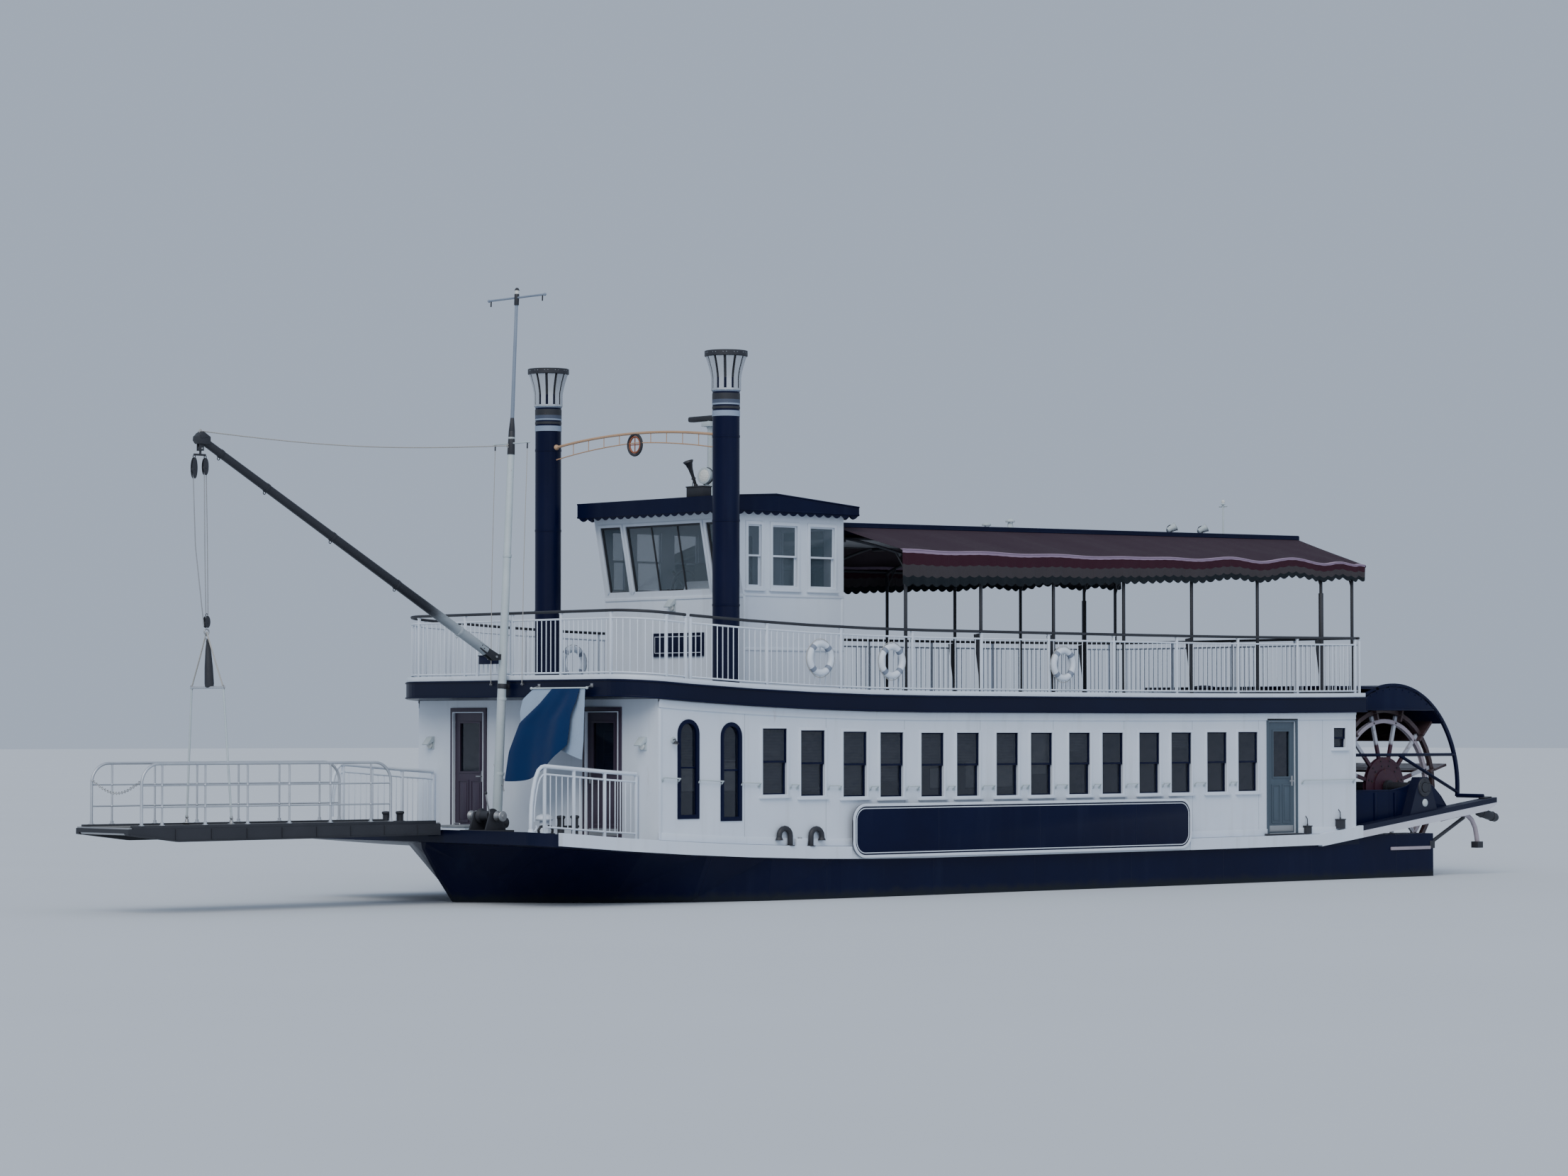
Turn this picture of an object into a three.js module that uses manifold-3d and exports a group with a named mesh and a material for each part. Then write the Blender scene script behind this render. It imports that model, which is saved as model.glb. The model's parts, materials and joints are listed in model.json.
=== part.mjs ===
// A small stern-wheel excursion steamer, in millimetres: +X towards the bow, +Y to port, +Z up.
// The origin is the middle of the flat hull bottom; the boat floats with WATERLINE of hull in the water.
import * as THREE from "three";
import { mergeVertices } from "three/addons/utils/BufferGeometryUtils.js";
import Module from "manifold-3d";

const wasm = await Module();
wasm.setup();

// Driving dimensions
const GAP = 0.3; // between pieces that touch
const BORE_CLEAR = 0.6; // between a pin and its bore
const PAST = 50; // how far a cutting shape runs past the faces that it cuts
const SKY = 12000; // above every piece
const WATERLINE = 900;
const HALF_BEAM = 3065; // cabin walls and hull sides share this plane
const CABIN_FRONT = 8400;
const CABIN_BACK = -8450;
const WALL = 90;
const DECK_TOP = WATERLINE + 800; // main deck amidships
const DECK_THICK = 200;
const BOW_EDGE = 10750; // front edge of the main deck
const FORE_CORNER = 350; // corner radius of the main deck
const STERN_EDGE = -8550; // back edge of the main deck, and front of the wheel well
const GUARD = { wide: 100, above: 20 }; // how far the guard rails stand out, and rise over the deck
const UPPER_LOW = WATERLINE + 3020; // underside of the upper deck amidships
const UPPER_TOP = WATERLINE + 3300;
const UPPER_FRONT = 8950;
const UPPER_BACK = -8650;
const UPPER_HALF = HALF_BEAM + GUARD.wide;
const CORNER = 700; // corner radius of the upper deck
const POST_PITCH = 1759; // of the canopy and of the railings beside it

// The decks rise towards the bow and a little towards the stern: rise = slope * distance squared
const SHEER_FORE = { from: 2400, slope: 5.3e-6 };
const SHEER_AFT = { from: -2000, slope: 0.8e-6 };
const SHEER_STEP = 1300;

// Landing stage and its boom
const STAGE_HINGE = { x: BOW_EDGE + 110, z: WATERLINE + 1130, pin: 22 };
const STAGE_END = 16600;
const STAGE_HALF = 700;
const STAGE_TOP = WATERLINE + 1270;
const MAST = {
  foot: 9180,
  r: 80,
  tipR: 55,
  rake: 0.044, // x lost for each millimetre of height
  top: WATERLINE + 7440,
  topmast: WATERLINE + 9860,
  topmastR: 26,
};
const BOOM_HEEL = { x: 9240, z: WATERLINE + 3900, pin: 20 };
const BOOM_TIP = { x: 14890, z: WATERLINE + 7130 };
const BRIDLE_PIN = { drop: 150, r: 14, half: 20 }; // below the boom's tip
const BRIDLE_RING = { x: 14760, z: WATERLINE + 4210, r: 45 };
const BRIDLE_FOOT = { x: 14700, y: 590, z: STAGE_TOP + 130 };

// Paddle wheel
const WHEEL = { x: -10400, z: WATERLINE + 1660, r: 1780, half: 2250, arms: 12 };
const SHAFT_R = 90;
const WELL_HALF = 2400; // half-width of the wheel well in the hull
const TAIL = -10700; // back end of the hull beside the wheel
const RUDDER = { x: TAIL - 75, y: 2730, long: 700, high: 620, low: 100, top: 860, thick: 60, stock: 45 };
const TIMBER = { end: -12500, low: 2900, depth: 220, height: WATERLINE + 620, rise: 0.12, from: -7400 };

const COLOURS = {
  navy: { color: 0x141d45, roughness: 0.45, metalness: 0 },
  white: { color: 0xe4e8ee, roughness: 0.5, metalness: 0 },
  deck: { color: 0x7d8288, roughness: 0.8, metalness: 0 },
  dark: { color: 0x15171c, roughness: 0.5, metalness: 0.2 },
  maroon: { color: 0x5f1622, roughness: 0.8, metalness: 0 },
  wheel: { color: 0x6e1420, roughness: 0.6, metalness: 0.1 },
  wood: { color: 0x2a1b1b, roughness: 0.7, metalness: 0 },
  silver: { color: 0xb9bec6, roughness: 0.4, metalness: 0.6 },
  pole: { color: 0xa9b4bd, roughness: 0.5, metalness: 0.2 },
  door: { color: 0x2c2a40, roughness: 0.5, metalness: 0 },
};
const materials = Object.fromEntries(
  Object.entries(COLOURS).map(([name, look]) => [name, new THREE.MeshStandardMaterial(look)]),
);

const ship = new THREE.Group();

// Geometry to solid and back
function solidOf(geometry) {
  const bare = new THREE.BufferGeometry();
  bare.setAttribute("position", geometry.getAttribute("position"));
  if (geometry.index) bare.setIndex(geometry.index);
  const merged = mergeVertices(bare, 1e-4);
  return new wasm.Manifold(
    new wasm.Mesh({
      numProp: 3,
      vertProperties: merged.attributes.position.array,
      triVerts: new Uint32Array(merged.index.array),
    }),
  );
}

function join(pieces) {
  return pieces.reduce((whole, piece) => whole.add(piece));
}

function cut(solid, tools) {
  return tools.reduce((left, tool) => left.subtract(tool), solid);
}

function mirrored(solid) {
  return solid.mirror([0, 1, 0]);
}

function add(name, material, solid) {
  const mesh = solid.getMesh();
  const geometry = new THREE.BufferGeometry();
  geometry.setAttribute("position", new THREE.BufferAttribute(mesh.vertProperties, 3));
  geometry.setIndex(new THREE.BufferAttribute(mesh.triVerts, 1));
  geometry.computeVertexNormals();
  const piece = new THREE.Mesh(geometry, materials[material]);
  piece.name = name;
  ship.add(piece);
}

// Adds a piece to port and its mirror image to starboard
function addPair(name, material, solid) {
  add(name + "_port", material, solid);
  add(name + "_starboard", material, mirrored(solid));
}

// Simple solids
function box(x0, x1, y0, y1, z0, z1) {
  const geometry = new THREE.BoxGeometry(x1 - x0, y1 - y0, z1 - z0);
  geometry.translate((x0 + x1) / 2, (y0 + y1) / 2, (z0 + z1) / 2);
  return solidOf(geometry);
}

function prism(points, depth) {
  const shape = new THREE.Shape(points.map(([u, v]) => new THREE.Vector2(u, v)));
  return new THREE.ExtrudeGeometry(shape, { depth, bevelEnabled: false });
}

// A side view of [x, z] points, made solid from y0 to y1
function sideways(points, y0, y1) {
  const geometry = prism(points, y1 - y0);
  geometry.rotateX(Math.PI / 2);
  geometry.translate(0, y1, 0);
  return solidOf(geometry);
}

// A front view of [y, z] points, made solid from x0 to x1
function across(points, x0, x1) {
  const geometry = prism(points, x1 - x0);
  const turn = new THREE.Matrix4().makeBasis(
    new THREE.Vector3(0, 1, 0),
    new THREE.Vector3(0, 0, 1),
    new THREE.Vector3(1, 0, 0),
  );
  geometry.applyMatrix4(turn);
  geometry.translate(x0, 0, 0);
  return solidOf(geometry);
}

// A round bar, or a cone where the two radii differ
function rod(from, to, radius, sides = 8, endRadius = radius) {
  const a = new THREE.Vector3(...from);
  const b = new THREE.Vector3(...to);
  const along = b.clone().sub(a);
  const geometry = new THREE.CylinderGeometry(endRadius, radius, along.length(), sides);
  const upright = new THREE.Vector3(0, 1, 0);
  const turn = new THREE.Quaternion().setFromUnitVectors(upright, along.clone().normalize());
  geometry.applyQuaternion(turn);
  const middle = a.add(b).multiplyScalar(0.5);
  geometry.translate(middle.x, middle.y, middle.z);
  return solidOf(geometry);
}

// A round bar that lies across the ship, from y0 to y1
function crossRod(x, z, y0, y1, radius, sides) {
  return rod([x, y0, z], [x, y1, z], radius, sides);
}

// A tube or bar along a chain of points, with its section turned halfway at each bend
function pipe(points, radius, sides = 8) {
  const path = points.map((point) => new THREE.Vector3(...point));
  const legs = path.slice(1).map((point, i) => point.clone().sub(path[i]).normalize());
  const tangents = path.map((_, i) => {
    const before = legs[Math.max(0, i - 1)];
    const after = legs[Math.min(legs.length - 1, i)];
    return before.clone().add(after).normalize();
  });
  let spoke = new THREE.Vector3(0, 0, 1).cross(tangents[0]);
  if (spoke.length() < 0.1) spoke.set(1, 0, 0);
  spoke.normalize();
  const positions = [];
  path.forEach((centre, i) => {
    if (i > 0) {
      const turn = new THREE.Quaternion().setFromUnitVectors(tangents[i - 1], tangents[i]);
      spoke.applyQuaternion(turn);
    }
    for (let j = 0; j < sides; j++) {
      const angle = (2 * Math.PI * (j + 0.5)) / sides;
      const arm = spoke.clone().applyAxisAngle(tangents[i], angle).multiplyScalar(radius);
      positions.push(...centre.clone().add(arm).toArray());
    }
  });
  return loftedSolid(positions, sides);
}

// Closes a stack of rings, each with `around` points that turn to the left about the way forward.
// Each end is a fan of triangles from the ring's first point.
function loftedSolid(positions, around) {
  const count = positions.length / 3 / around;
  const faces = [];
  for (let i = 0; i + 1 < count; i++)
    for (let j = 0; j < around; j++) {
      const a = i * around + j;
      const b = i * around + ((j + 1) % around);
      faces.push(a, b, a + around, b, b + around, a + around);
    }
  const last = (count - 1) * around;
  for (let j = 1; j + 1 < around; j++) {
    faces.push(0, j + 1, j);
    faces.push(last, last + j, last + j + 1);
  }
  const geometry = new THREE.BufferGeometry();
  geometry.setAttribute("position", new THREE.Float32BufferAttribute(positions, 3));
  geometry.setIndex(faces);
  return solidOf(geometry);
}

// A profile of [radius, z] points turned about a vertical axis at x, y
function turned(profile, x, y, segments = 24) {
  const points = profile.map(([r, z]) => new THREE.Vector2(r, z));
  const geometry = new THREE.LatheGeometry(points, segments);
  geometry.rotateX(Math.PI / 2);
  geometry.translate(x, y, 0);
  return solidOf(geometry);
}

// The sheer is drawn in straight steps, so that decks, walls and rails meet along all their length
function sheerCurve(x) {
  const ahead = Math.max(0, x - SHEER_FORE.from);
  const astern = Math.max(0, SHEER_AFT.from - x);
  return SHEER_FORE.slope * ahead ** 2 + SHEER_AFT.slope * astern ** 2;
}

function sheer(x) {
  const start = Math.floor(x / SHEER_STEP) * SHEER_STEP;
  const share = (x - start) / SHEER_STEP;
  return (1 - share) * sheerCurve(start) + share * sheerCurve(start + SHEER_STEP);
}

// Places between two ends, no further apart than `step`
function stations(x0, x1, step) {
  const count = Math.max(1, Math.ceil(Math.abs(x1 - x0) / step));
  return Array.from({ length: count + 1 }, (_, i) => x0 + ((x1 - x0) * i) / count);
}

// The two ends and each step of the sheer between them
function sheerStations(x0, x1) {
  const places = [x0];
  for (let x = Math.ceil((x0 + 1) / SHEER_STEP) * SHEER_STEP; x < x1 - 1; x += SHEER_STEP)
    places.push(x);
  return [...places, x1];
}

// A band in side view that follows the sheer, from height z0 to z1 amidships
function band(x0, x1, z0, z1) {
  const xs = sheerStations(x0, x1);
  const low = xs.map((x) => [x, z0 + sheer(x)]);
  const high = xs.map((x) => [x, z1 + sheer(x)]).reverse();
  return [...low, ...high];
}

const deckAt = (x) => DECK_TOP + sheer(x);
const upperAt = (x) => UPPER_TOP + sheer(x);
const timberAt = (x) => TIMBER.height + TIMBER.rise * (TIMBER.from - x);
const mastAt = (z) => MAST.foot - MAST.rake * (z - DECK_TOP);
// Height of the foot of a piece with this half-width, on a floor that may slope
const standOn = (floorAt, x, half) => Math.max(floorAt(x - half), floorAt(x + half)) + GAP;

// Hull: stations from aft to the stem, lofted, and the two tails beside the wheel
const LEVELS = [0, 0.15, 0.55, 1]; // shares of the height from keel to deck
const HULL_STATIONS = [
  // x, keel height, half-breadths at the four levels
  [STERN_EDGE, 0, 2700, 3000, HALF_BEAM, HALF_BEAM],
  [4500, 0, 2700, 3000, HALF_BEAM, HALF_BEAM],
  [6000, 0, 2350, 2750, 2960, HALF_BEAM],
  [7300, 0, 1500, 2050, 2600, 3000],
  [8400, 0, 700, 1150, 1950, 2750],
  [9200, 80, 150, 480, 1250, 2250],
  [9800, 620, 60, 220, 720, 1600],
  [10300, 1250, 50, 110, 330, 850],
  [10640, 1760, 40, 45, 60, 90],
];
const HULL_DEPTH = DECK_TOP - DECK_THICK;
const HULL_OVER = 60; // the loft runs this far into the deck, whose underside then cuts it
const TAIL_JOIN = { into: 50, top: 1400 }; // where a tail runs into the hull

function hullLoft() {
  const hullTop = (x) => HULL_DEPTH + sheerCurve(x) + HULL_OVER;
  const rings = HULL_STATIONS.map(([x, keel, ...halves]) => {
    const height = hullTop(x) - keel;
    const port = halves.map((half, i) => [x, half, keel + height * LEVELS[i]]);
    const starboard = port.map(([px, py, pz]) => [px, -py, pz]).reverse();
    return [...port, ...starboard];
  });
  return loftedSolid(rings.flat(2), rings[0].length);
}

function hullTail() {
  const [, , ...halves] = HULL_STATIONS[0];
  const section = [
    [WELL_HALF, 0],
    ...halves.map((half, i) => [half, HULL_DEPTH * LEVELS[i]]),
    [HALF_BEAM, DECK_TOP],
    [WELL_HALF, DECK_TOP],
  ];
  const front = STERN_EDGE + TAIL_JOIN.into;
  const side = [
    [front, 0],
    [front, TAIL_JOIN.top],
    [STERN_EDGE, TAIL_JOIN.top],
    [STERN_EDGE, timberAt(STERN_EDGE) - GAP],
    [TAIL, timberAt(TAIL) - GAP],
    [TAIL, 0],
  ];
  const tail = across(section, TAIL, front).intersect(sideways(side, 0, HALF_BEAM + PAST));
  return join([tail, ...rudderBearings()]);
}

// A step that the rudder stands on, and a ring round its stock above the blade
const BEARING = { aft: 75, into: 20, half: 70, step: 60, ring: 50, above: 30, clear: 1.5 };
function rudderBearings() {
  const plate = (z0, z1) =>
    box(
      RUDDER.x - BEARING.aft,
      TAIL + BEARING.into,
      RUDDER.y - BEARING.half,
      RUDDER.y + BEARING.half,
      z0,
      z1,
    );
  const ring = RUDDER.low + RUDDER.high + BEARING.above;
  const bore = rod(
    [RUDDER.x, RUDDER.y, ring - PAST],
    [RUDDER.x, RUDDER.y, ring + BEARING.ring + PAST],
    RUDDER.stock + BEARING.clear,
    16,
  );
  return [
    plate(RUDDER.low - BEARING.step, RUDDER.low - GAP),
    plate(ring, ring + BEARING.ring).subtract(bore),
  ];
}

const overHull = sideways(
  band(STERN_EDGE - PAST, BOW_EDGE + PAST, HULL_DEPTH - GAP, SKY),
  -HALF_BEAM - PAST,
  HALF_BEAM + PAST,
);
const tail = hullTail();
add("hull", "navy", join([hullLoft().subtract(overHull), tail, mirrored(tail)]));

// A deck's plan, with round front corners
function deckPlan(front, back, half, radius) {
  const shape = new THREE.Shape();
  shape.moveTo(back, -half);
  shape.lineTo(front - radius, -half);
  shape.absarc(front - radius, -half + radius, radius, -Math.PI / 2, 0, false);
  shape.lineTo(front, half - radius);
  shape.absarc(front - radius, half - radius, radius, 0, Math.PI / 2, false);
  shape.lineTo(back, half);
  return new THREE.ExtrudeGeometry(shape, { depth: SKY, bevelEnabled: false, curveSegments: 6 });
}

// A deck with that plan, from height low to high amidships
function deckSlab(front, back, half, radius, low, high) {
  const side = sideways(band(back - PAST, front + PAST, low, high), -half - PAST, half + PAST);
  return side.intersect(solidOf(deckPlan(front, back, half, radius)));
}

// Lugs on the front edge carry the landing stage's hinge pin
const LUG = { y: 450, half: 20, into: 30, long: 50, low: 60, high: 40 };
function stageLugs() {
  return [LUG.y, -LUG.y].map((y) => {
    const plate = box(
      BOW_EDGE - LUG.into,
      STAGE_HINGE.x + LUG.long,
      y - LUG.half,
      y + LUG.half,
      STAGE_HINGE.z - LUG.low,
      STAGE_HINGE.z + LUG.high,
    );
    const bore = STAGE_HINGE.pin + BORE_CLEAR;
    return plate.subtract(crossRod(STAGE_HINGE.x, STAGE_HINGE.z, y - PAST, y + PAST, bore, 24));
  });
}

// Main deck: a square-ended platform that overhangs the pointed bow
function mainDeck() {
  const slab = deckSlab(BOW_EDGE, STERN_EDGE, HALF_BEAM, FORE_CORNER, HULL_DEPTH, DECK_TOP);
  return join([slab, ...stageLugs()]);
}
add("main_deck", "navy", mainDeck());

// White guard rails along both sides, rising at the stern to meet the wheel timbers,
// and thinner behind the name boards
const BOARD = {
  front: 4340,
  back: -3830,
  low: WATERLINE + 650,
  high: WATERLINE + 1530,
  thick: 40,
  letIn: 20,
};
function guardRail() {
  const inner = HALF_BEAM + GAP;
  const end = STERN_EDGE - GAP;
  const low = HULL_DEPTH + GUARD.above;
  const high = DECK_TOP + GUARD.above;
  const rise = [
    [end, timberAt(end)],
    [TIMBER.from, timberAt(TIMBER.from)],
    [TIMBER.from, high + sheer(TIMBER.from)],
    [end, timberAt(STERN_EDGE) + TIMBER.depth],
  ];
  const along = band(TIMBER.from, BOW_EDGE - FORE_CORNER, low, high);
  const rail = join([along, rise].map((view) => sideways(view, inner, inner + GUARD.wide)));
  const outer = inner + GUARD.wide;
  const letIn = box(BOARD.back - 5, BOARD.front + 5, outer - BOARD.letIn, outer + PAST, 0, SKY);
  return rail.subtract(letIn);
}
addPair("guard_rail", "white", guardRail());

// Wheel timbers: beams that carry the wheel behind the hull, each with its bearing block
const BLOCK = { foot: 420, waist: 190, shoulder: 60, cap: 110, rise: 190, into: 60, wide: 200 };
const TIMBER_NOSE = { high: 90, long: 300 }; // the beam's end is cut away from below
function wheelTimber() {
  const start = STERN_EDGE - 2 * GAP;
  const nose = TIMBER.end + TIMBER_NOSE.long;
  const beam = [
    [TIMBER.end, timberAt(TIMBER.end) + TIMBER_NOSE.high],
    [nose, timberAt(nose)],
    [start, timberAt(start)],
    [start, timberAt(start) + TIMBER.depth],
    [TIMBER.end, timberAt(TIMBER.end) + TIMBER.depth],
  ];
  const foot = timberAt(WHEEL.x) + TIMBER.depth - BLOCK.into;
  const block = [
    [WHEEL.x - BLOCK.foot, foot],
    [WHEEL.x + BLOCK.foot, foot],
    [WHEEL.x + BLOCK.waist, WHEEL.z + BLOCK.shoulder],
    [WHEEL.x + BLOCK.cap, WHEEL.z + BLOCK.rise],
    [WHEEL.x - BLOCK.cap, WHEEL.z + BLOCK.rise],
    [WHEEL.x - BLOCK.waist, WHEEL.z + BLOCK.shoulder],
  ];
  const solid = join([
    sideways(beam, TIMBER.low, UPPER_HALF),
    sideways(block, TIMBER.low, TIMBER.low + BLOCK.wide),
  ]);
  const bore = SHAFT_R + BORE_CLEAR;
  return solid.subtract(crossRod(WHEEL.x, WHEEL.z, TIMBER.low - PAST, UPPER_HALF + PAST, bore, 48));
}
addPair("wheel_timber", "white", wheelTimber());

// Cabin walls, with their windows and doorways cut. Heights are above the deck.
const PAIRS = { first: 5952, pitch: 1765, gap: 829, count: 7 };
const WINDOW = { wide: 550, low: 817, high: 1896 };
const ARCHED = { places: [7780, 6880], wide: 390, low: 410, high: 1915 };
const SIDE_DOOR = { x: -6400, wide: 720, high: 2000, sill: 60 };
const AFT_LIGHT = { x: -8000, wide: 360, low: 1570, high: 1950 };
const FRONT_DOOR = { y: 1713, wide: 800, high: 1980, sill: 40 };
const DOOR_THICK = 50;
const DOOR_CLEAR = 6; // all round a leaf
const DOOR_LIGHT = { side: 130, low: 1000, top: 170 }; // the glazed upper panel's margins

function wallHole(x, wide, low, high) {
  const z = deckAt(x);
  return box(x - wide / 2, x + wide / 2, HALF_BEAM - WALL - PAST, HALF_BEAM + PAST, z + low, z + high);
}

function archedHole(x) {
  const r = ARCHED.wide / 2;
  const spring = ARCHED.high - r;
  const arch = crossRod(x, deckAt(x) + spring, HALF_BEAM - WALL - PAST, HALF_BEAM + PAST, r, 16);
  return wallHole(x, ARCHED.wide, ARCHED.low, spring).add(arch);
}

function sideWall() {
  const windows = [];
  for (let i = 0; i < PAIRS.count; i++)
    for (const step of [0, PAIRS.gap]) {
      const x = PAIRS.first - i * PAIRS.pitch - step;
      windows.push(wallHole(x, WINDOW.wide, WINDOW.low, WINDOW.high));
    }
  const doorway = wallHole(SIDE_DOOR.x, SIDE_DOOR.wide, SIDE_DOOR.sill, SIDE_DOOR.sill + SIDE_DOOR.high);
  const light = wallHole(AFT_LIGHT.x, AFT_LIGHT.wide, AFT_LIGHT.low, AFT_LIGHT.high);
  const plain = band(CABIN_BACK, CABIN_FRONT, DECK_TOP + GAP, UPPER_LOW - GAP);
  return cut(sideways(plain, HALF_BEAM - WALL, HALF_BEAM), [
    ...windows,
    ...ARCHED.places.map(archedHole),
    doorway,
    light,
  ]);
}
addPair("cabin_wall", "white", sideWall());

function endWall(x0, x1) {
  const half = HALF_BEAM - WALL - GAP;
  const view = [
    [x0, deckAt(x0) + GAP],
    [x1, deckAt(x1) + GAP],
    [x1, UPPER_LOW + sheer(x1) - GAP],
    [x0, UPPER_LOW + sheer(x0) - GAP],
  ];
  return sideways(view, -half, half);
}

function frontDoorway(y) {
  const half = FRONT_DOOR.wide / 2;
  const z = deckAt(CABIN_FRONT) + FRONT_DOOR.sill;
  return box(CABIN_FRONT - WALL - PAST, CABIN_FRONT + PAST, y - half, y + half, z, z + FRONT_DOOR.high);
}
const doorways = [FRONT_DOOR.y, -FRONT_DOOR.y].map(frontDoorway);
add("cabin_front_wall", "white", cut(endWall(CABIN_FRONT - WALL, CABIN_FRONT), doorways));
add("cabin_back_wall", "white", endWall(CABIN_BACK, CABIN_BACK + WALL));

// Door hinges: barrels on the pivot, each joined to the leaf by a strap
const HINGE = { r: 14, half: 60, reach: 30, lap: 10, places: [0.15, 0.85] };
function hinges(pivot, strap, low, high) {
  const [x, y] = pivot;
  return HINGE.places.flatMap((share) => {
    const z = low + (high - low) * share;
    return [
      rod([x, y, z - HINGE.half], [x, y, z + HINGE.half], HINGE.r - GAP, 12),
      box(...strap, z - HINGE.half, z + HINGE.half),
    ];
  });
}

// Door leaves with a glazed upper panel, hung on the inner face of their wall
function sideDoor() {
  const half = SIDE_DOOR.wide / 2 - DOOR_CLEAR;
  const { x } = SIDE_DOOR;
  const z = deckAt(x) + SIDE_DOOR.sill + DOOR_CLEAR;
  const y0 = HALF_BEAM - WALL / 2 - DOOR_THICK / 2;
  const y1 = y0 + DOOR_THICK;
  const leaf = box(x - half, x + half, y0, y1, z, z + SIDE_DOOR.high - 2 * DOOR_CLEAR);
  const glazed = half - DOOR_LIGHT.side;
  const top = z + SIDE_DOOR.high - DOOR_LIGHT.top;
  const light = box(x - glazed, x + glazed, y0 - PAST, y1 + PAST, z + DOOR_LIGHT.low, top);
  const jamb = x + SIDE_DOOR.wide / 2;
  const face = HALF_BEAM - WALL - HINGE.r;
  const strap = [jamb - HINGE.reach, jamb - DOOR_CLEAR, face - HINGE.lap, y0 + 1];
  return join([leaf.subtract(light), ...hinges([jamb, face], strap, z, z + SIDE_DOOR.high)]);
}
addPair("side_door", "door", sideDoor());

function frontDoor() {
  const half = FRONT_DOOR.wide / 2 - DOOR_CLEAR;
  const { y } = FRONT_DOOR;
  const z = deckAt(CABIN_FRONT) + FRONT_DOOR.sill + DOOR_CLEAR;
  const x0 = CABIN_FRONT - WALL / 2 - DOOR_THICK / 2;
  const x1 = x0 + DOOR_THICK;
  const leaf = box(x0, x1, y - half, y + half, z, z + FRONT_DOOR.high - 2 * DOOR_CLEAR);
  const glazed = half - DOOR_LIGHT.side;
  const top = z + FRONT_DOOR.high - DOOR_LIGHT.top;
  const light = box(x0 - PAST, x1 + PAST, y - glazed, y + glazed, z + DOOR_LIGHT.low, top);
  const jamb = y + FRONT_DOOR.wide / 2;
  const face = CABIN_FRONT - WALL - HINGE.r;
  const strap = [face - HINGE.lap, x0 + 1, jamb - HINGE.reach, jamb - DOOR_CLEAR];
  return join([leaf.subtract(light), ...hinges([face, jamb], strap, z, z + FRONT_DOOR.high)]);
}
addPair("front_door", "door", frontDoor());

// Blank name boards along the guards, held off the cabin sides by blocks
const BOARD_BLOCK = { places: [3900, 1300, -1300, -3400], half: 40, drop: 200, high: 80, into: 10 };
function nameBoard() {
  const y0 = HALF_BEAM + GUARD.wide + 2 * GAP;
  const board = box(BOARD.back, BOARD.front, y0, y0 + BOARD.thick, BOARD.low, BOARD.high);
  const blocks = BOARD_BLOCK.places.map((x) => {
    const low = BOARD.high - BOARD_BLOCK.drop;
    const { half, high, into } = BOARD_BLOCK;
    return box(x - half, x + half, HALF_BEAM + GAP, y0 + into, low, low + high);
  });
  return join([board, ...blocks]);
}
addPair("name_board", "navy", nameBoard());

// Upper deck with its fascia
add("upper_deck", "navy", deckSlab(UPPER_FRONT, UPPER_BACK, UPPER_HALF, CORNER, UPPER_LOW, UPPER_TOP));

// Railings: posts and rails along a line of [x, y, whether a post stands there]
const RAIL = { r: 24, post: 20, levels: [1080, 960, 110] };
function railing(line, floorAt, levels) {
  const rails = levels.map((level) => pipe(line.map(([x, y]) => [x, y, floorAt(x) + level]), RAIL.r, 4));
  const posts = line
    .filter(([, , post]) => post)
    .map(([x, y]) => {
      const foot = standOn(floorAt, x, RAIL.post);
      const top = floorAt(x) + levels[0];
      return box(x - RAIL.post, x + RAIL.post, y - RAIL.post, y + RAIL.post, foot, top);
    });
  return join([...rails, ...posts]);
}

// The front railing goes round both corners and a little way back along the sides
const RAIL_INSET = 90;
const RAIL_RETURN = 400;
const RAIL_PARTING = 100; // between two lengths of railing
const railHalf = UPPER_HALF - RAIL_INSET;
function frontRailLine() {
  const r = CORNER - RAIL_INSET;
  const centre = { x: UPPER_FRONT - CORNER, y: UPPER_HALF - CORNER };
  const corner = [0, 30, 60, 90].map((angle) => {
    const a = (angle * Math.PI) / 180;
    return [centre.x + r * Math.sin(a), centre.y + r * Math.cos(a), angle % 90 === 0];
  });
  const port = [[centre.x - RAIL_RETURN, railHalf, true], ...corner];
  const front = stations(centre.y, -centre.y, 1500)
    .slice(1, -1)
    .map((y) => [UPPER_FRONT - RAIL_INSET, y, true]);
  const starboard = port.map(([x, y, post]) => [x, -y, post]).reverse();
  return [...port, ...front, ...starboard];
}

function sideRailLine() {
  const front = UPPER_FRONT - CORNER - RAIL_RETURN - RAIL_PARTING;
  const back = UPPER_BACK + RAIL_INSET + RAIL_PARTING + RAIL.post;
  return stations(front, back, POST_PITCH).map((x) => [x, railHalf, true]);
}

const aftRailLine = stations(railHalf, -railHalf, 1550).map((y) => [UPPER_BACK + RAIL_INSET, y, true]);
add("upper_railing_front", "white", railing(frontRailLine(), upperAt, RAIL.levels));
addPair("upper_railing", "white", railing(sideRailLine(), upperAt, RAIL.levels));
add("upper_railing_aft", "white", railing(aftRailLine, upperAt, RAIL.levels));

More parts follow.
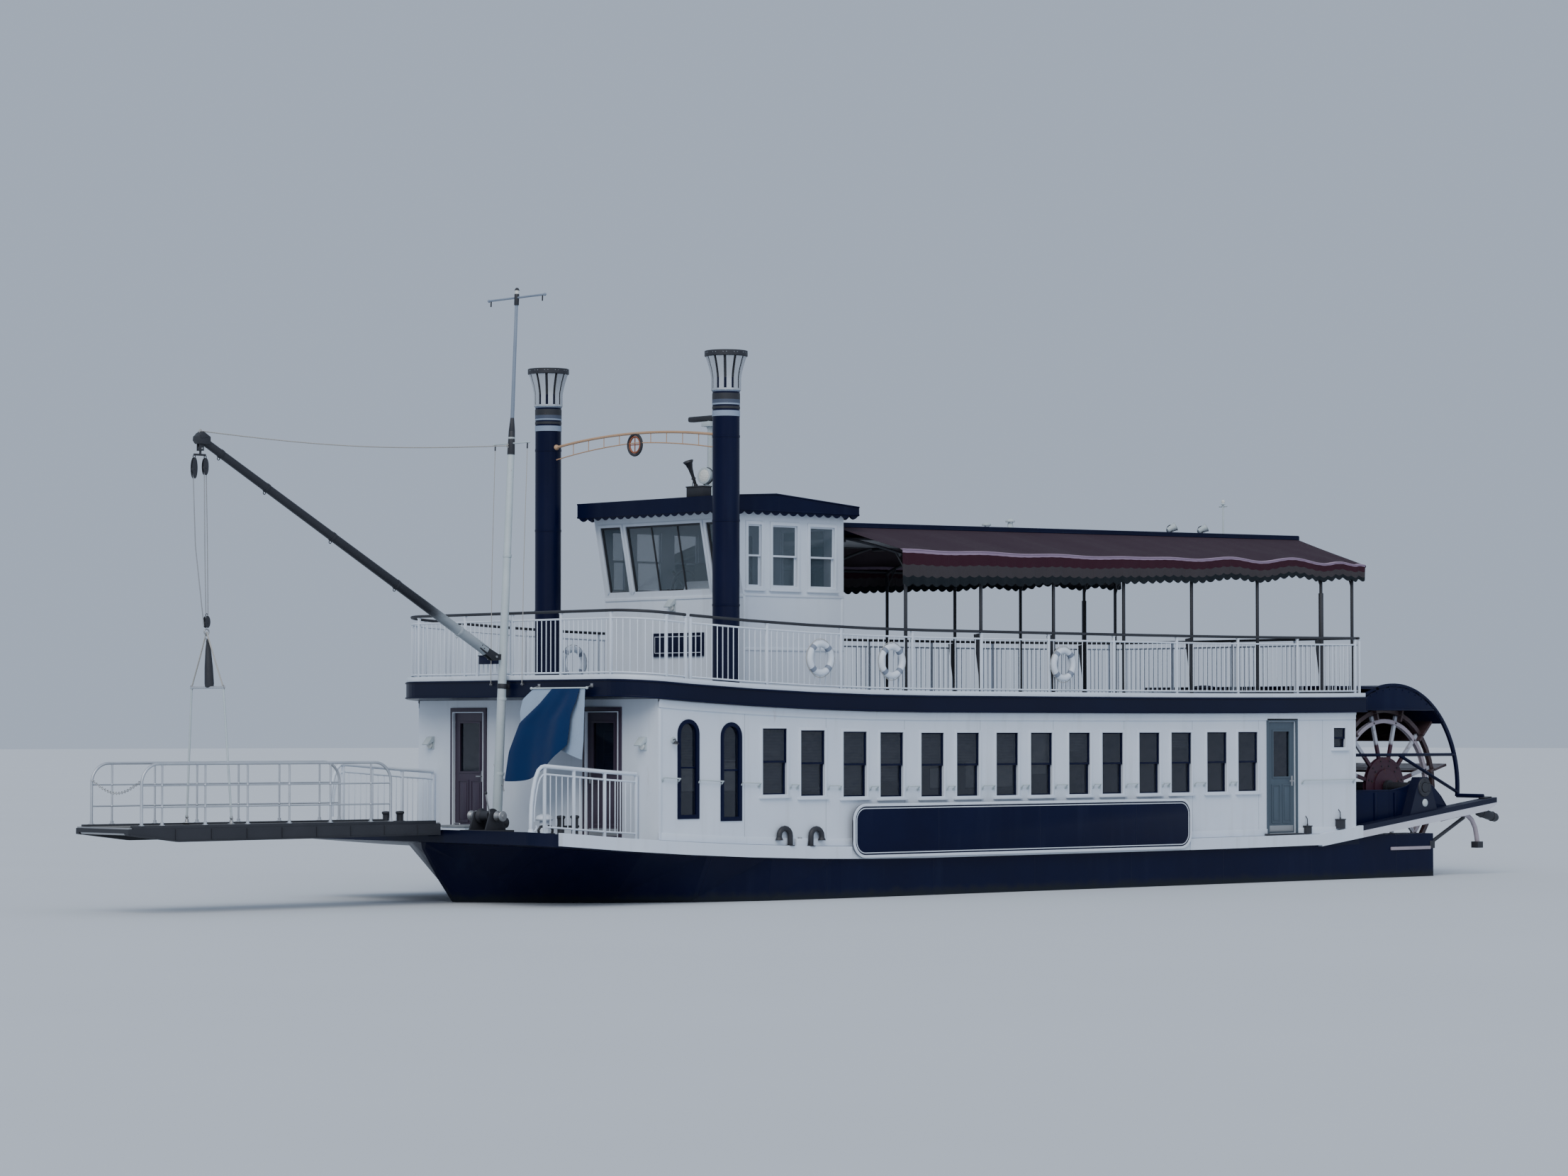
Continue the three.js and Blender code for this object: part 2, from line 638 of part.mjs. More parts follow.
// Foredeck railings, whose front ends curve down to the deck
const FORE_RAIL = { y: 2600, back: CABIN_FRONT + 60, front: 10300, pitch: 640, levels: [1040, 920, 110] };
const FORE_CURL = [
  // ahead of the last post, height above the deck
  [0, 1040],
  [180, 860],
  [260, 450],
  [270, 27],
];
function foreRailing() {
  const line = stations(FORE_RAIL.back, FORE_RAIL.front, FORE_RAIL.pitch).map((x) => [x, FORE_RAIL.y, true]);
  const floor = deckAt(FORE_RAIL.front);
  const curl = FORE_CURL.map(([ahead, high]) => [FORE_RAIL.front + ahead, FORE_RAIL.y, floor + high]);
  return join([railing(line, deckAt, FORE_RAIL.levels), pipe(curl, RAIL.r, 4)]);
}
addPair("fore_railing", "white", foreRailing());

// Pilothouse: raised floor, four walls, roof, a door and steps at the back
const HOUSE = {
  front: 5450, // outside of the front wall below the sill
  rake: 260, // how far the windows lean out at the top
  back: 3200,
  half: 1750,
  wall: 70,
  sill: WATERLINE + 4950,
  eaves: WATERLINE + 6300,
  floor: WATERLINE + 4100,
  floorThick: 80,
};
const HOUSE_LIGHTS = { low: WATERLINE + 5080, high: WATERLINE + 6100, wide: 560, places: [3690, 4530] };
const FORE_LIGHT = { x: 5200, wide: 300 };
const FRONT_LIGHTS = {
  sill: 100,
  head: 160,
  edges: [
    // port edge, starboard edge
    [1620, 1080],
    [960, -960],
    [-1080, -1620],
  ],
};
const BACK_LIGHT = { starboard: 250, port: 1350 };
const HOUSE_DOOR = { y: -800, wide: 700, high: 1950, inset: 10, lightSide: 120 };

function houseSideWall() {
  const front = HOUSE.front - HOUSE.wall - GAP;
  const view = [
    [HOUSE.back, upperAt(HOUSE.back) + GAP],
    [front, upperAt(HOUSE.front) + GAP],
    [front, HOUSE.sill],
    [front + HOUSE.rake, HOUSE.eaves - GAP],
    [HOUSE.back, HOUSE.eaves - GAP],
  ];
  const y0 = HOUSE.half - HOUSE.wall;
  const hole = (x, wide) =>
    box(x - wide / 2, x + wide / 2, y0 - PAST, HOUSE.half + PAST, HOUSE_LIGHTS.low, HOUSE_LIGHTS.high);
  return cut(sideways(view, y0, HOUSE.half), [
    ...HOUSE_LIGHTS.places.map((x) => hole(x, HOUSE_LIGHTS.wide)),
    hole(FORE_LIGHT.x, FORE_LIGHT.wide),
  ]);
}
addPair("pilothouse_wall", "white", houseSideWall());

function houseFrontWall() {
  const foot = upperAt(HOUSE.front) + GAP;
  const top = HOUSE.eaves - GAP;
  const view = [
    [HOUSE.front, foot],
    [HOUSE.front, HOUSE.sill],
    [HOUSE.front + HOUSE.rake, top],
    [HOUSE.front + HOUSE.rake - HOUSE.wall, top],
    [HOUSE.front - HOUSE.wall, HOUSE.sill],
    [HOUSE.front - HOUSE.wall, foot],
  ];
  const x0 = HOUSE.front - HOUSE.wall - PAST;
  const x1 = HOUSE.front + HOUSE.rake + PAST;
  const low = HOUSE.sill + FRONT_LIGHTS.sill;
  const high = HOUSE.eaves - FRONT_LIGHTS.head;
  const holes = FRONT_LIGHTS.edges.map(([port, starboard]) => box(x0, x1, starboard, port, low, high));
  return cut(sideways(view, -HOUSE.half, HOUSE.half), holes);
}
add("pilothouse_front_wall", "white", houseFrontWall());

function houseBackWall() {
  const half = HOUSE.half - HOUSE.wall - GAP;
  const inside = HOUSE.back + HOUSE.wall;
  const plain = box(HOUSE.back, inside, -half, half, upperAt(inside) + GAP, HOUSE.eaves - GAP);
  const hole = (y0, y1, z0, z1) => box(HOUSE.back - PAST, inside + PAST, y0, y1, z0, z1);
  const jamb = HOUSE_DOOR.wide / 2;
  const head = HOUSE.floor + HOUSE_DOOR.high;
  return cut(plain, [
    hole(HOUSE_DOOR.y - jamb, HOUSE_DOOR.y + jamb, HOUSE.floor, head),
    hole(BACK_LIGHT.starboard, BACK_LIGHT.port, HOUSE_LIGHTS.low, HOUSE_LIGHTS.high),
  ]);
}
add("pilothouse_back_wall", "white", houseBackWall());

function houseFloor() {
  const half = HOUSE.half - HOUSE.wall - GAP;
  const back = HOUSE.back + HOUSE.wall + GAP;
  const front = HOUSE.front - HOUSE.wall - GAP;
  return box(back, front, -half, half, HOUSE.floor - HOUSE.floorThick, HOUSE.floor);
}
add("pilothouse_floor", "deck", houseFloor());

const ROOF = { front: 5950, ridge: 4850, back: 2980, half: 1900, thick: 250, crown: 60, fall: 90 };
const roofTop = HOUSE.eaves + ROOF.thick + ROOF.crown;
const roofAt = (x) => roofTop - (ROOF.crown * (x - ROOF.ridge)) / (ROOF.front - ROOF.ridge);
const roofView = [
  [ROOF.back, HOUSE.eaves],
  [ROOF.front, HOUSE.eaves],
  [ROOF.front, HOUSE.eaves + ROOF.thick],
  [ROOF.ridge, roofTop],
  [ROOF.back, HOUSE.eaves + ROOF.thick - ROOF.fall],
];
add("pilothouse_roof", "navy", sideways(roofView, -ROOF.half, ROOF.half));

function houseDoor() {
  const { y } = HOUSE_DOOR;
  const half = HOUSE_DOOR.wide / 2 - DOOR_CLEAR;
  const x0 = HOUSE.back + HOUSE_DOOR.inset;
  const x1 = x0 + DOOR_THICK;
  const top = HOUSE.floor + HOUSE_DOOR.high;
  const leaf = box(x0, x1, y - half, y + half, HOUSE.floor + DOOR_CLEAR, top - DOOR_CLEAR);
  const glazed = half - HOUSE_DOOR.lightSide;
  const light = box(x0 - PAST, x1 + PAST, y - glazed, y + glazed, HOUSE_LIGHTS.low, top - DOOR_LIGHT.top);
  const jamb = y - HOUSE_DOOR.wide / 2;
  const face = HOUSE.back + HOUSE.wall + HINGE.r;
  const strap = [x1 - 1, face + HINGE.lap, jamb + DOOR_CLEAR, jamb + HINGE.reach];
  return join([leaf.subtract(light), ...hinges([face, jamb], strap, HOUSE.floor, top)]);
}
add("pilothouse_door", "door", houseDoor());

const STEPS = { count: 3, going: 250, half: 400 };
function houseSteps() {
  const foot = upperAt(HOUSE.back) + GAP;
  const rise = (HOUSE.floor - foot) / (STEPS.count + 1);
  const back = HOUSE.back - GAP;
  const steps = Array.from({ length: STEPS.count }, (_, i) => {
    const edge = back - STEPS.going * (STEPS.count - i);
    const { y } = HOUSE_DOOR;
    return box(edge, back, y - STEPS.half, y + STEPS.half, foot, foot + rise * (i + 1));
  });
  return join(steps);
}
add("pilothouse_steps", "deck", houseSteps());

// Stacks with flared crowns
const STACK = { x: 6285, y: 2270, r: 220, top: WATERLINE + 8840, foot: 60, wall: 40, bore: 300 };
const STACK_CROWN = { high: 740, waist: 260, waistOut: 15, lip: 60 };
function stack() {
  const out = STACK.r + STACK.foot;
  const foot = standOn(upperAt, STACK.x, out);
  const crown = STACK.top - STACK_CROWN.high;
  const mouth = STACK.r + 2 * STACK_CROWN.lip;
  const inside = STACK.r - STACK.wall;
  const profile = [
    [0, foot],
    [out, foot],
    [out, foot + 40],
    [STACK.r, foot + STACK.foot],
    [STACK.r, crown],
    [STACK.r + STACK_CROWN.waistOut, crown + STACK_CROWN.waist],
    [mouth, STACK.top],
    [mouth - STACK_CROWN.lip, STACK.top],
    [inside, crown + STACK_CROWN.waist],
    [inside, crown - STACK.bore],
    [0, crown - STACK.bore],
  ];
  return turned(profile, STACK.x, STACK.y);
}
addPair("stack", "navy", stack());

// The arched bar between the stacks, with a plain ring hung at its middle
const SPREADER = { z: WATERLINE + 7500, rise: 130, r: 22, shares: [-0.94, -0.6, -0.3, 0, 0.3, 0.6, 0.94] };
const RING = { inner: 150, outer: 195, half: 22, drop: 190 };
function spreader() {
  const reach = STACK.y - STACK.r - GAP;
  const heightAt = (share) => SPREADER.z + SPREADER.rise * (1 - share * share);
  const points = SPREADER.shares.map((share) => [STACK.x, share * reach, heightAt(share)]);
  const [port, starboard] = [1, -1].map((side) => [STACK.x, side * reach, points[0][2]]);
  const ringProfile = [
    [RING.inner, -RING.half],
    [RING.outer, -RING.half],
    [RING.outer, RING.half],
    [RING.inner, RING.half],
    [RING.inner, -RING.half],
  ];
  const ring = turned(ringProfile, 0, 0, 20)
    .rotate([90, 0, 0])
    .rotate([0, 0, 90])
    .translate([STACK.x, 0, heightAt(0) - RING.drop]);
  return join([pipe([starboard, ...points, port], SPREADER.r, 6), ring]);
}
add("stack_spreader", "dark", spreader());

// Radar post and horn on the pilothouse roof
const RADAR = { x: ROOF.ridge, y: 250, r: 55, top: WATERLINE + 7860, bar: 90, thick: 130, plate: 100 };
function radarPost() {
  const { x, y, bar, plate } = RADAR;
  const foot = roofTop + GAP;
  return join([
    rod([x, y, foot], [x, y, RADAR.top + 40], RADAR.r, 10),
    box(x - bar, x + bar, y - 500, y + 500, RADAR.top, RADAR.top + RADAR.thick),
    box(x - plate, x + plate, y - plate, y + plate, foot, foot + 30),
  ]);
}
add("radar_post", "pole", radarPost());

const HORN = { x: 5450, y: 650, base: 100, wide: 200, top: WATERLINE + 6760, reach: 190, rise: 440 };
function roofHorn() {
  const { x, y, base, wide, top } = HORN;
  const root = top - 60;
  return join([
    box(x - base, x + base, y - wide, y + wide, roofAt(x - base) + GAP, top),
    rod([x, y, root], [x + HORN.reach, y, root + HORN.rise], 60, 10, 90),
  ]);
}
add("roof_horn", "dark", roofHorn());

// Canopy: hard top, two framed sides with posts, and a sloping awning on each side
const CANOPY = {
  front: 3120,
  back: -8800,
  half: 1450,
  top: WATERLINE + 6200, // at the front edge
  slope: 0.0128,
  thick: 260,
  lip: 160, // the hard top starts this far behind the awnings' front edge
  edge: WATERLINE + 5700, // outer edge of the awning, at the front
  edgeSlope: 0.0045,
  outer: 3010,
};
const topAt = (x) => CANOPY.top + CANOPY.slope * (CANOPY.front - x);
const edgeAt = (x) => CANOPY.edge + CANOPY.edgeSlope * (CANOPY.front - x);

function canopyTop() {
  const front = CANOPY.front - CANOPY.lip;
  const view = [
    [CANOPY.back, topAt(CANOPY.back) - CANOPY.thick],
    [front, topAt(front) - CANOPY.thick],
    [front, topAt(front)],
    [CANOPY.back, topAt(CANOPY.back)],
  ];
  return sideways(view, -CANOPY.half, CANOPY.half);
}
add("canopy_top", "navy", canopyTop());

const POSTS = { first: 2940, count: 7, aft: UPPER_BACK + 160, r: 32, inset: 40 };
const CLOTH = 24;
const FRAME = { under: CLOTH + 60, rafter: 26, rail: 30, beside: 35, above: 10 };
const SEAT = { half: 30, into: 240, out: 50, high: 60 }; // a pad under the hard top at each rafter
function canopyFrame() {
  const y = CANOPY.outer - POSTS.inset;
  const eaves = (x) => [x, y, edgeAt(x) - FRAME.under];
  const head = (x) => [x, CANOPY.half + FRAME.beside, topAt(x) - CANOPY.thick + FRAME.above];
  const along = Array.from({ length: POSTS.count }, (_, i) => POSTS.first - i * POST_PITCH);
  const bays = [...along, POSTS.aft].flatMap((x) => {
    const seat = topAt(x + SEAT.half) - CANOPY.thick - GAP;
    const inner = CANOPY.half - SEAT.into;
    return [
      rod([x, y, standOn(upperAt, x, POSTS.r)], eaves(x), POSTS.r, 8),
      rod(eaves(x), head(x), FRAME.rafter, 6),
      box(x - SEAT.half, x + SEAT.half, inner, CANOPY.half + SEAT.out, seat - SEAT.high, seat),
    ];
  });
  const ends = [CANOPY.front - 40, UPPER_BACK - 60];
  return join([...bays, pipe(ends.map(eaves), FRAME.rail, 6), pipe(ends.map(head), FRAME.rail, 6)]);
}
addPair("canopy_frame", "dark", canopyFrame());

// The awning is one sheet with a hanging edge. Its section starts at the inner corner of the bend,
// from which every other corner can be seen.
const VALANCE = { out: 60, splay: 15, drop: 610, taper: 0.026 }; // it hangs lowest at the front
function awning() {
  const inner = CANOPY.half + GAP;
  const bend = CANOPY.outer + VALANCE.out;
  const hem = bend + VALANCE.splay;
  const sheet = (x) => {
    const high = topAt(x) - 80;
    const low = edgeAt(x);
    const bottom = low - VALANCE.drop + VALANCE.taper * (CANOPY.front - x);
    return [
      [x, bend - CLOTH - 5, low - CLOTH],
      [x, hem - CLOTH, bottom],
      [x, hem, bottom],
      [x, bend, low],
      [x, inner, high],
      [x, inner, high - CLOTH],
    ];
  };
  // the sheet is twisted, so it is drawn in bays
  const rings = stations(CANOPY.back + 40, CANOPY.front - 20, POST_PITCH / 2).map(sheet);
  return loftedSolid(rings.flat(2), rings[0].length);
}
addPair("awning", "maroon", awning());

// Mast, with a thin topmast and a crossbar; it leans aft. A lug in front of it carries the boom's heel.
const MAST_STEP = { half: 140, low: 12, high: 90 };
const CROSSBAR = { half: 720, drop: 160, r: 20 };
const MAST_LUG = { half: 30, ahead: 40, low: 60, high: 45 };
function mast() {
  const foot = deckAt(MAST.foot) + GAP;
  const at = (z, y = 0) => [mastAt(z), y, z];
  const bar = MAST.topmast - CROSSBAR.drop;
  const { half, low, high } = MAST_STEP;
  const step = box(MAST.foot - half, MAST.foot + half, -half, half, foot + low, foot + high);
  const lug = box(
    mastAt(BOOM_HEEL.z),
    BOOM_HEEL.x + MAST_LUG.ahead,
    -MAST_LUG.half,
    MAST_LUG.half,
    BOOM_HEEL.z - MAST_LUG.low,
    BOOM_HEEL.z + MAST_LUG.high,
  );
  const bore = crossRod(BOOM_HEEL.x, BOOM_HEEL.z, -PAST, PAST, BOOM_HEEL.pin + BORE_CLEAR, 24);
  return join([
    rod(at(foot + 2), at(MAST.top), MAST.r, 12, MAST.tipR),
    rod(at(MAST.top - 60), at(MAST.topmast), MAST.topmastR, 8),
    rod(at(bar, -CROSSBAR.half), at(bar, CROSSBAR.half), CROSSBAR.r, 6),
    step,
    lug.subtract(bore),
  ]);
}
add("mast", "pole", mast());

// Boom: a long spar on a heel fork that straddles the mast's lug
const BOOM_SPAR = { root: 0.03, r: 80, tipR: 62 };
const CHEEK = { inner: 37, outer: 75 };
const CHEEK_VIEW = [
  // from the heel: ahead, up
  [-55, -60],
  [60, -60],
  [330, 130],
  [330, 230],
  [-10, 60],
  [-55, 40],
];
const HEAD_VIEW = [
  // from the tip: ahead, up
  [-140, -90],
  [60, -80],
  [90, 30],
  [-10, 110],
  [-140, 30],
];
function boom() {
  const dx = BOOM_TIP.x - BOOM_HEEL.x;
  const dz = BOOM_TIP.z - BOOM_HEEL.z;
  const start = [BOOM_HEEL.x + dx * BOOM_SPAR.root, 0, BOOM_HEEL.z + dz * BOOM_SPAR.root];
  const about = (view, { x, z }) => view.map(([ahead, up]) => [x + ahead, z + up]);
  const cheek = sideways(about(CHEEK_VIEW, BOOM_HEEL), CHEEK.inner, CHEEK.outer);
  return join([
    rod(start, [BOOM_TIP.x, 0, BOOM_TIP.z], BOOM_SPAR.r, 10, BOOM_SPAR.tipR),
    cheek,
    mirrored(cheek),
    sideways(about(HEAD_VIEW, BOOM_TIP), -CHEEK.outer, CHEEK.outer),
    crossRod(BOOM_HEEL.x, BOOM_HEEL.z, -60, 60, BOOM_HEEL.pin, 16),
    ...tipFork(),
  ]);
}

// Two ears and a pin under the boom's tip, where the bridle hangs
const EAR = { clear: 6, thick: 16, half: 40, below: 35, top: 60 };
function tipFork() {
  const z = BOOM_TIP.z - BRIDLE_PIN.drop;
  const inner = BRIDLE_PIN.half + EAR.clear;
  const { x } = BOOM_TIP;
  const ear = box(x - EAR.half, x + EAR.half, inner, inner + EAR.thick, z - EAR.below, BOOM_TIP.z - EAR.top);
  return [ear, mirrored(ear), crossRod(x, z, -inner - 12, inner + 12, BRIDLE_PIN.r, 16)];
}
add("boom", "dark", boom());

// Fall and bridle: one stay from the boom's tip, and a pair of legs to the stage's sides
const STAY = { eye: 38, r: 18, leg: 20, in: 30 };
function bridle() {
  const z = BOOM_TIP.z - BRIDLE_PIN.drop;
  const eyeRod = (radius, half, sides) => crossRod(BOOM_TIP.x, z, -half, half, radius, sides);
  const ring = [BRIDLE_RING.x, 0, BRIDLE_RING.z];
  const foot = (side) => [BRIDLE_FOOT.x, side * BRIDLE_FOOT.y, BRIDLE_FOOT.z];
  const knot = new THREE.SphereGeometry(BRIDLE_RING.r, 10, 8);
  knot.translate(...ring);
  return join([
    eyeRod(STAY.eye, BRIDLE_PIN.half, 16),
    rod([BOOM_TIP.x, 0, z - STAY.in], ring, STAY.r, 6),
    rod(ring, foot(1), STAY.leg, 6),
    rod(ring, foot(-1), STAY.leg, 6),
    solidOf(knot),
  ]).subtract(eyeRod(BRIDLE_PIN.r + BORE_CLEAR, BRIDLE_PIN.half + PAST, 24));
}
add("stage_bridle", "pole", bridle());

// Landing stage: two side beams, a floor and railings
const STAGE_BEAM = { thick: 80, back: 180, fore: 200, end: 90, taper: 900 };
const STAGE_FLOOR = 60;
function stageFloor() {
  const x0 = STAGE_HINGE.x - 20;
  const pinHalf = STAGE_HALF - 20;
  const beamView = [
    [x0, STAGE_TOP - STAGE_BEAM.back],
    [STAGE_END - STAGE_BEAM.taper, STAGE_TOP - STAGE_BEAM.fore],
    [STAGE_END, STAGE_TOP - STAGE_BEAM.end],
    [STAGE_END, STAGE_TOP],
    [x0, STAGE_TOP],
  ];
  const beam = sideways(beamView, STAGE_HALF - STAGE_BEAM.thick, STAGE_HALF);
  return join([
    box(x0, STAGE_END, -STAGE_HALF, STAGE_HALF, STAGE_TOP - STAGE_FLOOR, STAGE_TOP),
    beam,
    mirrored(beam),
    crossRod(STAGE_HINGE.x, STAGE_HINGE.z, -pinHalf, pinHalf, STAGE_HINGE.pin, 16),
  ]);
}
add("landing_stage", "dark", stageFloor());

const STAGE_RAIL = { front: STAGE_END - 250, back: STAGE_HINGE.x + 950, inset: 30, pitch: 780 };
function stageRailing() {
  const line = stations(STAGE_RAIL.back, STAGE_RAIL.front, STAGE_RAIL.pitch).map((x) => [
    x,
    STAGE_HALF - STAGE_RAIL.inset,
    true,
  ]);
  return railing(line, () => STAGE_TOP, [960, 640, 320]);
}
addPair("stage_railing", "silver", stageRailing());

// Paddle wheel: a shaft, three spiders, and the boards with their rims
const shaftHalf = TIMBER.low + 230;
add("wheel_shaft", "dark", crossRod(WHEEL.x, WHEEL.z, -shaftHalf, shaftHalf, SHAFT_R, 24));

// A ring of rectangular section about the wheel's own axis
function wheelRing(inner, outer, y0, y1, sides) {
  const bore = crossRod(WHEEL.x, WHEEL.z, y0 - PAST, y1 + PAST, inner, sides);
  return crossRod(WHEEL.x, WHEEL.z, y0, y1, outer, sides).subtract(bore);
}

// A copy of a piece at each arm; the piece is drawn at the origin, pointing forward
function roundWheel(piece) {
  return Array.from({ length: WHEEL.arms }, (_, i) =>
    piece.rotate([0, (360 / WHEEL.arms) * (i + 0.5), 0]).translate([WHEEL.x, 0, WHEEL.z]),
  );
}

const RIM = { inner: 1400, outer: 1480, half: 40, sides: 36, into: 20 };
const spiderOut = WHEEL.half - 120;
const SPIDER_PLACES = [
  ["port", spiderOut],
  ["centre", 0],
  ["starboard", -spiderOut],
];
const HUB = { r: 330, half: 60 };
const ARM = { start: 250, half: 34, thick: 25 };
const BOARD_THICK = 45;
function spider(y) {
  const reach = RIM.inner * Math.cos(Math.PI / RIM.sides) - GAP; // to the flats of the rim
  const arm = box(ARM.start, reach, y - ARM.thick, y + ARM.thick, -ARM.half, ARM.half);
  return join([wheelRing(SHAFT_R + GAP, HUB.r, y - HUB.half, y + HUB.half, 24), ...roundWheel(arm)]);
}
for (const [place, y] of SPIDER_PLACES) add("wheel_spider_" + place, "wheel", spider(y));

function wheelBoards() {
  const rims = SPIDER_PLACES.map(([, y]) =>
    wheelRing(RIM.inner, RIM.outer, y - RIM.half, y + RIM.half, RIM.sides),
  );
  const foot = ARM.half + GAP;
  const board = box(RIM.inner + RIM.into, WHEEL.r, -WHEEL.half, WHEEL.half, foot, foot + BOARD_THICK);
  return join([...rims, ...roundWheel(board)]);
}
add("paddle_boards", "wood", wheelBoards());

// Hood over the wheel: a curved sheet in front and above, and a bar down each side to the timber
const HOOD = { inner: 1870, thick: 30, half: 2400, start: 58, end: 140 };
const HOOD_BAR = { inner: HOOD.inner - 5, outer: HOOD.inner + 75, wide: 50, end: 186, strut: 40 };
function arcPoints(radius, from, to, count) {
  return Array.from({ length: count + 1 }, (_, i) => {
    const a = ((from + ((to - from) * i) / count) * Math.PI) / 180;
    return [WHEEL.x + radius * Math.cos(a), WHEEL.z + radius * Math.sin(a)];
  });
}

function arcBand(inner, outer, from, to, count) {
  return [...arcPoints(inner, from, to, count), ...arcPoints(outer, to, from, count)];
}

function hoodSide() {
  const bar = arcBand(HOOD_BAR.inner, HOOD_BAR.outer, HOOD.start, HOOD_BAR.end, 14);
  const middle = (HOOD_BAR.inner + HOOD_BAR.outer) / 2;
  const [[endX, endZ]] = arcPoints(middle, HOOD_BAR.end, HOOD_BAR.end, 1);
  const foot = TIMBER.end + 150;
  const strut = rod(
    [endX + 10, HOOD.half - HOOD_BAR.wide / 2, endZ + 20],
    [foot, TIMBER.low + 60, timberAt(foot) + TIMBER.depth + HOOD_BAR.strut],
    HOOD_BAR.strut,
    8,
  );
  return join([sideways(bar, HOOD.half - HOOD_BAR.wide, HOOD.half), strut]);
}

function hood() {
  const sheet = arcBand(HOOD.inner, HOOD.inner + HOOD.thick, HOOD.start, HOOD.end, 8);
  const side = hoodSide();
  return join([sideways(sheet, -HOOD.half, HOOD.half), side, mirrored(side)]);
}
add("wheel_hood", "navy", hood());

// Rudders, each in the two bearings of a hull tail
const RUDDER_CHAMFER = 60;
function rudder() {
  const heel = RUDDER.x - RUDDER.long;
  const top = RUDDER.low + RUDDER.high;
  const blade = [
    [heel, RUDDER.low + RUDDER_CHAMFER],
    [heel + RUDDER_CHAMFER, RUDDER.low],
    [RUDDER.x, RUDDER.low],
    [RUDDER.x, top],
    [heel, top],
  ];
  return join([
    sideways(blade, RUDDER.y - RUDDER.thick / 2, RUDDER.y + RUDDER.thick / 2),
    rod([RUDDER.x, RUDDER.y, RUDDER.low], [RUDDER.x, RUDDER.y, RUDDER.top], RUDDER.stock, 16),
  ]);
}
addPair("rudder", "navy", rudder());

export default ship;
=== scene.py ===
# %% [markdown]
# # A small stern-wheel excursion steamer
# The boat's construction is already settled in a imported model: hull, walls, decks, mast and wheel
# at their real size in metres, with +X to the bow, +Y to port and +Z up. This script gives it its
# looks. It loads that model as a fixed frame, paints what has the right shape, and models what is
# too fine for the construction: window frames, railings, lamps, trim, cloth and rigging.

# %% Load the frame
import json
import math

import bpy
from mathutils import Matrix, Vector


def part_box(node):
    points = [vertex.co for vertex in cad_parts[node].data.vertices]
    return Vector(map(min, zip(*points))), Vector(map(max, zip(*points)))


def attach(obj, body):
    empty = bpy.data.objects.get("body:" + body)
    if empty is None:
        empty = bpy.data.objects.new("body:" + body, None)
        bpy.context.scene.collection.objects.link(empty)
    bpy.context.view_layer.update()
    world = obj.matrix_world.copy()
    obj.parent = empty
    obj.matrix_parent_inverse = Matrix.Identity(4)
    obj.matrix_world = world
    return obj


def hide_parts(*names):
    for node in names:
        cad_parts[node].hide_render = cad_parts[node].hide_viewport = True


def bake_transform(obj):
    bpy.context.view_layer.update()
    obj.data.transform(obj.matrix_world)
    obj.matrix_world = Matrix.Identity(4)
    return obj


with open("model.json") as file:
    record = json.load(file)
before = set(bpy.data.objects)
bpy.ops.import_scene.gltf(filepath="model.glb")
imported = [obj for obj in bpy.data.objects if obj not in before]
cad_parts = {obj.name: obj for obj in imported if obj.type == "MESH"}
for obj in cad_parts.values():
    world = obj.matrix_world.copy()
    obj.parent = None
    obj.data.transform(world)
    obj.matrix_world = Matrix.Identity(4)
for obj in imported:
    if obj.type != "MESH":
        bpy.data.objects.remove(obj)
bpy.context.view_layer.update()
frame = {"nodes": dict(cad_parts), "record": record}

# %% [markdown]
# ## Driving sizes
# A new piece has to sit on what carries it, so its place is worked out from the frame: the box of a
# wall gives the plane that its windows lie in. Heights along the boat need one more rule. The decks
# rise towards the bow and the stern, which shipbuilders call sheer, and the frame draws that rise
# in straight steps of 1.3 m. The same formula here lets trim lie on the deck without a gap.

# %% Sizes from the frame, and the sheer
wall_low, wall_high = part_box("cabin_wall_port")
deck_low, deck_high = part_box("upper_deck")
SIDE = wall_high.y  # outer face of the cabin side
CABIN_FRONT = wall_high.x
CABIN_BACK = wall_low.x
UPPER_FRONT, UPPER_BACK, UPPER_HALF = deck_high.x, deck_low.x, deck_high.y
WATERLINE = 0.9
DECK = 1.7  # main deck amidships
UPPER = 4.2  # upper deck amidships
SHEER_STEP = 1.3


def sheer_curve(x):
    return 5.3e-3 * max(0, x - 2.4) ** 2 + 0.8e-3 * max(0, -2 - x) ** 2


def sheer(x):
    start = math.floor(x / SHEER_STEP) * SHEER_STEP
    share = (x - start) / SHEER_STEP
    return (1 - share) * sheer_curve(start) + share * sheer_curve(start + SHEER_STEP)


def deck_at(x):
    return DECK + sheer(x)


def upper_at(x):
    return UPPER + sheer(x)


print("cabin side at y", round(SIDE, 3), "and sheer at the bow", round(sheer(CABIN_FRONT), 3))

# %% [markdown]
# ## A small tool box
# Everything is modelled as it would be by hand: add a primitive at its size and place, go into edit
# mode, extrude, inset or spin it, and finish it with modifiers. These few functions hold the moves
# that come back again and again. Each one starts by clearing the selection, because an operator
# acts on all that is selected. Each one ends by applying the object's place, so that a finished
# piece sits at the origin and its patterns stay put when it moves.


# %% Directions, selecting, and applying a place
AHEAD, ACROSS, UP = Vector((1, 0, 0)), Vector((0, 1, 0)), Vector((0, 0, 1))


def beside(place, ahead=0.0, aside=0.0, up=0.0):
    """A point that lies this far ahead of, to port of and above a place."""
    return Vector(place) + Vector((ahead, aside, up))


def deselect():
    bpy.ops.object.select_all(action="DESELECT")


def hold(*objects):
    """Selects only these objects. The last one becomes the active one."""
    deselect()
    for each in objects:
        each.select_set(True)
    bpy.context.view_layer.objects.active = objects[-1]
    return objects[-1]


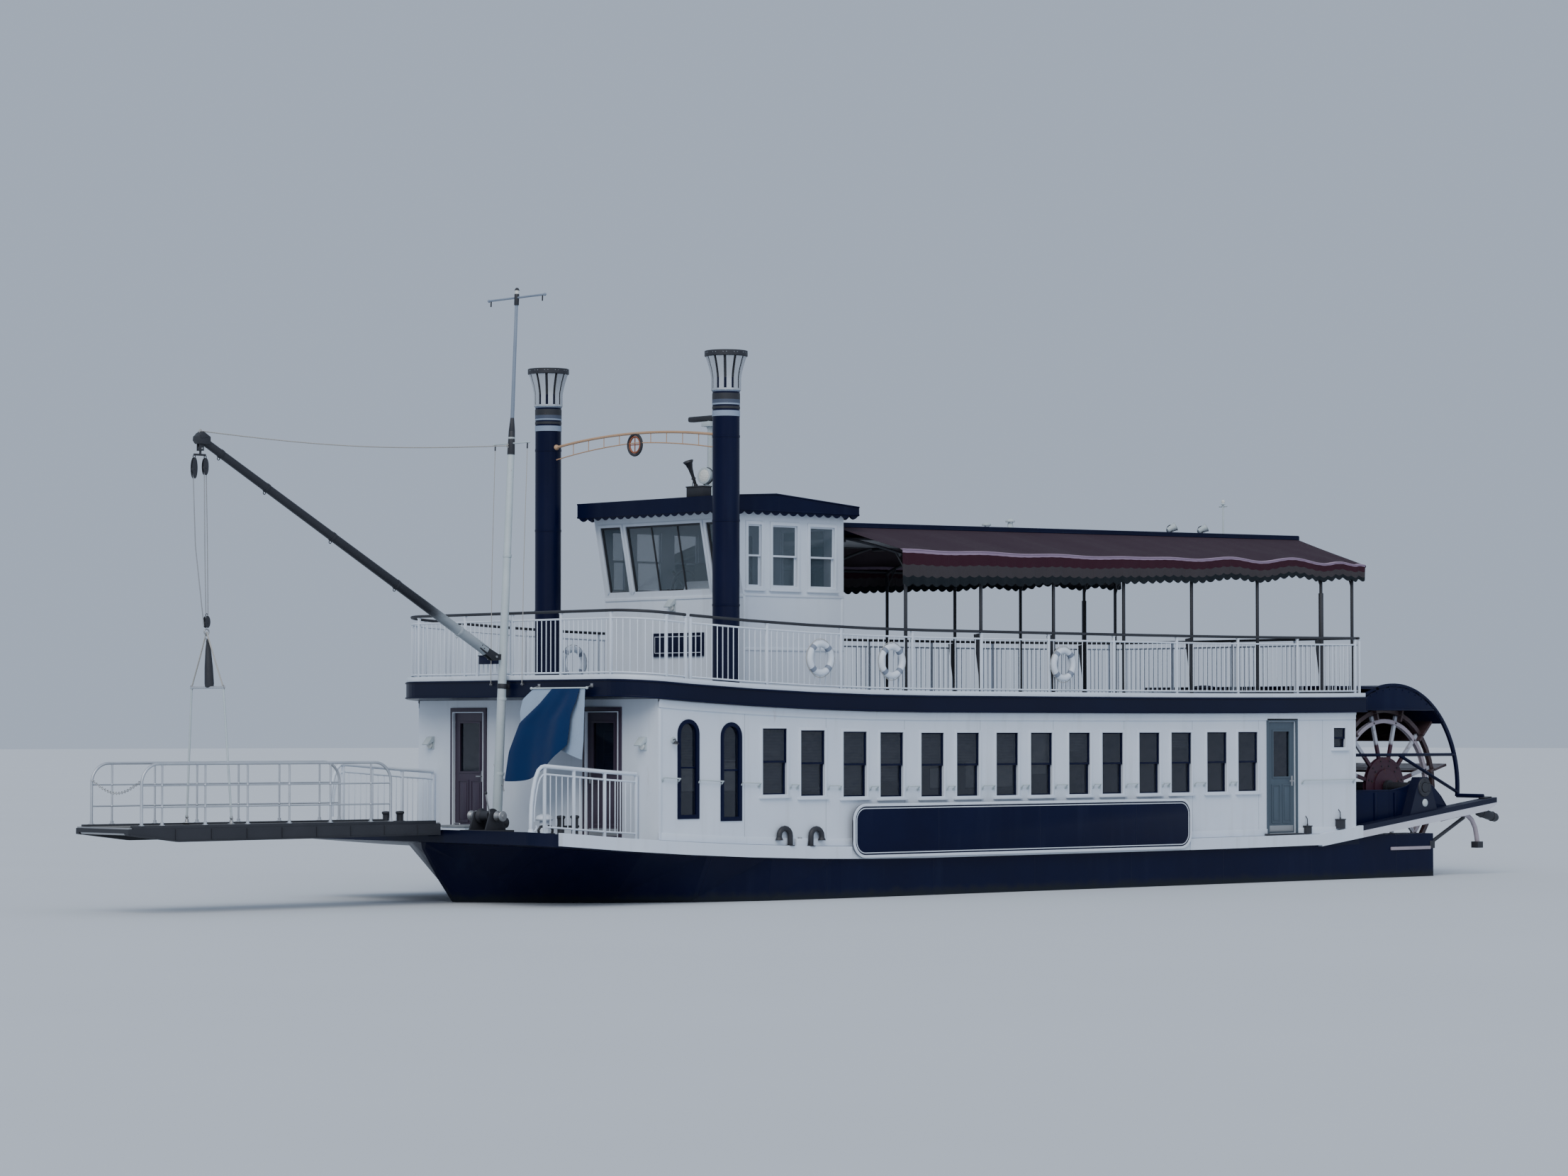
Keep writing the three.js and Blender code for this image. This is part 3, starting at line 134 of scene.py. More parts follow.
def settle():
    """Puts the active object's place, turn and size into its mesh."""
    bpy.ops.object.transform_apply(location=True, rotation=True, scale=True)
    return bpy.context.object


def edit(shape, *moves, faces=None, points=None):
    """Runs edit-mode moves on a shape: on all of it, or on the faces or points that a test picks.
    A move is an operator with its settings."""
    hold(shape)
    bpy.ops.object.mode_set(mode="EDIT")
    bpy.ops.mesh.select_mode(type="FACE" if faces else "VERT")
    bpy.ops.mesh.select_all(action="DESELECT" if faces or points else "SELECT")
    if faces or points:
        bpy.ops.object.mode_set(mode="OBJECT")
        for each in shape.data.polygons if faces else shape.data.vertices:
            each.select = bool((faces or points)(each))
        bpy.ops.object.mode_set(mode="EDIT")
    for operator, settings in moves:
        operator(**settings)
    bpy.ops.object.mode_set(mode="OBJECT")
    return shape


def pulled(by):
    """The move that extrudes what is selected by a vector."""
    return bpy.ops.mesh.extrude_region_move, {"TRANSFORM_OT_translate": {"value": Vector(by)}}


def facing_out(shape):
    return edit(
        shape,
        (bpy.ops.mesh.remove_doubles, {"threshold": 1e-5}),
        (bpy.ops.mesh.normals_make_consistent, {"inside": False}),
    )


# %% Blocks, bars and rings
def block(low, high):
    low, high = Vector(low), Vector(high)
    deselect()
    bpy.ops.mesh.primitive_cube_add(size=1, location=(low + high) / 2, scale=high - low)
    return settle()


def bar(start, end, radius, end_radius=None, sides=16):
    """A round bar between two points, or a cone where the two radii differ."""
    start, end = Vector(start), Vector(end)
    along = end - start
    deselect()
    bpy.ops.mesh.primitive_cone_add(
        vertices=sides,
        radius1=radius,
        radius2=radius if end_radius is None else end_radius,
        depth=along.length,
        location=(start + end) / 2,
        rotation=along.to_track_quat("Z", "Y").to_euler(),
    )
    return settle()


def ring(centre, axis, radius, thick, around=32, sides=10):
    deselect()
    bpy.ops.mesh.primitive_torus_add(
        location=centre,
        rotation=Vector(axis).to_track_quat("Z", "Y").to_euler(),
        major_radius=radius,
        minor_radius=thick,
        major_segments=around,
        minor_segments=sides,
    )
    return settle()


def ball(centre, size, rings=12):
    """A ball, or an egg where size is a radius for each direction."""
    scale = size if isinstance(size, tuple) else (size, size, size)
    deselect()
    bpy.ops.mesh.primitive_uv_sphere_add(
        segments=2 * rings, ring_count=rings, radius=1, location=centre, scale=scale
    )
    return settle()


# %% Lines drawn from point to point, and what is made from them
def chain(points, closed=False):
    """A chain of edges: a plane merged to one vertex, which is extruded from point to point."""
    points = [Vector(p) for p in points]
    deselect()
    bpy.ops.mesh.primitive_plane_add(size=0.01, location=points[0])
    steps = [pulled(after - before) for before, after in zip(points, points[1:])]
    line = edit(settle(), (bpy.ops.mesh.merge, {"type": "CENTER"}), *steps)
    if closed:
        ends = (0, len(points) - 1)
        edit(line, (bpy.ops.mesh.edge_face_add, {}), points=lambda point: point.index in ends)
    return line


def tube(points, radius, sides=8, closed=False):
    """A round tube along a line: the chain becomes a curve with a round section, and then a mesh."""
    hold(chain(points, closed))
    bpy.ops.object.convert(target="CURVE")
    curve = bpy.context.object.data
    curve.bevel_depth = radius
    curve.bevel_resolution = (sides - 4) // 2
    curve.use_fill_caps = not closed
    bpy.ops.object.convert(target="MESH")
    return facing_out(bpy.context.object)


def slab(outline, depth):
    """A flat outline filled with a face and extruded by the vector depth."""
    return facing_out(
        edit(chain(outline, closed=True), (bpy.ops.mesh.edge_face_add, {}), pulled(depth))
    )


def band(inner, outer, depth):
    """A flat frame between two outlines: both are drawn, bridged, and extruded by the vector depth."""
    shape = join([chain(outline, closed=True) for outline in (inner, outer)])
    return facing_out(edit(shape, (bpy.ops.mesh.bridge_edge_loops, {}), pulled(depth)))


def lathed(profile, foot, axis=UP, steps=40):
    """A profile of (radius, height) spun about an axis that starts at foot."""
    foot, axis = Vector(foot), Vector(axis).normalized()
    side = axis.orthogonal().normalized()
    line = chain([foot + side * r + axis * h for r, h in profile])
    spin = {"steps": steps, "angle": math.tau, "center": foot, "axis": axis}
    return facing_out(edit(line, (bpy.ops.mesh.spin, spin)))


def hollow_frame(low, high, border, across="y"):
    """A flat rectangular frame between two corners: one broad face of a block is kept and inset,
    its middle is taken out, and what is left is extruded to the frame's depth."""
    axis = "xyz".index(across)
    depth = Vector()
    depth[axis] = high[axis] - low[axis]
    select_all = (bpy.ops.mesh.select_all, {"action": "SELECT"})
    shape = edit(
        block(low, high),
        (bpy.ops.mesh.delete, {"type": "FACE"}),
        select_all,
        (bpy.ops.mesh.inset, {"thickness": border}),
        (bpy.ops.mesh.delete, {"type": "ONLY_FACE"}),
        select_all,
        pulled(depth),
        faces=lambda face: face.normal[axis] > -0.9,
    )
    return facing_out(shape)


# %% Copies, modifiers and mirror images
def finished_with(shape, kind, **settings):
    """Adds a modifier with its settings and applies it."""
    modifier = shape.modifiers.new(kind.title(), kind)
    for key, value in settings.items():
        setattr(modifier, key, value)
    hold(shape)
    bpy.ops.object.modifier_apply(modifier=modifier.name)
    return shape


def row(shape, count, step):
    return finished_with(
        shape,
        "ARRAY",
        count=count,
        use_relative_offset=False,
        use_constant_offset=True,
        constant_offset_displace=step,
    )


def copies(shape, moves):
    """Joins to the shape a copy of itself at each move, counted from the shape's own place."""
    places = [Vector(), *map(Vector, moves)]
    steps = [
        (bpy.ops.mesh.duplicate_move, {"TRANSFORM_OT_translate": {"value": after - before}})
        for before, after in zip(places, places[1:])
    ]
    return edit(shape, *steps)


def spun_copies(shape, count, centre, axis=UP):
    """Copies of a shape at even steps round an axis."""
    spin = {"steps": count, "dupli": True, "angle": math.tau, "center": centre, "axis": axis}
    return facing_out(edit(shape, (bpy.ops.mesh.spin, spin)))


def join(parts):
    hold(*parts)
    if len(parts) > 1:
        bpy.ops.object.join()
    return bpy.context.object


def lifted(shape):
    """Raises each vertex by the sheer at its place, so that a level piece follows the deck."""
    for vertex in shape.data.vertices:
        vertex.co.z += sheer(vertex.co.x)
    return shape


# %% Naming a piece and giving it to its body
SLOTS = [row["slot"] for row in frame["record"]["materials"]]


def coated(shape, finish):
    shape.data.materials.clear()
    shape.data.materials.append(finish)
    return shape


def all_in(finish, *parts):
    return [coated(part, finish) for part in parts]


def piece(name, parts, body="ship", finish=None, slot=None, stands_for=(), edge=0.0, smooth=35):
    """Joins parts into one named piece. edge is the width of its worn or rolled edges. Where the
    record has a slot with the name of the piece's finish, the piece takes that slot. The frame's own
    materials have those names too, so Blender adds a number to the finish's name."""
    whole = join(parts)
    whole.name = whole.data.name = name
    if finish:
        coated(whole, finish)
        paint_name = finish.name.split(".")[0]
        slot = slot or (paint_name if paint_name in SLOTS else None)
    if edge:
        limit = math.radians(40)
        finished_with(whole, "BEVEL", width=edge, segments=2, limit_method="ANGLE", angle_limit=limit)
    hold(whole)
    bpy.ops.object.shade_smooth_by_angle(angle=math.radians(smooth))
    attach(whole, body)
    if stands_for:
        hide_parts(*stands_for)
    print(f"{name}: {len(whole.data.polygons)} faces on {body}")
    return whole


def pair(name, parts, bodies=("ship", "ship"), stands_for=(), **settings):
    """A piece to port and its mirror image to starboard."""
    port = join(parts)
    bpy.ops.object.duplicate()
    starboard = bpy.context.object
    starboard.scale.y = -1
    starboard = facing_out(settle())
    made = []
    for side, shape, body in (("port", port, bodies[0]), ("starboard", starboard, bodies[1])):
        nodes = [node + "_" + side for node in stands_for]
        made.append(piece(f"{name}_{side}", [shape], body=body, stands_for=nodes, **settings))
    return made


print("tool box ready")

# %% [markdown]
# ## Camera, floor and light
# The photograph was taken from far off the port bow, level with the tops of the cabin windows. A
# perspective fit of the boat's straight lines gave that place: 70 m from the boat's middle and
# 2.7 m above the water. The camera stands there and looks at the boat. A longer lens than the
# photograph's lets the boat fill the picture, which changes its size in the frame and nothing in
# its perspective. The floor lies at the waterline, so what shows is what shows of a boat afloat.

# %% Camera
CAMERA = Vector((50.0, 51.57, 3.63))
AIM = Vector((2.95, 0, 6.05))
camera_data = bpy.data.cameras.new("camera")
camera_data.lens = 94
camera_data.sensor_width = 36
camera_data.clip_end = 2000
camera = bpy.data.objects.new("camera", camera_data)
camera.location = CAMERA
camera.rotation_euler = (AIM - CAMERA).to_track_quat("-Z", "Y").to_euler()
bpy.context.scene.collection.objects.link(camera)
bpy.context.scene.camera = camera
print("camera", round((AIM - CAMERA).length, 1), "m from the middle of the boat")

# %% Floor
deselect()
bpy.ops.mesh.primitive_plane_add(size=900, location=(0, 0, WATERLINE))
floor = settle()
floor.name = "floor"
print("floor at the waterline, z", WATERLINE)

# %% [markdown]
# The sky in the photograph is an even, cool overcast with a brighter part behind the camera and to
# its left. A pale world gives the even part. A very wide sun gives the brighter one, and a second,
# weaker sun lights the port side. At these widths they cast only soft shadows, under the deck's
# overhang and the awnings, as thick cloud does.

# %% Light
world = bpy.data.worlds.new("overcast")
bpy.context.scene.world = world
world.use_nodes = True
sky = world.node_tree.nodes["Background"].inputs
sky["Color"].default_value = (0.68, 0.80, 1.0, 1)
sky["Strength"].default_value = 0.62


def sun(name, toward, strength, width, colour):
    light = bpy.data.lights.new(name, "SUN")
    light.energy, light.angle, light.color = strength, math.radians(width), colour
    lamp = bpy.data.objects.new(name, light)
    lamp.rotation_euler = Vector(toward).to_track_quat("-Z", "Y").to_euler()
    bpy.context.scene.collection.objects.link(lamp)


sun("cloud_break", (-0.75, -0.45, -0.8), 1.7, 40, (1.0, 0.97, 0.93))
sun("sky_fill", (-0.1, -1.0, -0.55), 0.5, 60, (0.82, 0.88, 1.0))
print("two soft suns and a pale world")

# %% [markdown]
# ## A way to write finishes
# A finish is a node tree, and a node tree is arithmetic: a mask times a noise, a mix of two paints.
# So a wire of the tree is wrapped in a small class whose operators add the Math node that they
# stand for. Then a finish reads as a formula, and 1 - mask means what it says. Colours go through
# Mix nodes, because a Math node would turn them grey.


# %% Wires that can be added and multiplied
class Wire:
    """An output of a node. Sums on it add Math nodes to the finish that it belongs to."""

    def __init__(self, finish, socket):
        self.finish, self.socket = finish, socket

    def math(self, operation, *values):
        return self.finish.node("Math", {"operation": operation}, dict(enumerate(values)))

    def __add__(self, other):
        return self.math("ADD", self, other)

    def __sub__(self, other):
        return self.math("SUBTRACT", self, other)

    def __rsub__(self, other):
        return self.math("SUBTRACT", other, self)

    def __mul__(self, other):
        return self.math("MULTIPLY", self, other)

    def __pow__(self, other):
        return self.math("POWER", self, other)

    __radd__, __rmul__ = __add__, __mul__


# %% Finishes and the patterns that they share
class Finish:
    """A material, with its shader and the patterns that feed it. All lengths are in metres."""

    def __init__(self, name, **sockets):
        self.material = bpy.data.materials.new(name)
        self.material.use_nodes = True
        self.tree = self.material.node_tree
        self.shader = self.tree.nodes["Principled BSDF"]
        self.place = self.node("TexCoord", output="Object")
        self.set(**sockets)

    def feed(self, node, inputs):
        """Links wires to sockets and sets the others. A colour is given as red, green and blue."""
        for key, value in inputs.items():
            socket = node.inputs[key]
            if isinstance(value, Wire):
                self.tree.links.new(value.socket, socket)
            else:
                socket.default_value = (*value, 1) if socket.type == "RGBA" else value

    def node(self, kind, settings=None, inputs=None, output=0):
        """Adds a node: its type, its settings, and the values or wires of its sockets."""
        made = self.tree.nodes.new("ShaderNode" + kind)
        for key, value in (settings or {}).items():
            setattr(made, key, value)
        self.feed(made, inputs or {})
        return Wire(self, made.outputs[output])

    def set(self, **sockets):
        """Feeds the shader. Base_Color stands for its Base Color socket."""
        self.feed(self.shader, {key.replace("_", " "): value for key, value in sockets.items()})
        return self

    def along(self, axis):
        return self.node("SeparateXYZ", {}, {"Vector": self.place}, axis)

    def noise(self, scale, stretch=(1, 1, 1), detail=4, roughness=0.55):
        """Cloudy values about 0.5. Scale counts the clouds in a metre, and a small stretch makes
        them long in its direction."""
        drawn = self.node("VectorMath", {"operation": "MULTIPLY"}, {0: self.place, 1: stretch})
        inputs = {"Vector": drawn, "Scale": scale, "Detail": detail, "Roughness": roughness}
        return self.node("TexNoise", {}, inputs, "Fac")

    def ramp(self, value, low, high):
        """0 where the value is at low, 1 where it is at high, and smooth between them."""
        inputs = {"Value": value, "From Min": low, "From Max": high}
        return self.node("MapRange", {"interpolation_type": "SMOOTHSTEP"}, inputs)

    def lines(self, value, pitch, wide, shift=0.0):
        """1 on thin lines that repeat at a pitch, and 0 between them."""
        away = (value + (shift + pitch / 2)).math("WRAP", value + (shift + pitch / 2), pitch, 0.0)
        return self.ramp((away - pitch / 2).math("ABSOLUTE", away - pitch / 2), wide, wide * 0.4)

    def mix(self, share, first, second):
        inputs = {0: share, 6: first, 7: second}
        return self.node("Mix", {"data_type": "RGBA"}, inputs, 2)

    def upward(self):
        """1 on faces that look up: where dust settles, and where canvas gets a painted highlight from the
        sky.
        """
        normal = self.node("NewGeometry", output="Normal")
        return self.ramp(self.node("SeparateXYZ", {}, {"Vector": normal}, 2), 0.55, 0.95)

    def relief(self, height, depth, strength=1.0):
        """Bump whose height of 0 to 1 stands for this depth in metres."""
        inputs = {"Height": height, "Distance": depth, "Strength": strength}
        return self.set(Normal=self.node("Bump", {}, inputs))


print("finish tools ready")

# %% [markdown]
# ## The floor's finish
# The studio floor is pale and dull, with a faint unevenness so that it doesn't look like nothing.

# %% Floor finish
floor_finish = Finish("floor", Base_Color=(0.62, 0.66, 0.70), Roughness=0.8)
tone = floor_finish.noise(0.15)
floor_finish.set(Base_Color=floor_finish.mix(tone, (0.60, 0.64, 0.68), (0.64, 0.68, 0.72)))
coated(floor, floor_finish.material)

# %% [markdown]
# ## Navy paint
# Hull, fascias, roofs and stacks wear one dark navy gloss. On a working boat it is never even: it
# chalks where it looks up at the sky, rain draws faint streaks down it, and near the water there is
# a dull film with a splash line. Below the water the hull has dark red bottom paint. All of that
# follows from where a point is, so one formula of height and normal serves every navy piece.


# %% Navy paint
def navy_paint():
    paint = Finish("navy_paint", Specular_IOR_Level=0.14)
    height = paint.along(2)
    cloudy = paint.noise(0.9, detail=6)
    streaks = paint.ramp(paint.noise(3.0, (1, 1, 0.12)), 0.5, 0.8)
    colour = paint.mix(cloudy, (0.0008, 0.0018, 0.016), (0.002, 0.005, 0.034))
    colour = paint.mix(streaks * 0.12, colour, (0.03, 0.04, 0.08))
    dusty = paint.upward() * paint.ramp(cloudy, 0.25, 0.75)
    colour = paint.mix(dusty * 0.3, colour, (0.08, 0.10, 0.14))
    splash = paint.ramp(height + paint.noise(6.0) * 0.16, WATERLINE + 0.26, WATERLINE + 0.10)
    colour = paint.mix(splash * 0.6, colour, (0.020, 0.024, 0.020))
    bottom = paint.ramp(height, WATERLINE - 0.03, WATERLINE - 0.05)
    colour = paint.mix(bottom, colour, (0.085, 0.014, 0.012))
    plates = paint.lines(paint.along(0), 2.4, 0.012)
    paint.set(Base_Color=colour, Roughness=cloudy * 0.22 + 0.26 + splash * 0.3 + dusty * 0.15)
    paint.relief(
        paint.noise(1.6, detail=2) * 0.5 + paint.noise(60, detail=2) * 0.06 + plates * 0.25, 0.01
    )
    return paint.material


navy = navy_paint()
print("navy paint ready")

# %% [markdown]
# ## White paint
# The cabin, rails and guards are white paint. Its cool blue tone is painted light: the blue of the
# skylight in shade. Its age shows as faint grey streaks under edges and a little rust that bleeds
# from fastenings. A darker band near the deck is painted shade at the foot of the wall. The cabin
# sides are sheets with thin seams between the window pairs, so the same paint is also made with seams.


# %% White paint, plain and with seams
def white_paint(name, seams=None):
    paint = Finish(name, Specular_IOR_Level=0.4)
    cloudy = paint.noise(1.3, detail=6)
    # The cool blue tone is painted light: the blue of the skylight in shade.
    colour = paint.mix(cloudy, (0.60, 0.67, 0.77), (0.74, 0.79, 0.85))
    streaks = paint.ramp(paint.noise(5.0, (1, 1, 0.09), detail=5), 0.52, 0.78)
    colour = paint.mix(streaks * 0.28, colour, (0.44, 0.47, 0.48))
    rust = paint.ramp(paint.noise(2.2, (1, 1, 0.18), detail=7, roughness=0.7), 0.66, 0.74)
    colour = paint.mix(rust * 0.35, colour, (0.30, 0.17, 0.09))
    height = paint.noise(1.1, detail=2) * 0.4 + paint.noise(90, detail=2) * 0.04
    if seams:
        pitch, shift = seams
        seam = paint.lines(paint.along(0), pitch, 0.010, shift)
        colour = paint.mix(seam * 0.55, colour, (0.36, 0.39, 0.43))
        # Painted shade: darker towards the deck, at the foot of the wall.
        low = paint.ramp(paint.along(2) + cloudy * 0.25, DECK + 0.35, DECK + 0.12)
        colour = paint.mix(low * 0.3, colour, (0.40, 0.42, 0.42))
        height = height + (1 - seam) * 0.3
    paint.set(Base_Color=colour, Roughness=cloudy * 0.2 + 0.32 + streaks * 0.15)
    paint.relief(height, 0.008)
    return paint.material


WINDOW_PITCH = 1.765
white = white_paint("white_paint")
white_seamed = white_paint("white_seamed_paint", (WINDOW_PITCH, 0.47))
print("white paints ready")

# %% [markdown]
# ## Deck paint, and satin paints for ironwork
# Deck paint holds grit for grip, which shows as a fine rough grain and as paler paths where people
# walk. Ironwork is black, silver or pale grey, with dust on it and chips along it that show primer.


# %% Deck paint
def deck_paint():
    paint = Finish("deck_paint", Specular_IOR_Level=0.35)
    grit = paint.noise(240, detail=2)
    worn = paint.ramp(paint.noise(0.8, (0.5, 1.6, 1), detail=5), 0.42, 0.7)
    colour = paint.mix(worn, (0.17, 0.19, 0.21), (0.29, 0.31, 0.33))
    colour = paint.mix(grit * 0.25, colour, (0.10, 0.11, 0.12))
    paint.set(Base_Color=colour, Roughness=grit * 0.15 + 0.68)
    paint.relief(grit, 0.002)
    return paint.material


def iron_paint(name, dark, light, chip, roughness=0.42, metallic=0.0):
    """Satin paint from a dark to a light tone, with small chips of another colour."""
    paint = Finish(name, Metallic=metallic)
    cloudy = paint.noise(2.5, detail=6)
    chips = paint.ramp(paint.noise(26, detail=6, roughness=0.65), 0.66, 0.71)
    colour = paint.mix(cloudy, dark, light)
    colour = paint.mix(chips * 0.6, colour, chip)
    paint.set(Base_Color=colour, Roughness=cloudy * 0.25 + roughness + chips * 0.2)
    paint.relief(paint.noise(130, detail=2) * 0.3 + (1 - chips) * 0.4, 0.002)
    return paint.material


deck_grey = deck_paint()
black = iron_paint("black_paint", (0.010, 0.011, 0.016), (0.030, 0.032, 0.040), (0.09, 0.06, 0.05))
silver = iron_paint(
    "silver_paint", (0.40, 0.43, 0.47), (0.60, 0.63, 0.67), (0.22, 0.18, 0.15), 0.3, 0.55
)
pole = iron_paint("pole_paint", (0.38, 0.45, 0.47), (0.56, 0.62, 0.64), (0.25, 0.17, 0.12))
topmast_blue = iron_paint(
    "topmast_paint", (0.16, 0.20, 0.27), (0.25, 0.30, 0.37), (0.4, 0.4, 0.4)
)
arch_ochre = iron_paint("arch_paint", (0.42, 0.25, 0.14), (0.56, 0.36, 0.22), (0.7, 0.66, 0.6))
ring_rust = iron_paint("ring_paint", (0.20, 0.055, 0.02), (0.32, 0.10, 0.04), (0.02, 0.02, 0.03))
steel = iron_paint("bare_steel", (0.32, 0.33, 0.34), (0.5, 0.5, 0.5), (0.2, 0.12, 0.08), 0.35, 0.9)
print("deck and iron paints ready")

# %% [markdown]
# ## Wood, canvas and glass
# The paddle boards are wet planks in dark paint, so their grain runs along the board and they shine
# where the water stays. The doors are panelled wood under dark brown or grey-green paint. Canvas has
# a weave that is too fine for modelling, and seams where its widths are sewn together. Cabin glass
# looks nearly black from outside, because the room behind it is dark. The pilothouse has glass on
# all sides, so light comes through it.


# %% Wood
def planks():
    paint = Finish("paddle_wood", Specular_IOR_Level=0.6)
    grain = paint.noise(14, (1, 0.06, 1), detail=8, roughness=0.7)
    colour = paint.mix(grain, (0.012, 0.008, 0.014), (0.075, 0.036, 0.036))
    worn = paint.ramp(paint.noise(3.0, (1, 0.3, 1), detail=6), 0.6, 0.75)
    colour = paint.mix(worn * 0.35, colour, (0.16, 0.11, 0.10))
    wet = paint.ramp(paint.noise(1.8, detail=4), 0.4, 0.6)
    paint.set(Base_Color=colour, Roughness=0.62 - wet * 0.34 + grain * 0.15)
    paint.relief(grain, 0.006)
    return paint.material


def door_paint(name, dark, light):
    paint = Finish(name)
    grain = paint.noise(18, (1, 1, 0.07), detail=7, roughness=0.65)
    paint.set(Base_Color=paint.mix(grain, dark, light), Roughness=grain * 0.2 + 0.35)
    paint.relief(grain, 0.002)
    return paint.material


board_wood = planks()
door_brown = door_paint("door_paint", (0.022, 0.016, 0.040), (0.060, 0.040, 0.062))
door_teal = door_paint("teal_door_paint", (0.040, 0.064, 0.088), (0.072, 0.100, 0.128))


# %% Canvas
def canvas(name, deep, faded_and_lit, seam_pitch=1.176, sky_fade_and_highlight=1.0):
    """Woven cloth: threads both ways, sewn seams across it, and a paler top: sun fading and painted sky
    highlight.
    """
    cloth = Finish(name, Specular_IOR_Level=0.12, Sheen_Weight=0.05, Sheen_Roughness=0.5)
    warp = cloth.lines(cloth.along(0), 0.004, 0.0014)
    weft = cloth.lines(cloth.along(1) + cloth.along(2), 0.004, 0.0014)
    seam = cloth.lines(cloth.along(0), seam_pitch, 0.012, 0.3)
    stained = cloth.noise(2.2, detail=6)
    # Faces that look up go paler: partly sun fading, partly a painted highlight from the sky.
    colour = cloth.mix(cloth.upward() * 0.55 * sky_fade_and_highlight + stained * 0.35, deep, faded_and_lit)
    colour = cloth.mix(seam * 0.4, colour, deep)
    cloth.set(Base_Color=colour, Roughness=stained * 0.15 + 0.74)
    cloth.relief(warp * 0.2 + weft * 0.2 + seam + cloth.noise(7, detail=3) * 1.5, 0.003)
    return cloth.material


maroon = canvas("maroon_canvas", (0.022, 0.005, 0.012), (0.034, 0.016, 0.030))
valance_maroon = canvas("valance_canvas", (0.034, 0.006, 0.016), (0.060, 0.018, 0.030))
# The grey band and the near-black hem are painted shade: the shadowed far valance, and the shade under the
# scallop folds.
valance_shade_grey = canvas("valance_grey_canvas", (0.045, 0.038, 0.042), (0.080, 0.070, 0.074))
hem_shade_dark = canvas("hem_canvas", (0.006, 0.010, 0.014), (0.016, 0.022, 0.028))
# The binding's pale pink is also a painted highlight, the sky's sheen along the awning's bend.
binding_highlight_pink = canvas("binding_canvas", (0.30, 0.21, 0.30), (0.46, 0.36, 0.45), sky_fade_and_highlight=0.6)
flag_blue = canvas("flag_blue_cloth", (0.003, 0.022, 0.09), (0.006, 0.052, 0.16), 2.0)
flag_pale = canvas("flag_pale_cloth", (0.34, 0.46, 0.62), (0.62, 0.68, 0.76), 2.0)


# %% Glass, blinds and small things
def glass(name, tint, alpha, roughness=0.06):
    pane = Finish(name, Specular_IOR_Level=0.7, Coat_Weight=0.3)
    ripple = pane.noise(3.0, detail=2)
    pane.set(Base_Color=tint, Roughness=ripple * 0.08 + roughness, Alpha=alpha)
    pane.relief(ripple, 0.004)
    return pane.material


def slats():
    """A roller or slatted blind, seen through the window."""
    blind = Finish("window_blind")
    slat = blind.lines(blind.along(2), 0.05, 0.016)
    tone = blind.noise(1.5)
    colour = blind.mix(tone, (0.34, 0.38, 0.42), (0.50, 0.54, 0.58))
    blind.set(Base_Color=blind.mix(slat * 0.35, colour, (0.16, 0.18, 0.21)), Roughness=0.7)
    blind.relief(1 - slat, 0.004)
    return blind.material


cabin_glass = glass("cabin_glass", (0.008, 0.011, 0.022), 0.62)
clear_glass = glass("clear_glass", (0.10, 0.14, 0.17), 0.35)
blind_grey = slats()
rope_white = canvas("rope", (0.42, 0.41, 0.38), (0.62, 0.60, 0.56), 0.05)
ring_band = iron_paint("ring_band", (0.16, 0.19, 0.25), (0.24, 0.28, 0.35), (0.6, 0.6, 0.6), 0.5)
lamp_glass = Finish("lamp_glass", Base_Color=(0.75, 0.76, 0.72), Roughness=0.25)
lamp_glass.relief(lamp_glass.lines(lamp_glass.along(2), 0.02, 0.006), 0.002)
lamp_lens = lamp_glass.material
print(len(bpy.data.materials), "finishes ready")

# %% [markdown]
# ## Painting the frame
# Plates, walls, roofs and beams of the frame already have their real shape, so they keep it and get
# paint. The two decks are navy on their edges and grey where people walk, which one finish does by
# the way a face looks. The wheel's spokes are dark red at the hub and white towards the rims.


# %% Two-tone finishes for decks and spokes
def walked_on(name, edge_colour, floor_colour):
    """Grey non-slip paint on the faces that look up, and the edge colour on the others."""
    paint = Finish(name, Specular_IOR_Level=0.2)
    up = paint.upward()
    worn = paint.ramp(paint.noise(0.8, (0.5, 1.6, 1), detail=5), 0.42, 0.7)
    cloudy = paint.noise(0.9, detail=6)
    floor_tone = paint.mix(worn, floor_colour, (0.29, 0.31, 0.33))
    edge_tone = paint.mix(cloudy, edge_colour, (0.002, 0.005, 0.028))
    paint.set(Base_Color=paint.mix(up, edge_tone, floor_tone), Roughness=up * 0.38 + 0.34)
    paint.relief(paint.noise(240, detail=2) * up + cloudy * 0.6, 0.003)
    return paint.material


WHEEL_X, WHEEL_Z = -10.4, 2.56  # the paddle wheel's shaft


def wheel_paint(name):
    """Dark red near the hub, white further out, worn and rusty, and near black from about 1.37 m out."""
    paint = Finish(name, Specular_IOR_Level=0.5)
    away_x = paint.along(0) - WHEEL_X
    away_z = paint.along(2) - WHEEL_Z
    distance = (away_x * away_x + away_z * away_z) ** 0.5
    cloudy = paint.noise(2.4, detail=6)
    red = paint.mix(cloudy, (0.026, 0.008, 0.020), (0.070, 0.016, 0.034))
    outer = paint.mix(cloudy, (0.36, 0.38, 0.44), (0.55, 0.56, 0.62))
    colour = paint.mix(paint.ramp(distance, 0.80, 0.86), red, outer)
    colour = paint.mix(paint.ramp(distance, 1.34, 1.39), colour, (0.010, 0.010, 0.022))
    rust = paint.ramp(paint.noise(7, detail=7, roughness=0.7), 0.56, 0.7)
    colour = paint.mix(rust * 0.6, colour, (0.13, 0.05, 0.025))
    paint.set(Base_Color=colour, Roughness=cloudy * 0.3 + 0.35)
    paint.relief(rust, 0.004)
    return paint.material


deck_navy = walked_on("main_deck_paint", (0.0008, 0.0018, 0.014), (0.17, 0.19, 0.21))
spoke_paint = wheel_paint("wheel_red")

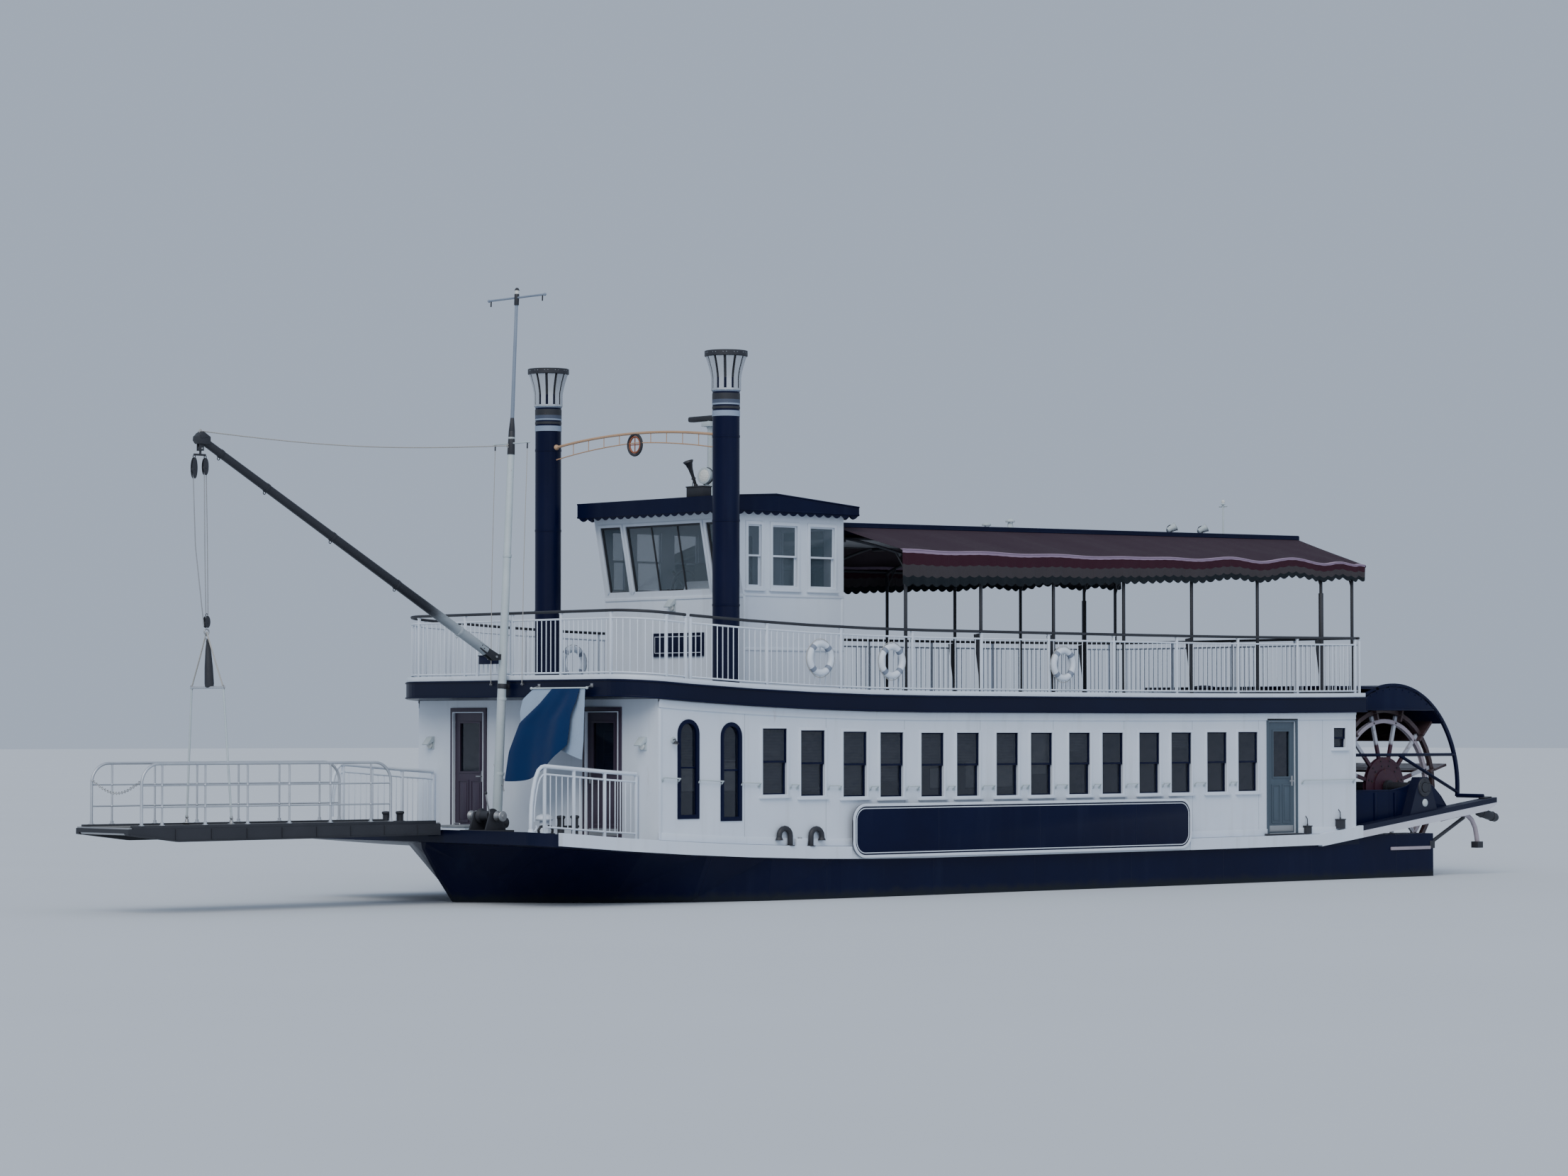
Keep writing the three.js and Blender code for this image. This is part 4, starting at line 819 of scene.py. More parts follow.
FRAME_FINISHES = {
    "hull": navy,
    "main_deck": deck_navy,
    "upper_deck": deck_navy,
    "guard_rail": white,
    "cabin_wall": white_seamed,
    "cabin_front_wall": white,
    "cabin_back_wall": white,
    "side_door": door_teal,
    "front_door": door_brown,
    "pilothouse_wall": white,
    "pilothouse_front_wall": white,
    "pilothouse_back_wall": white,
    "pilothouse_floor": deck_grey,
    "pilothouse_steps": deck_grey,
    "pilothouse_roof": navy,
    "pilothouse_door": door_brown,
    "canopy_top": navy,
    "landing_stage": black,
    "wheel_shaft": black,
    "wheel_spider": spoke_paint,
    "paddle_boards": board_wood,
    "rudder": navy,
}
for node, shape in frame["nodes"].items():
    for start, finish in FRAME_FINISHES.items():
        if node.startswith(start):
            coated(shape, finish)
print(len(FRAME_FINISHES), "kinds of nodes keep their shape and get paint")

# %% [markdown]
# ## Cabin windows
# Seven pairs of sash windows run along each side. A sash window is a frame in the wall with two
# glazed sashes that overlap at a meeting rail halfway up. Each is the same, so one is modelled at
# the first opening and copied to the others, each raised by the sheer at its place. Some have a
# grey blind drawn behind the glass and look paler.

# %% One sash window
PAIR_FIRST, PAIR_GAP, PAIR_COUNT = 5.952, 0.829, 7
WINDOW_WIDE, WINDOW_LOW, WINDOW_HIGH = 0.55, 0.817, 1.896
TRIM = 0.035  # width of the frame that covers the edge of an opening
window_places = [
    PAIR_FIRST - pair_number * WINDOW_PITCH - step
    for pair_number in range(PAIR_COUNT)
    for step in (0, PAIR_GAP)
]


def window_parts(x, wide, low, high, wall=0.09):
    """Frame, sashes with a meeting rail, and glass for an opening in the port side."""
    z = deck_at(x)
    left, right = x - wide / 2, x + wide / 2
    foot, head = z + low, z + high
    middle = (foot + head) / 2
    out, inside = SIDE + 0.016, SIDE - wall
    casing = hollow_frame(
        (left - TRIM, SIDE - 0.01, foot - TRIM), (right + TRIM, out, head + TRIM), TRIM + 0.012
    )
    sill = block((left - 0.06, SIDE - 0.02, foot - 0.05), (right + 0.06, out + 0.03, foot - 0.012))
    upper = hollow_frame((left, SIDE - 0.05, middle - 0.02), (right, SIDE - 0.02, head), 0.032)
    lower = hollow_frame((left, inside + 0.01, foot), (right, inside + 0.04, middle + 0.02), 0.032)
    panes = [
        block((left + 0.02, SIDE - 0.038, middle), (right - 0.02, SIDE - 0.033, head - 0.02)),
        block((left + 0.02, inside + 0.022, foot + 0.02), (right - 0.02, inside + 0.027, middle)),
    ]
    return [casing, sill], [upper, lower], panes


def moved_to(places, low_from):
    """Moves from the first place to the others, each raised by the sheer there."""
    return [(x - low_from, 0, sheer(x) - sheer(low_from)) for x in places]


casings, sashes, panes = window_parts(window_places[0], WINDOW_WIDE, WINDOW_LOW, WINDOW_HIGH)
moves = moved_to(window_places[1:], window_places[0])
casing = copies(join(casings), moves)
sash = copies(coated(join(sashes), navy), moves)
pane = copies(join(panes), moves)
pair("window_casings", [casing], finish=white, edge=0.003)
pair("window_sashes", [sash], finish=navy, edge=0.003)
pair("window_glass", [pane], finish=cabin_glass)

# %% Blinds behind some of the glass
BLINDS = {0: 1.0, 1: 0.9, 2: 0.9, 3: 0.75, 4: 0.55, 5: 0.45, 6: 0.5, 8: 0.3, 11: 0.25}  # share drawn
blinds = []
for number, share in BLINDS.items():
    x = window_places[number]
    head = deck_at(x) + WINDOW_HIGH
    drawn = (WINDOW_HIGH - WINDOW_LOW) * share
    half = WINDOW_WIDE / 2 + 0.02
    sheet = block((x - half, SIDE - 0.13, head - drawn), (x + half, SIDE - 0.124, head))
    foot_rail = bar(
        (x - half, SIDE - 0.127, head - drawn), (x + half, SIDE - 0.127, head - drawn), 0.012, sides=8
    )
    blinds += [sheet, foot_rail]
pair("window_blinds", blinds, finish=blind_grey, edge=0.001)

# %% [markdown]
# ## Arched windows
# Two tall, narrow windows with round heads stand forward of the pairs. Their trim is an outline of
# straight jambs and a half circle, worked out from the opening's width. Two such outlines, one
# inside the other, are bridged and extruded to a flat bar, and a slab of the same outline is glass.

# %% Arched windows
ARCHED_PLACES, ARCHED_WIDE, ARCHED_LOW, ARCHED_HIGH = (7.780, 6.880), 0.39, 0.41, 1.915


def arched_outline(x, y, grow, steps=12):
    """The opening's outline, grown outwards, in the plane of a side wall."""
    z = deck_at(x)
    radius = ARCHED_WIDE / 2
    spring = z + ARCHED_HIGH - radius
    arch = [
        (x + (radius + grow) * math.cos(a), y, spring + (radius + grow) * math.sin(a))
        for a in (math.pi * i / steps for i in range(steps + 1))
    ]
    foot = z + ARCHED_LOW - grow
    return [(x + radius + grow, y, foot), *arch, (x - radius - grow, y, foot)]


def band_around(outline_at, inner, outer, y0, y1):
    """A flat frame between one outline grown by two amounts, from y0 to y1."""
    return band(outline_at(y0, inner), outline_at(y0, outer), (0, y1 - y0, 0))


arch_trim, arch_glass = [], []
for place in ARCHED_PLACES:
    outline = lambda y, grow, x=place: arched_outline(x, y, grow)
    arch_trim.append(band_around(outline, -0.035, 0.03, SIDE - 0.03, SIDE + 0.016))
    half, rail_z = ARCHED_WIDE / 2, deck_at(place) + 1.17
    arch_trim.append(
        block((place - half, SIDE - 0.04, rail_z), (place + half, SIDE - 0.015, rail_z + 0.03))
    )
    arch_glass.append(slab(arched_outline(place, SIDE - 0.04, -0.01), (0, 0.005, 0)))
pair("arched_window_trim", arch_trim, finish=navy, edge=0.003)
pair("arched_window_glass", arch_glass, finish=cabin_glass)

# %% [markdown]
# ## The small aft window, and mouldings on the cabin side
# Near the stern a small square window lights the engine room. Long mouldings finish the side: one
# under the upper deck, one at the deck, and a corner strip where side and front meet. They follow
# the sheer, so each is extruded from one step of the sheer to the next and then lifted with it.

# %% The aft window
AFT_LIGHT_X, AFT_LIGHT_WIDE, AFT_LIGHT_LOW, AFT_LIGHT_HIGH = -8.0, 0.36, 1.57, 1.95
casings, sashes, panes = window_parts(AFT_LIGHT_X, AFT_LIGHT_WIDE, AFT_LIGHT_LOW, AFT_LIGHT_HIGH)
pair("aft_window_frame", [coated(join(casings), white), coated(join(sashes), navy)], edge=0.003)
pair("aft_window_glass", panes, finish=cabin_glass)


# %% Mouldings that follow the sheer
def sheer_places(back, front):
    first = math.ceil((back + 1e-3) / SHEER_STEP)
    steps = [n * SHEER_STEP for n in range(first, math.ceil((front - 1e-3) / SHEER_STEP))]
    return [back, *steps, front]


def sheer_strip(back, front, y0, y1, z0, z1):
    """A strip along the side, with a ring of points at each step of the sheer, lifted with it."""
    strip = slab([(back, y0, z0), (back, y1, z0), (back, y1, z1), (back, y0, z1)], (0.001, 0, 0))
    places = sheer_places(back, front)
    slide = (bpy.ops.transform.translate, {"value": (places[1] - back - 0.001, 0, 0)})
    steps = [pulled((after - before, 0, 0)) for before, after in zip(places[1:], places[2:])]
    edit(strip, slide, *steps, points=lambda point: point.co.x > back + 0.0005)
    return lifted(facing_out(strip))


HEAD = 3.92  # underside of the upper deck amidships
strips = [
    sheer_strip(CABIN_BACK, CABIN_FRONT, SIDE - 0.01, SIDE + 0.022, HEAD - 0.13, HEAD - 0.002),
    sheer_strip(CABIN_BACK, CABIN_FRONT, SIDE - 0.01, SIDE + 0.034, HEAD - 0.045, HEAD - 0.002),
    sheer_strip(CABIN_BACK, -6.80, SIDE - 0.01, SIDE + 0.018, DECK + 0.025, DECK + 0.14),
    sheer_strip(-6.0, CABIN_FRONT, SIDE - 0.01, SIDE + 0.018, DECK + 0.025, DECK + 0.14),
]
for x in (CABIN_FRONT - 0.055, CABIN_BACK + 0.005):
    z = sheer(x)
    strips.append(block((x, SIDE - 0.01, DECK + 0.03 + z), (x + 0.05, SIDE + 0.02, HEAD - 0.14 + z)))
pair("cabin_mouldings", strips, finish=white, edge=0.004)

# %% [markdown]
# ## Handrails and lamps on the cabin
# A thin rail is fixed along the cabin side at hand height, for anyone who walks along the guard. It
# stops at each window and runs on brackets. A bulkhead lamp is a cast hood over a ribbed glass.


# %% Handrail lengths
def handrail(front, back, height=1.0, stand_off=0.055):
    y = SIDE + stand_off
    points = [(front, SIDE, deck_at(front) + height - 0.05), (front, y, deck_at(front) + height)]
    points += [(back, y, deck_at(back) + height), (back, SIDE, deck_at(back) + height - 0.05)]
    feet = [(x, SIDE + 0.004, deck_at(x) + height - 0.05) for x in (front, back)]
    return [tube(points, 0.013), *(ring(foot, ACROSS, 0.022, 0.008) for foot in feet)]


rails = handrail(8.32, 7.99) + handrail(7.57, 7.09) + handrail(6.67, 6.29)
for number in range(PAIR_COUNT):
    first = PAIR_FIRST - number * WINDOW_PITCH
    rails += handrail(first - 0.34, first - PAIR_GAP + 0.34)
    if number < PAIR_COUNT - 1:
        rails += handrail(first - PAIR_GAP - 0.34, first - WINDOW_PITCH + 0.34)
rails += handrail(-6.95, -8.38)
pair("wall_handrails", rails, finish=pole)


# %% Bulkhead lamps on the cabin's front wall
def bulkhead_lamp(x, y, z):
    """A lamp on a wall that faces the bow: base plate, sloping hood, ribbed glass."""
    base = block((x, y - 0.07, z - 0.10), (x + 0.02, y + 0.07, z + 0.10))
    side_view = [(0, 0.11), (0.05, 0.10), (0.15, -0.02), (0.14, -0.035), (0, 0.03)]
    hood = slab([(x + ahead, y - 0.075, z + high) for ahead, high in side_view], (0, 0.15, 0))
    lens = ball((x + 0.045, y, z - 0.03), (0.045, 0.055, 0.065))
    return [*all_in(pole, base, hood), coated(lens, lamp_lens)]


lamp_z = deck_at(CABIN_FRONT) + 1.52
pair("front_wall_lamp", bulkhead_lamp(CABIN_FRONT, 2.72, lamp_z), slot="pole_paint", edge=0.003)

# %% [markdown]
# ## The name boards
# A blank navy board is fixed to each side of the cabin: a long panel with round corners, a raised
# white rim, and a second thin white line inside it. Its outline is straight edges and quarter
# circles, and each line is the same outline drawn smaller.

# %% A board with round corners
board_low, board_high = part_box("name_board_port")
BOARD_Z = (1.55, 2.43)
BOARD_ROUND = 0.27


def board_outline(y, grow, steps=8):
    x0, x1 = board_low.x - grow, board_high.x + grow
    z0, z1 = BOARD_Z[0] - grow, BOARD_Z[1] + grow
    radius = BOARD_ROUND + grow
    corners = [(x1, z1, 0), (x0, z1, 1), (x0, z0, 2), (x1, z0, 3)]
    points = []
    for x, z, quarter in corners:
        centre_x = x - radius if quarter in (0, 3) else x + radius
        centre_z = z - radius if quarter in (0, 1) else z + radius
        for i in range(steps + 1):
            a = math.pi / 2 * (quarter + i / steps)
            points.append((centre_x + radius * math.cos(a), y, centre_z + radius * math.sin(a)))
    return points


face = board_high.y - 0.012
panel = coated(slab(board_outline(face - 0.028, 0), (0, 0.028, 0)), navy)
rim = coated(band_around(board_outline, -0.045, 0, face - 0.02, face + 0.012), white)
line = coated(band_around(board_outline, -0.085, -0.07, face - 0.004, face + 0.004), white)
spacers = [block((x - 0.04, SIDE, 2.23), (x + 0.04, face - 0.02, 2.31)) for x in (3.9, 1.3, -1.3, -3.4)]
pair("blank_name_board", [panel, rim, line, *all_in(white, *spacers)], slot="navy_paint",
     stands_for=("name_board",), edge=0.002)

# %% [markdown]
# ## The doors
# Five doors swing: two in the cabin's front wall, one in each side, and one behind the pilothouse.
# The frame gives each leaf with its light cut out. What makes it a door is added to it: the glass,
# a bead around the glass, two sunk panels below, a kick plate and a handle. A door can face any way,
# so a block on it is given by u, across the leaf, and d, out from its outer face.

# %% Places on a door leaf
LEAF_THICK = 0.05


# A door holds the axes of its width and of its outward direction, its size, and its light.
def on_leaf(door, u0, u1, d0, d1, z0, z1):
    corners = []
    for u, d, z in ((u0, d0, z0), (u1, d1, z1)):
        point = UP * z
        point[door["along"]] = door["centre"] + u
        point[door["out"]] = door["face"] + door["sign"] * d
        corners.append(point)
    return Vector(map(min, *corners)), Vector(map(max, *corners))


def leaf_frame(door, half, d0, d1, z0, z1, border):
    low, high = on_leaf(door, -half, half, d0, d1, z0, z1)
    return hollow_frame(low, high, border, across="xyz"[door["out"]])


def door_trim(door, handle_u, leaf_paint):
    """Beads, panels, kick plate and handle, on both faces of a leaf."""
    light_half, light_low, light_high = door["light"]
    panel_low, panel_high = door["foot"] + 0.17, light_low - 0.13
    width = (door["half"] - 0.09 - 0.03) / 2
    parts = []
    for near, far in ((-0.003, 0.010), (-LEAF_THICK - 0.010, -LEAF_THICK + 0.003)):
        bead = leaf_frame(
            door, light_half + 0.022, near, far, light_low - 0.022, light_high + 0.022, 0.032
        )
        parts.append(coated(bead, leaf_paint))
        for middle in (-width - 0.03, width + 0.03):
            u0, u1 = middle - width, middle + width
            panel = on_leaf(door, u0, u1, near, far, panel_low, panel_high)
            moulding = hollow_frame(*panel, 0.022, across="xyz"[door["out"]])
            inside = (
                u0 + 0.05, u1 - 0.05, near + 0.001, far - 0.004, panel_low + 0.05, panel_high - 0.05
            )
            parts += all_in(leaf_paint, moulding, block(*on_leaf(door, *inside)))
        kick = block(*on_leaf(door, -door["half"] + 0.03, door["half"] - 0.03, near, far - 0.006,
                              door["foot"] + 0.02, door["foot"] + 0.13))
        parts.append(coated(kick, steel))
    handle_z = door["foot"] + 0.93
    for d0, d1 in ((0.0, 0.05), (-LEAF_THICK - 0.05, -LEAF_THICK)):
        rose_end = d0 + 0.008 if d0 >= 0 else d1
        rose = block(*on_leaf(door, handle_u - 0.024, handle_u + 0.024, d0, rose_end,
                              handle_z - 0.09, handle_z + 0.09))
        tip = d1 if d0 >= 0 else d0
        inner, outer = on_leaf(
            door, handle_u, handle_u, min(tip, 0), max(tip, 0), handle_z, handle_z
        )
        stem = bar(inner, outer, 0.009, sides=10)
        lever_low, lever_high = on_leaf(door, handle_u, handle_u - math.copysign(0.11, handle_u),
                                        tip - 0.008, tip + 0.004, handle_z - 0.010, handle_z + 0.010)
        parts += all_in(steel, rose, stem, block(lever_low, lever_high))
    return parts


def door_glass(door):
    light_half, light_low, light_high = door["light"]
    return block(*on_leaf(door, -light_half - 0.008, light_half + 0.008, -0.030, -0.024,
                          light_low - 0.008, light_high + 0.008))


print("a leaf is", LEAF_THICK, "m thick")

# %% Front doors: brown leaves in dark frames with a white line
front_low, front_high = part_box("front_door_port")
front_door = {
    "along": 1, "out": 0, "sign": 1, "face": front_high.x,
    "centre": 1.713, "half": 0.394, "foot": front_low.z, "head": front_high.z,
    "light": (0.264, front_low.z + 1.0, front_low.z + 1.81),
}
front_bodies = ("front_door_port", "front_door_starboard")
trim = door_trim(front_door, -0.33, door_brown)
pair("front_door_trim", trim, bodies=front_bodies, slot="door_paint", edge=0.002)
pair("front_door_glass", [door_glass(front_door)], bodies=front_bodies, finish=cabin_glass)

# %% Their frames on the wall
WALL_STEP = 0.02  # from a leaf's outer face to the wall's outer face
casing = leaf_frame(front_door, 0.475, WALL_STEP - 0.003, WALL_STEP + 0.024,
                    front_door["foot"] - 0.085, front_door["head"] + 0.085, 0.068)
line = leaf_frame(front_door, 0.412, WALL_STEP - 0.002, WALL_STEP + 0.034,
                  front_door["foot"] - 0.018, front_door["head"] + 0.018, 0.016)
step = block(*on_leaf(front_door, -0.48, 0.48, WALL_STEP, WALL_STEP + 0.20,
                      front_door["foot"] - 0.075, front_door["foot"] - 0.035))
pair("front_door_frame", [coated(casing, door_brown), coated(line, white), coated(step, steel)],
     slot="door_paint", edge=0.003)

# %% Side doors: panelled grey-green leaves with a dark sill
side_low, side_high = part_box("side_door_port")
side_door = {
    "along": 0, "out": 1, "sign": 1, "face": side_high.y,
    "centre": -6.4, "half": 0.354, "foot": side_low.z, "head": side_high.z,
    "light": (0.224, side_low.z + 1.0, side_low.z + 1.83),
}
side_bodies = ("side_door_port", "side_door_starboard")
trim = door_trim(side_door, -0.29, door_teal)
pair("side_door_trim", trim, bodies=side_bodies, slot="door_paint", edge=0.002)
pair("side_door_glass", [door_glass(side_door)], bodies=side_bodies, finish=cabin_glass)
casing = leaf_frame(side_door, 0.42, WALL_STEP - 0.003, WALL_STEP + 0.022,
                    side_door["foot"] - 0.07, side_door["head"] + 0.065, 0.052)
sill = block(*on_leaf(side_door, -0.50, 0.50, WALL_STEP - 0.005, WALL_STEP + 0.095,
                      side_door["foot"] - 0.062, side_door["foot"] - 0.012))
pair("side_door_frame", [coated(casing, door_teal), coated(sill, black)], slot="door_paint", edge=0.003)

# %% The pilothouse door
house_low, house_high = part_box("pilothouse_door")
house_door = {
    "along": 1, "out": 0, "sign": -1, "face": 3.21,
    "centre": -0.8, "half": 0.344, "foot": house_low.z, "head": house_high.z,
    "light": (0.224, 5.98, 6.78),
}
piece("pilothouse_door_trim", door_trim(house_door, 0.28, door_brown), body="pilothouse_door",
      slot="door_paint", edge=0.002)
piece("pilothouse_door_glass", [door_glass(house_door)], body="pilothouse_door", finish=clear_glass)
casing = leaf_frame(house_door, 0.42, 0.008, 0.030, house_low.z - 0.012, house_high.z + 0.07, 0.062)
piece("pilothouse_door_frame", [casing], finish=white, edge=0.003)

# %% [markdown]
# ## Fittings along the cabin side
# Two goose-neck air pipes stand on the guard below the first window pair: pipes that rise, bend over
# and open downwards, so that spray stays out. Each is a tube along an arc of points, with a bell
# turned about the end's axis. Between them is a pale filler box. Two dark junction boxes stand near
# the stern, and a small lamp is fixed beside the arched windows.


# %% Goose-neck pipes
def goose_neck(x, way, rise=0.16, bend=0.12, radius=0.045):
    """A pipe at x that bends over towards the bow (way 1) or the stern (way -1)."""
    y = SIDE + 0.055
    foot = deck_at(x) + 0.018
    centre = x + way * bend
    turns = [math.pi * i / 8 for i in range(9)]
    arc = [(centre - way * bend * math.cos(a), y, foot + rise + bend * math.sin(a)) for a in turns]
    pipe = tube([(x, y, foot), *arc, (arc[-1][0], y, foot + rise - 0.03)], radius, sides=12)
    bell = lathed(
        [(radius, 0), (radius + 0.022, -0.05), (radius + 0.012, -0.05), (radius - 0.008, -0.01)],
        (arc[-1][0], y, foot + rise - 0.02),
    )
    flange = lathed(
        [(0, 0), (radius + 0.03, 0), (radius + 0.03, 0.012), (0, 0.012)], (x, y, foot), steps=20
    )
    return [pipe, bell, flange]


necks = all_in(black, *goose_neck(5.66, 1), *goose_neck(5.21, -1))
floor_z = deck_at(5.4)
filler = coated(block((5.32, SIDE, floor_z + 0.018), (5.55, SIDE + 0.085, floor_z + 0.14)), white)
cap_line = [(0, 0), (0.035, 0), (0.035, 0.02), (0, 0.026)]
filler_cap = coated(lathed(cap_line, (5.44, SIDE + 0.045, floor_z + 0.138)), steel)
pair("air_pipes", [*necks, filler, filler_cap], slot="black_paint", edge=0.003)

# %% Junction boxes near the stern
boxes = []
for x, wide, high in ((-7.05, 0.15, 0.13), (-7.97, 0.19, 0.16)):
    foot = deck_at(x) + 0.03 + (0.12 * (-7.4 - x) if x < -7.4 else 0)
    top, half, y = foot + high, wide / 2, SIDE + 0.04
    boxes += [
        block((x - half, SIDE + 0.002, foot), (x + half, SIDE + 0.082, top)),
        block((x - half - 0.01, SIDE + 0.002, top), (x + half + 0.01, SIDE + 0.092, top + 0.02)),
        bar((x, y, top + 0.018), (x, y, top + 0.05), 0.014, sides=10),
        tube([(x, y, top + 0.045), (x, y, top + 0.14), (x, SIDE - 0.01, top + 0.2)], 0.009),
    ]
pair("junction_boxes", boxes, finish=black, edge=0.004)


# %% The small lamp beside the arched windows
def side_lamp(x, z):
    plate = lathed([(0, 0), (0.055, 0), (0.05, 0.015), (0, 0.018)], (x, SIDE, z), axis=ACROSS, steps=20)
    arm = tube([(x, SIDE + 0.01, z), (x, SIDE + 0.06, z + 0.015), (x, SIDE + 0.075, z - 0.02)], 0.009)
    hood = lathed(
        [(0, 0), (0.02, -0.005), (0.055, -0.05), (0.048, -0.05), (0.0, -0.01)],
        (x, SIDE + 0.075, z - 0.015),
        steps=20,
    )
    bulb = ball((x, SIDE + 0.075, z - 0.055), (0.03, 0.03, 0.035), rings=8)
    return [coated(plate, pole), *all_in(black, arm, hood), coated(bulb, lamp_lens)]


pair("side_lamp", side_lamp(8.10, deck_at(8.1) + 1.60), slot="black_paint", edge=0.002)

# %% [markdown]
# ## The upper deck's railings
# Each railing is a row of posts with a dark cap rail, a thinner rail below it, a bottom rail, and
# pickets between those two. The rails are round tubes along the railing's line, and they rise with
# the sheer. The pickets are one small bar that is copied along the line. At the bow the line turns
# both corners on an arc, so its points come from the same corner radius as the deck's edge.

# %% A railing along any line
RAIL_INSET = 0.09
RAIL_HALF = UPPER_HALF - RAIL_INSET
UPPER_LEVELS = (1.08, 0.96, 0.11)


def along_line(line, spacing):
    """Places at an even spacing along a line of points, without its two ends."""
    places = []
    for start, end in zip(line, line[1:]):
        start, end = Vector(start), Vector(end)
        count = max(1, round((end - start).length / spacing))
        places += [start.lerp(end, i / count) for i in range(count)]
    return places[1:]


def picket_row(places, low, high, radius=0.009):
    first = places[0]
    picket = bar(first + UP * low, first + UP * high, radius, sides=6)
    return copies(picket, [place - first for place in places[1:]])


def post(place, height, half=0.02):
    """A square post on a foot plate, under a small cap."""
    x, y, z = place
    shaft = block((x - half, y - half, z), (x + half, y + half, z + height))
    plate = block((x - 0.045, y - 0.04, z + 0.001), (x + 0.045, y + 0.04, z + 0.012))
    head, wide = z + height, half + 0.006
    cap = block((x - wide, y - wide, head), (x + wide, y + wide, head + 0.010))
    return [shaft, plate, cap]


def railing(line, floor_at, levels, posts, spacing=0.115, cap=None):
    """Rails, posts and pickets along (x, y) points. The cap rail may have its own finish."""
    on_floor = [Vector((x, y, floor_at(x))) for x, y in line]
    tubes = []
    for level, radius, finish in zip(levels, (0.024, 0.015, 0.015), (cap or black, white, white)):
        rail = tube([point + UP * level for point in on_floor], radius, sides=12)
        tubes.append(coated(rail, finish))
    pickets = picket_row(along_line(on_floor, spacing), levels[2], levels[1])
    uprights = [part for x, y in posts for part in post((x, y, floor_at(x)), levels[0] - 0.035)]
    return [*tubes, *all_in(white, pickets, *uprights)]


def evenly(start, end, step):
    count = max(1, math.ceil(abs(end - start) / step))
    return [start + (end - start) * i / count for i in range(count + 1)]


POST_FIRST, POST_PITCH = 2.94, 1.759  # the foremost awning post, and how far aft the next one is
CORNER = 0.7
corner_radius = CORNER - RAIL_INSET
corner_x, corner_y = UPPER_FRONT - CORNER, UPPER_HALF - CORNER
side_front, side_back = corner_x - 0.5, UPPER_BACK + 0.21
side_line = [(x, RAIL_HALF) for x in sheer_places(side_back, side_front)]
side_posts = [(x, RAIL_HALF) for x in evenly(side_front, side_back, POST_PITCH)]
print(len(side_posts), "posts along each side")

# %% Side railings
pair("side_railing", railing(side_line, upper_at, UPPER_LEVELS, side_posts),
     slot="white_paint", stands_for=("upper_railing",), edge=0.002)

# %% Front railing, round both corners
quarter = [math.pi / 2 * i / 8 for i in range(9)]
port_corner = [
    (corner_x + corner_radius * math.sin(a), corner_y + corner_radius * math.cos(a)) for a in quarter
]
port_line = [(corner_x - 0.4, RAIL_HALF), *port_corner]
front_line = [*port_line, *((x, -y) for x, y in reversed(port_line))]
front_posts = [port_line[0], port_corner[0], port_corner[-1]]
front_posts += [(UPPER_FRONT - RAIL_INSET, y) for y in evenly(corner_y, -corner_y, 1.5)[1:-1]]
front_posts += [(x, -y) for x, y in (port_line[0], port_corner[0], port_corner[-1])]
piece("front_railing", railing(front_line, upper_at, UPPER_LEVELS, front_posts),
      slot="white_paint", stands_for=("upper_railing_front",), edge=0.002)

# %% Aft railing
aft_x = UPPER_BACK + RAIL_INSET
aft_line = [(aft_x, RAIL_HALF), (aft_x, -RAIL_HALF)]
aft_posts = [(aft_x, y) for y in evenly(RAIL_HALF, -RAIL_HALF, 1.55)]
piece("aft_railing", railing(aft_line, upper_at, UPPER_LEVELS, aft_posts),
      slot="white_paint", stands_for=("upper_railing_aft",), edge=0.002)

# %% [markdown]
# ## Kerb and fascia beads
# A pale kerb stands on the edge of the upper deck, and two thin beads edge the navy fascia below it.
# They follow the deck's outline all the way round. That outline is one line of points, and a wall
# along it is made by extruding the line upwards and giving the sheet a thickness.


# %% The deck's outline, and walls along it
def upper_outline(grow, z):
    """Points round the upper deck's edge at a height over the deck, from the port quarter forward."""
    radius = CORNER + grow
    half = UPPER_HALF + grow
    port = [(x, half) for x in sheer_places(UPPER_BACK - grow, corner_x)]
    port += [(corner_x + radius * math.sin(a), corner_y + radius * math.cos(a)) for a in quarter[1:]]
    both = [*port, *((x, -y) for x, y in reversed(port))]
    return [(x, y, upper_at(x) + z) for x, y in both]


def wall_along(points, height, thick):
    """A line of edges, extruded upwards and given a thickness."""
    fence = facing_out(edit(chain(points, closed=True), pulled(UP * height)))
    return finished_with(fence, "SOLIDIFY", thickness=thick, offset=0, use_even_offset=True)


kerb = wall_along(upper_outline(-0.025, -0.002), 0.075, 0.035)
piece("upper_deck_kerb", [kerb], finish=white, edge=0.006)
beads = [wall_along(upper_outline(0.008, z), 0.022, 0.020) for z in (-0.030, -0.275)]
piece("upper_deck_beads", beads, finish=navy, edge=0.005)

# %% [markdown]
# ## Life rings, and gussets behind the posts
# Life rings hang on the railing. A ring is a torus with four bands round it and a grab line that
# sags from band to band. Some awning posts have a dark plate beside them. It is as high as the rail,
# broad at the top and narrow at the deck, and stiffens the post.


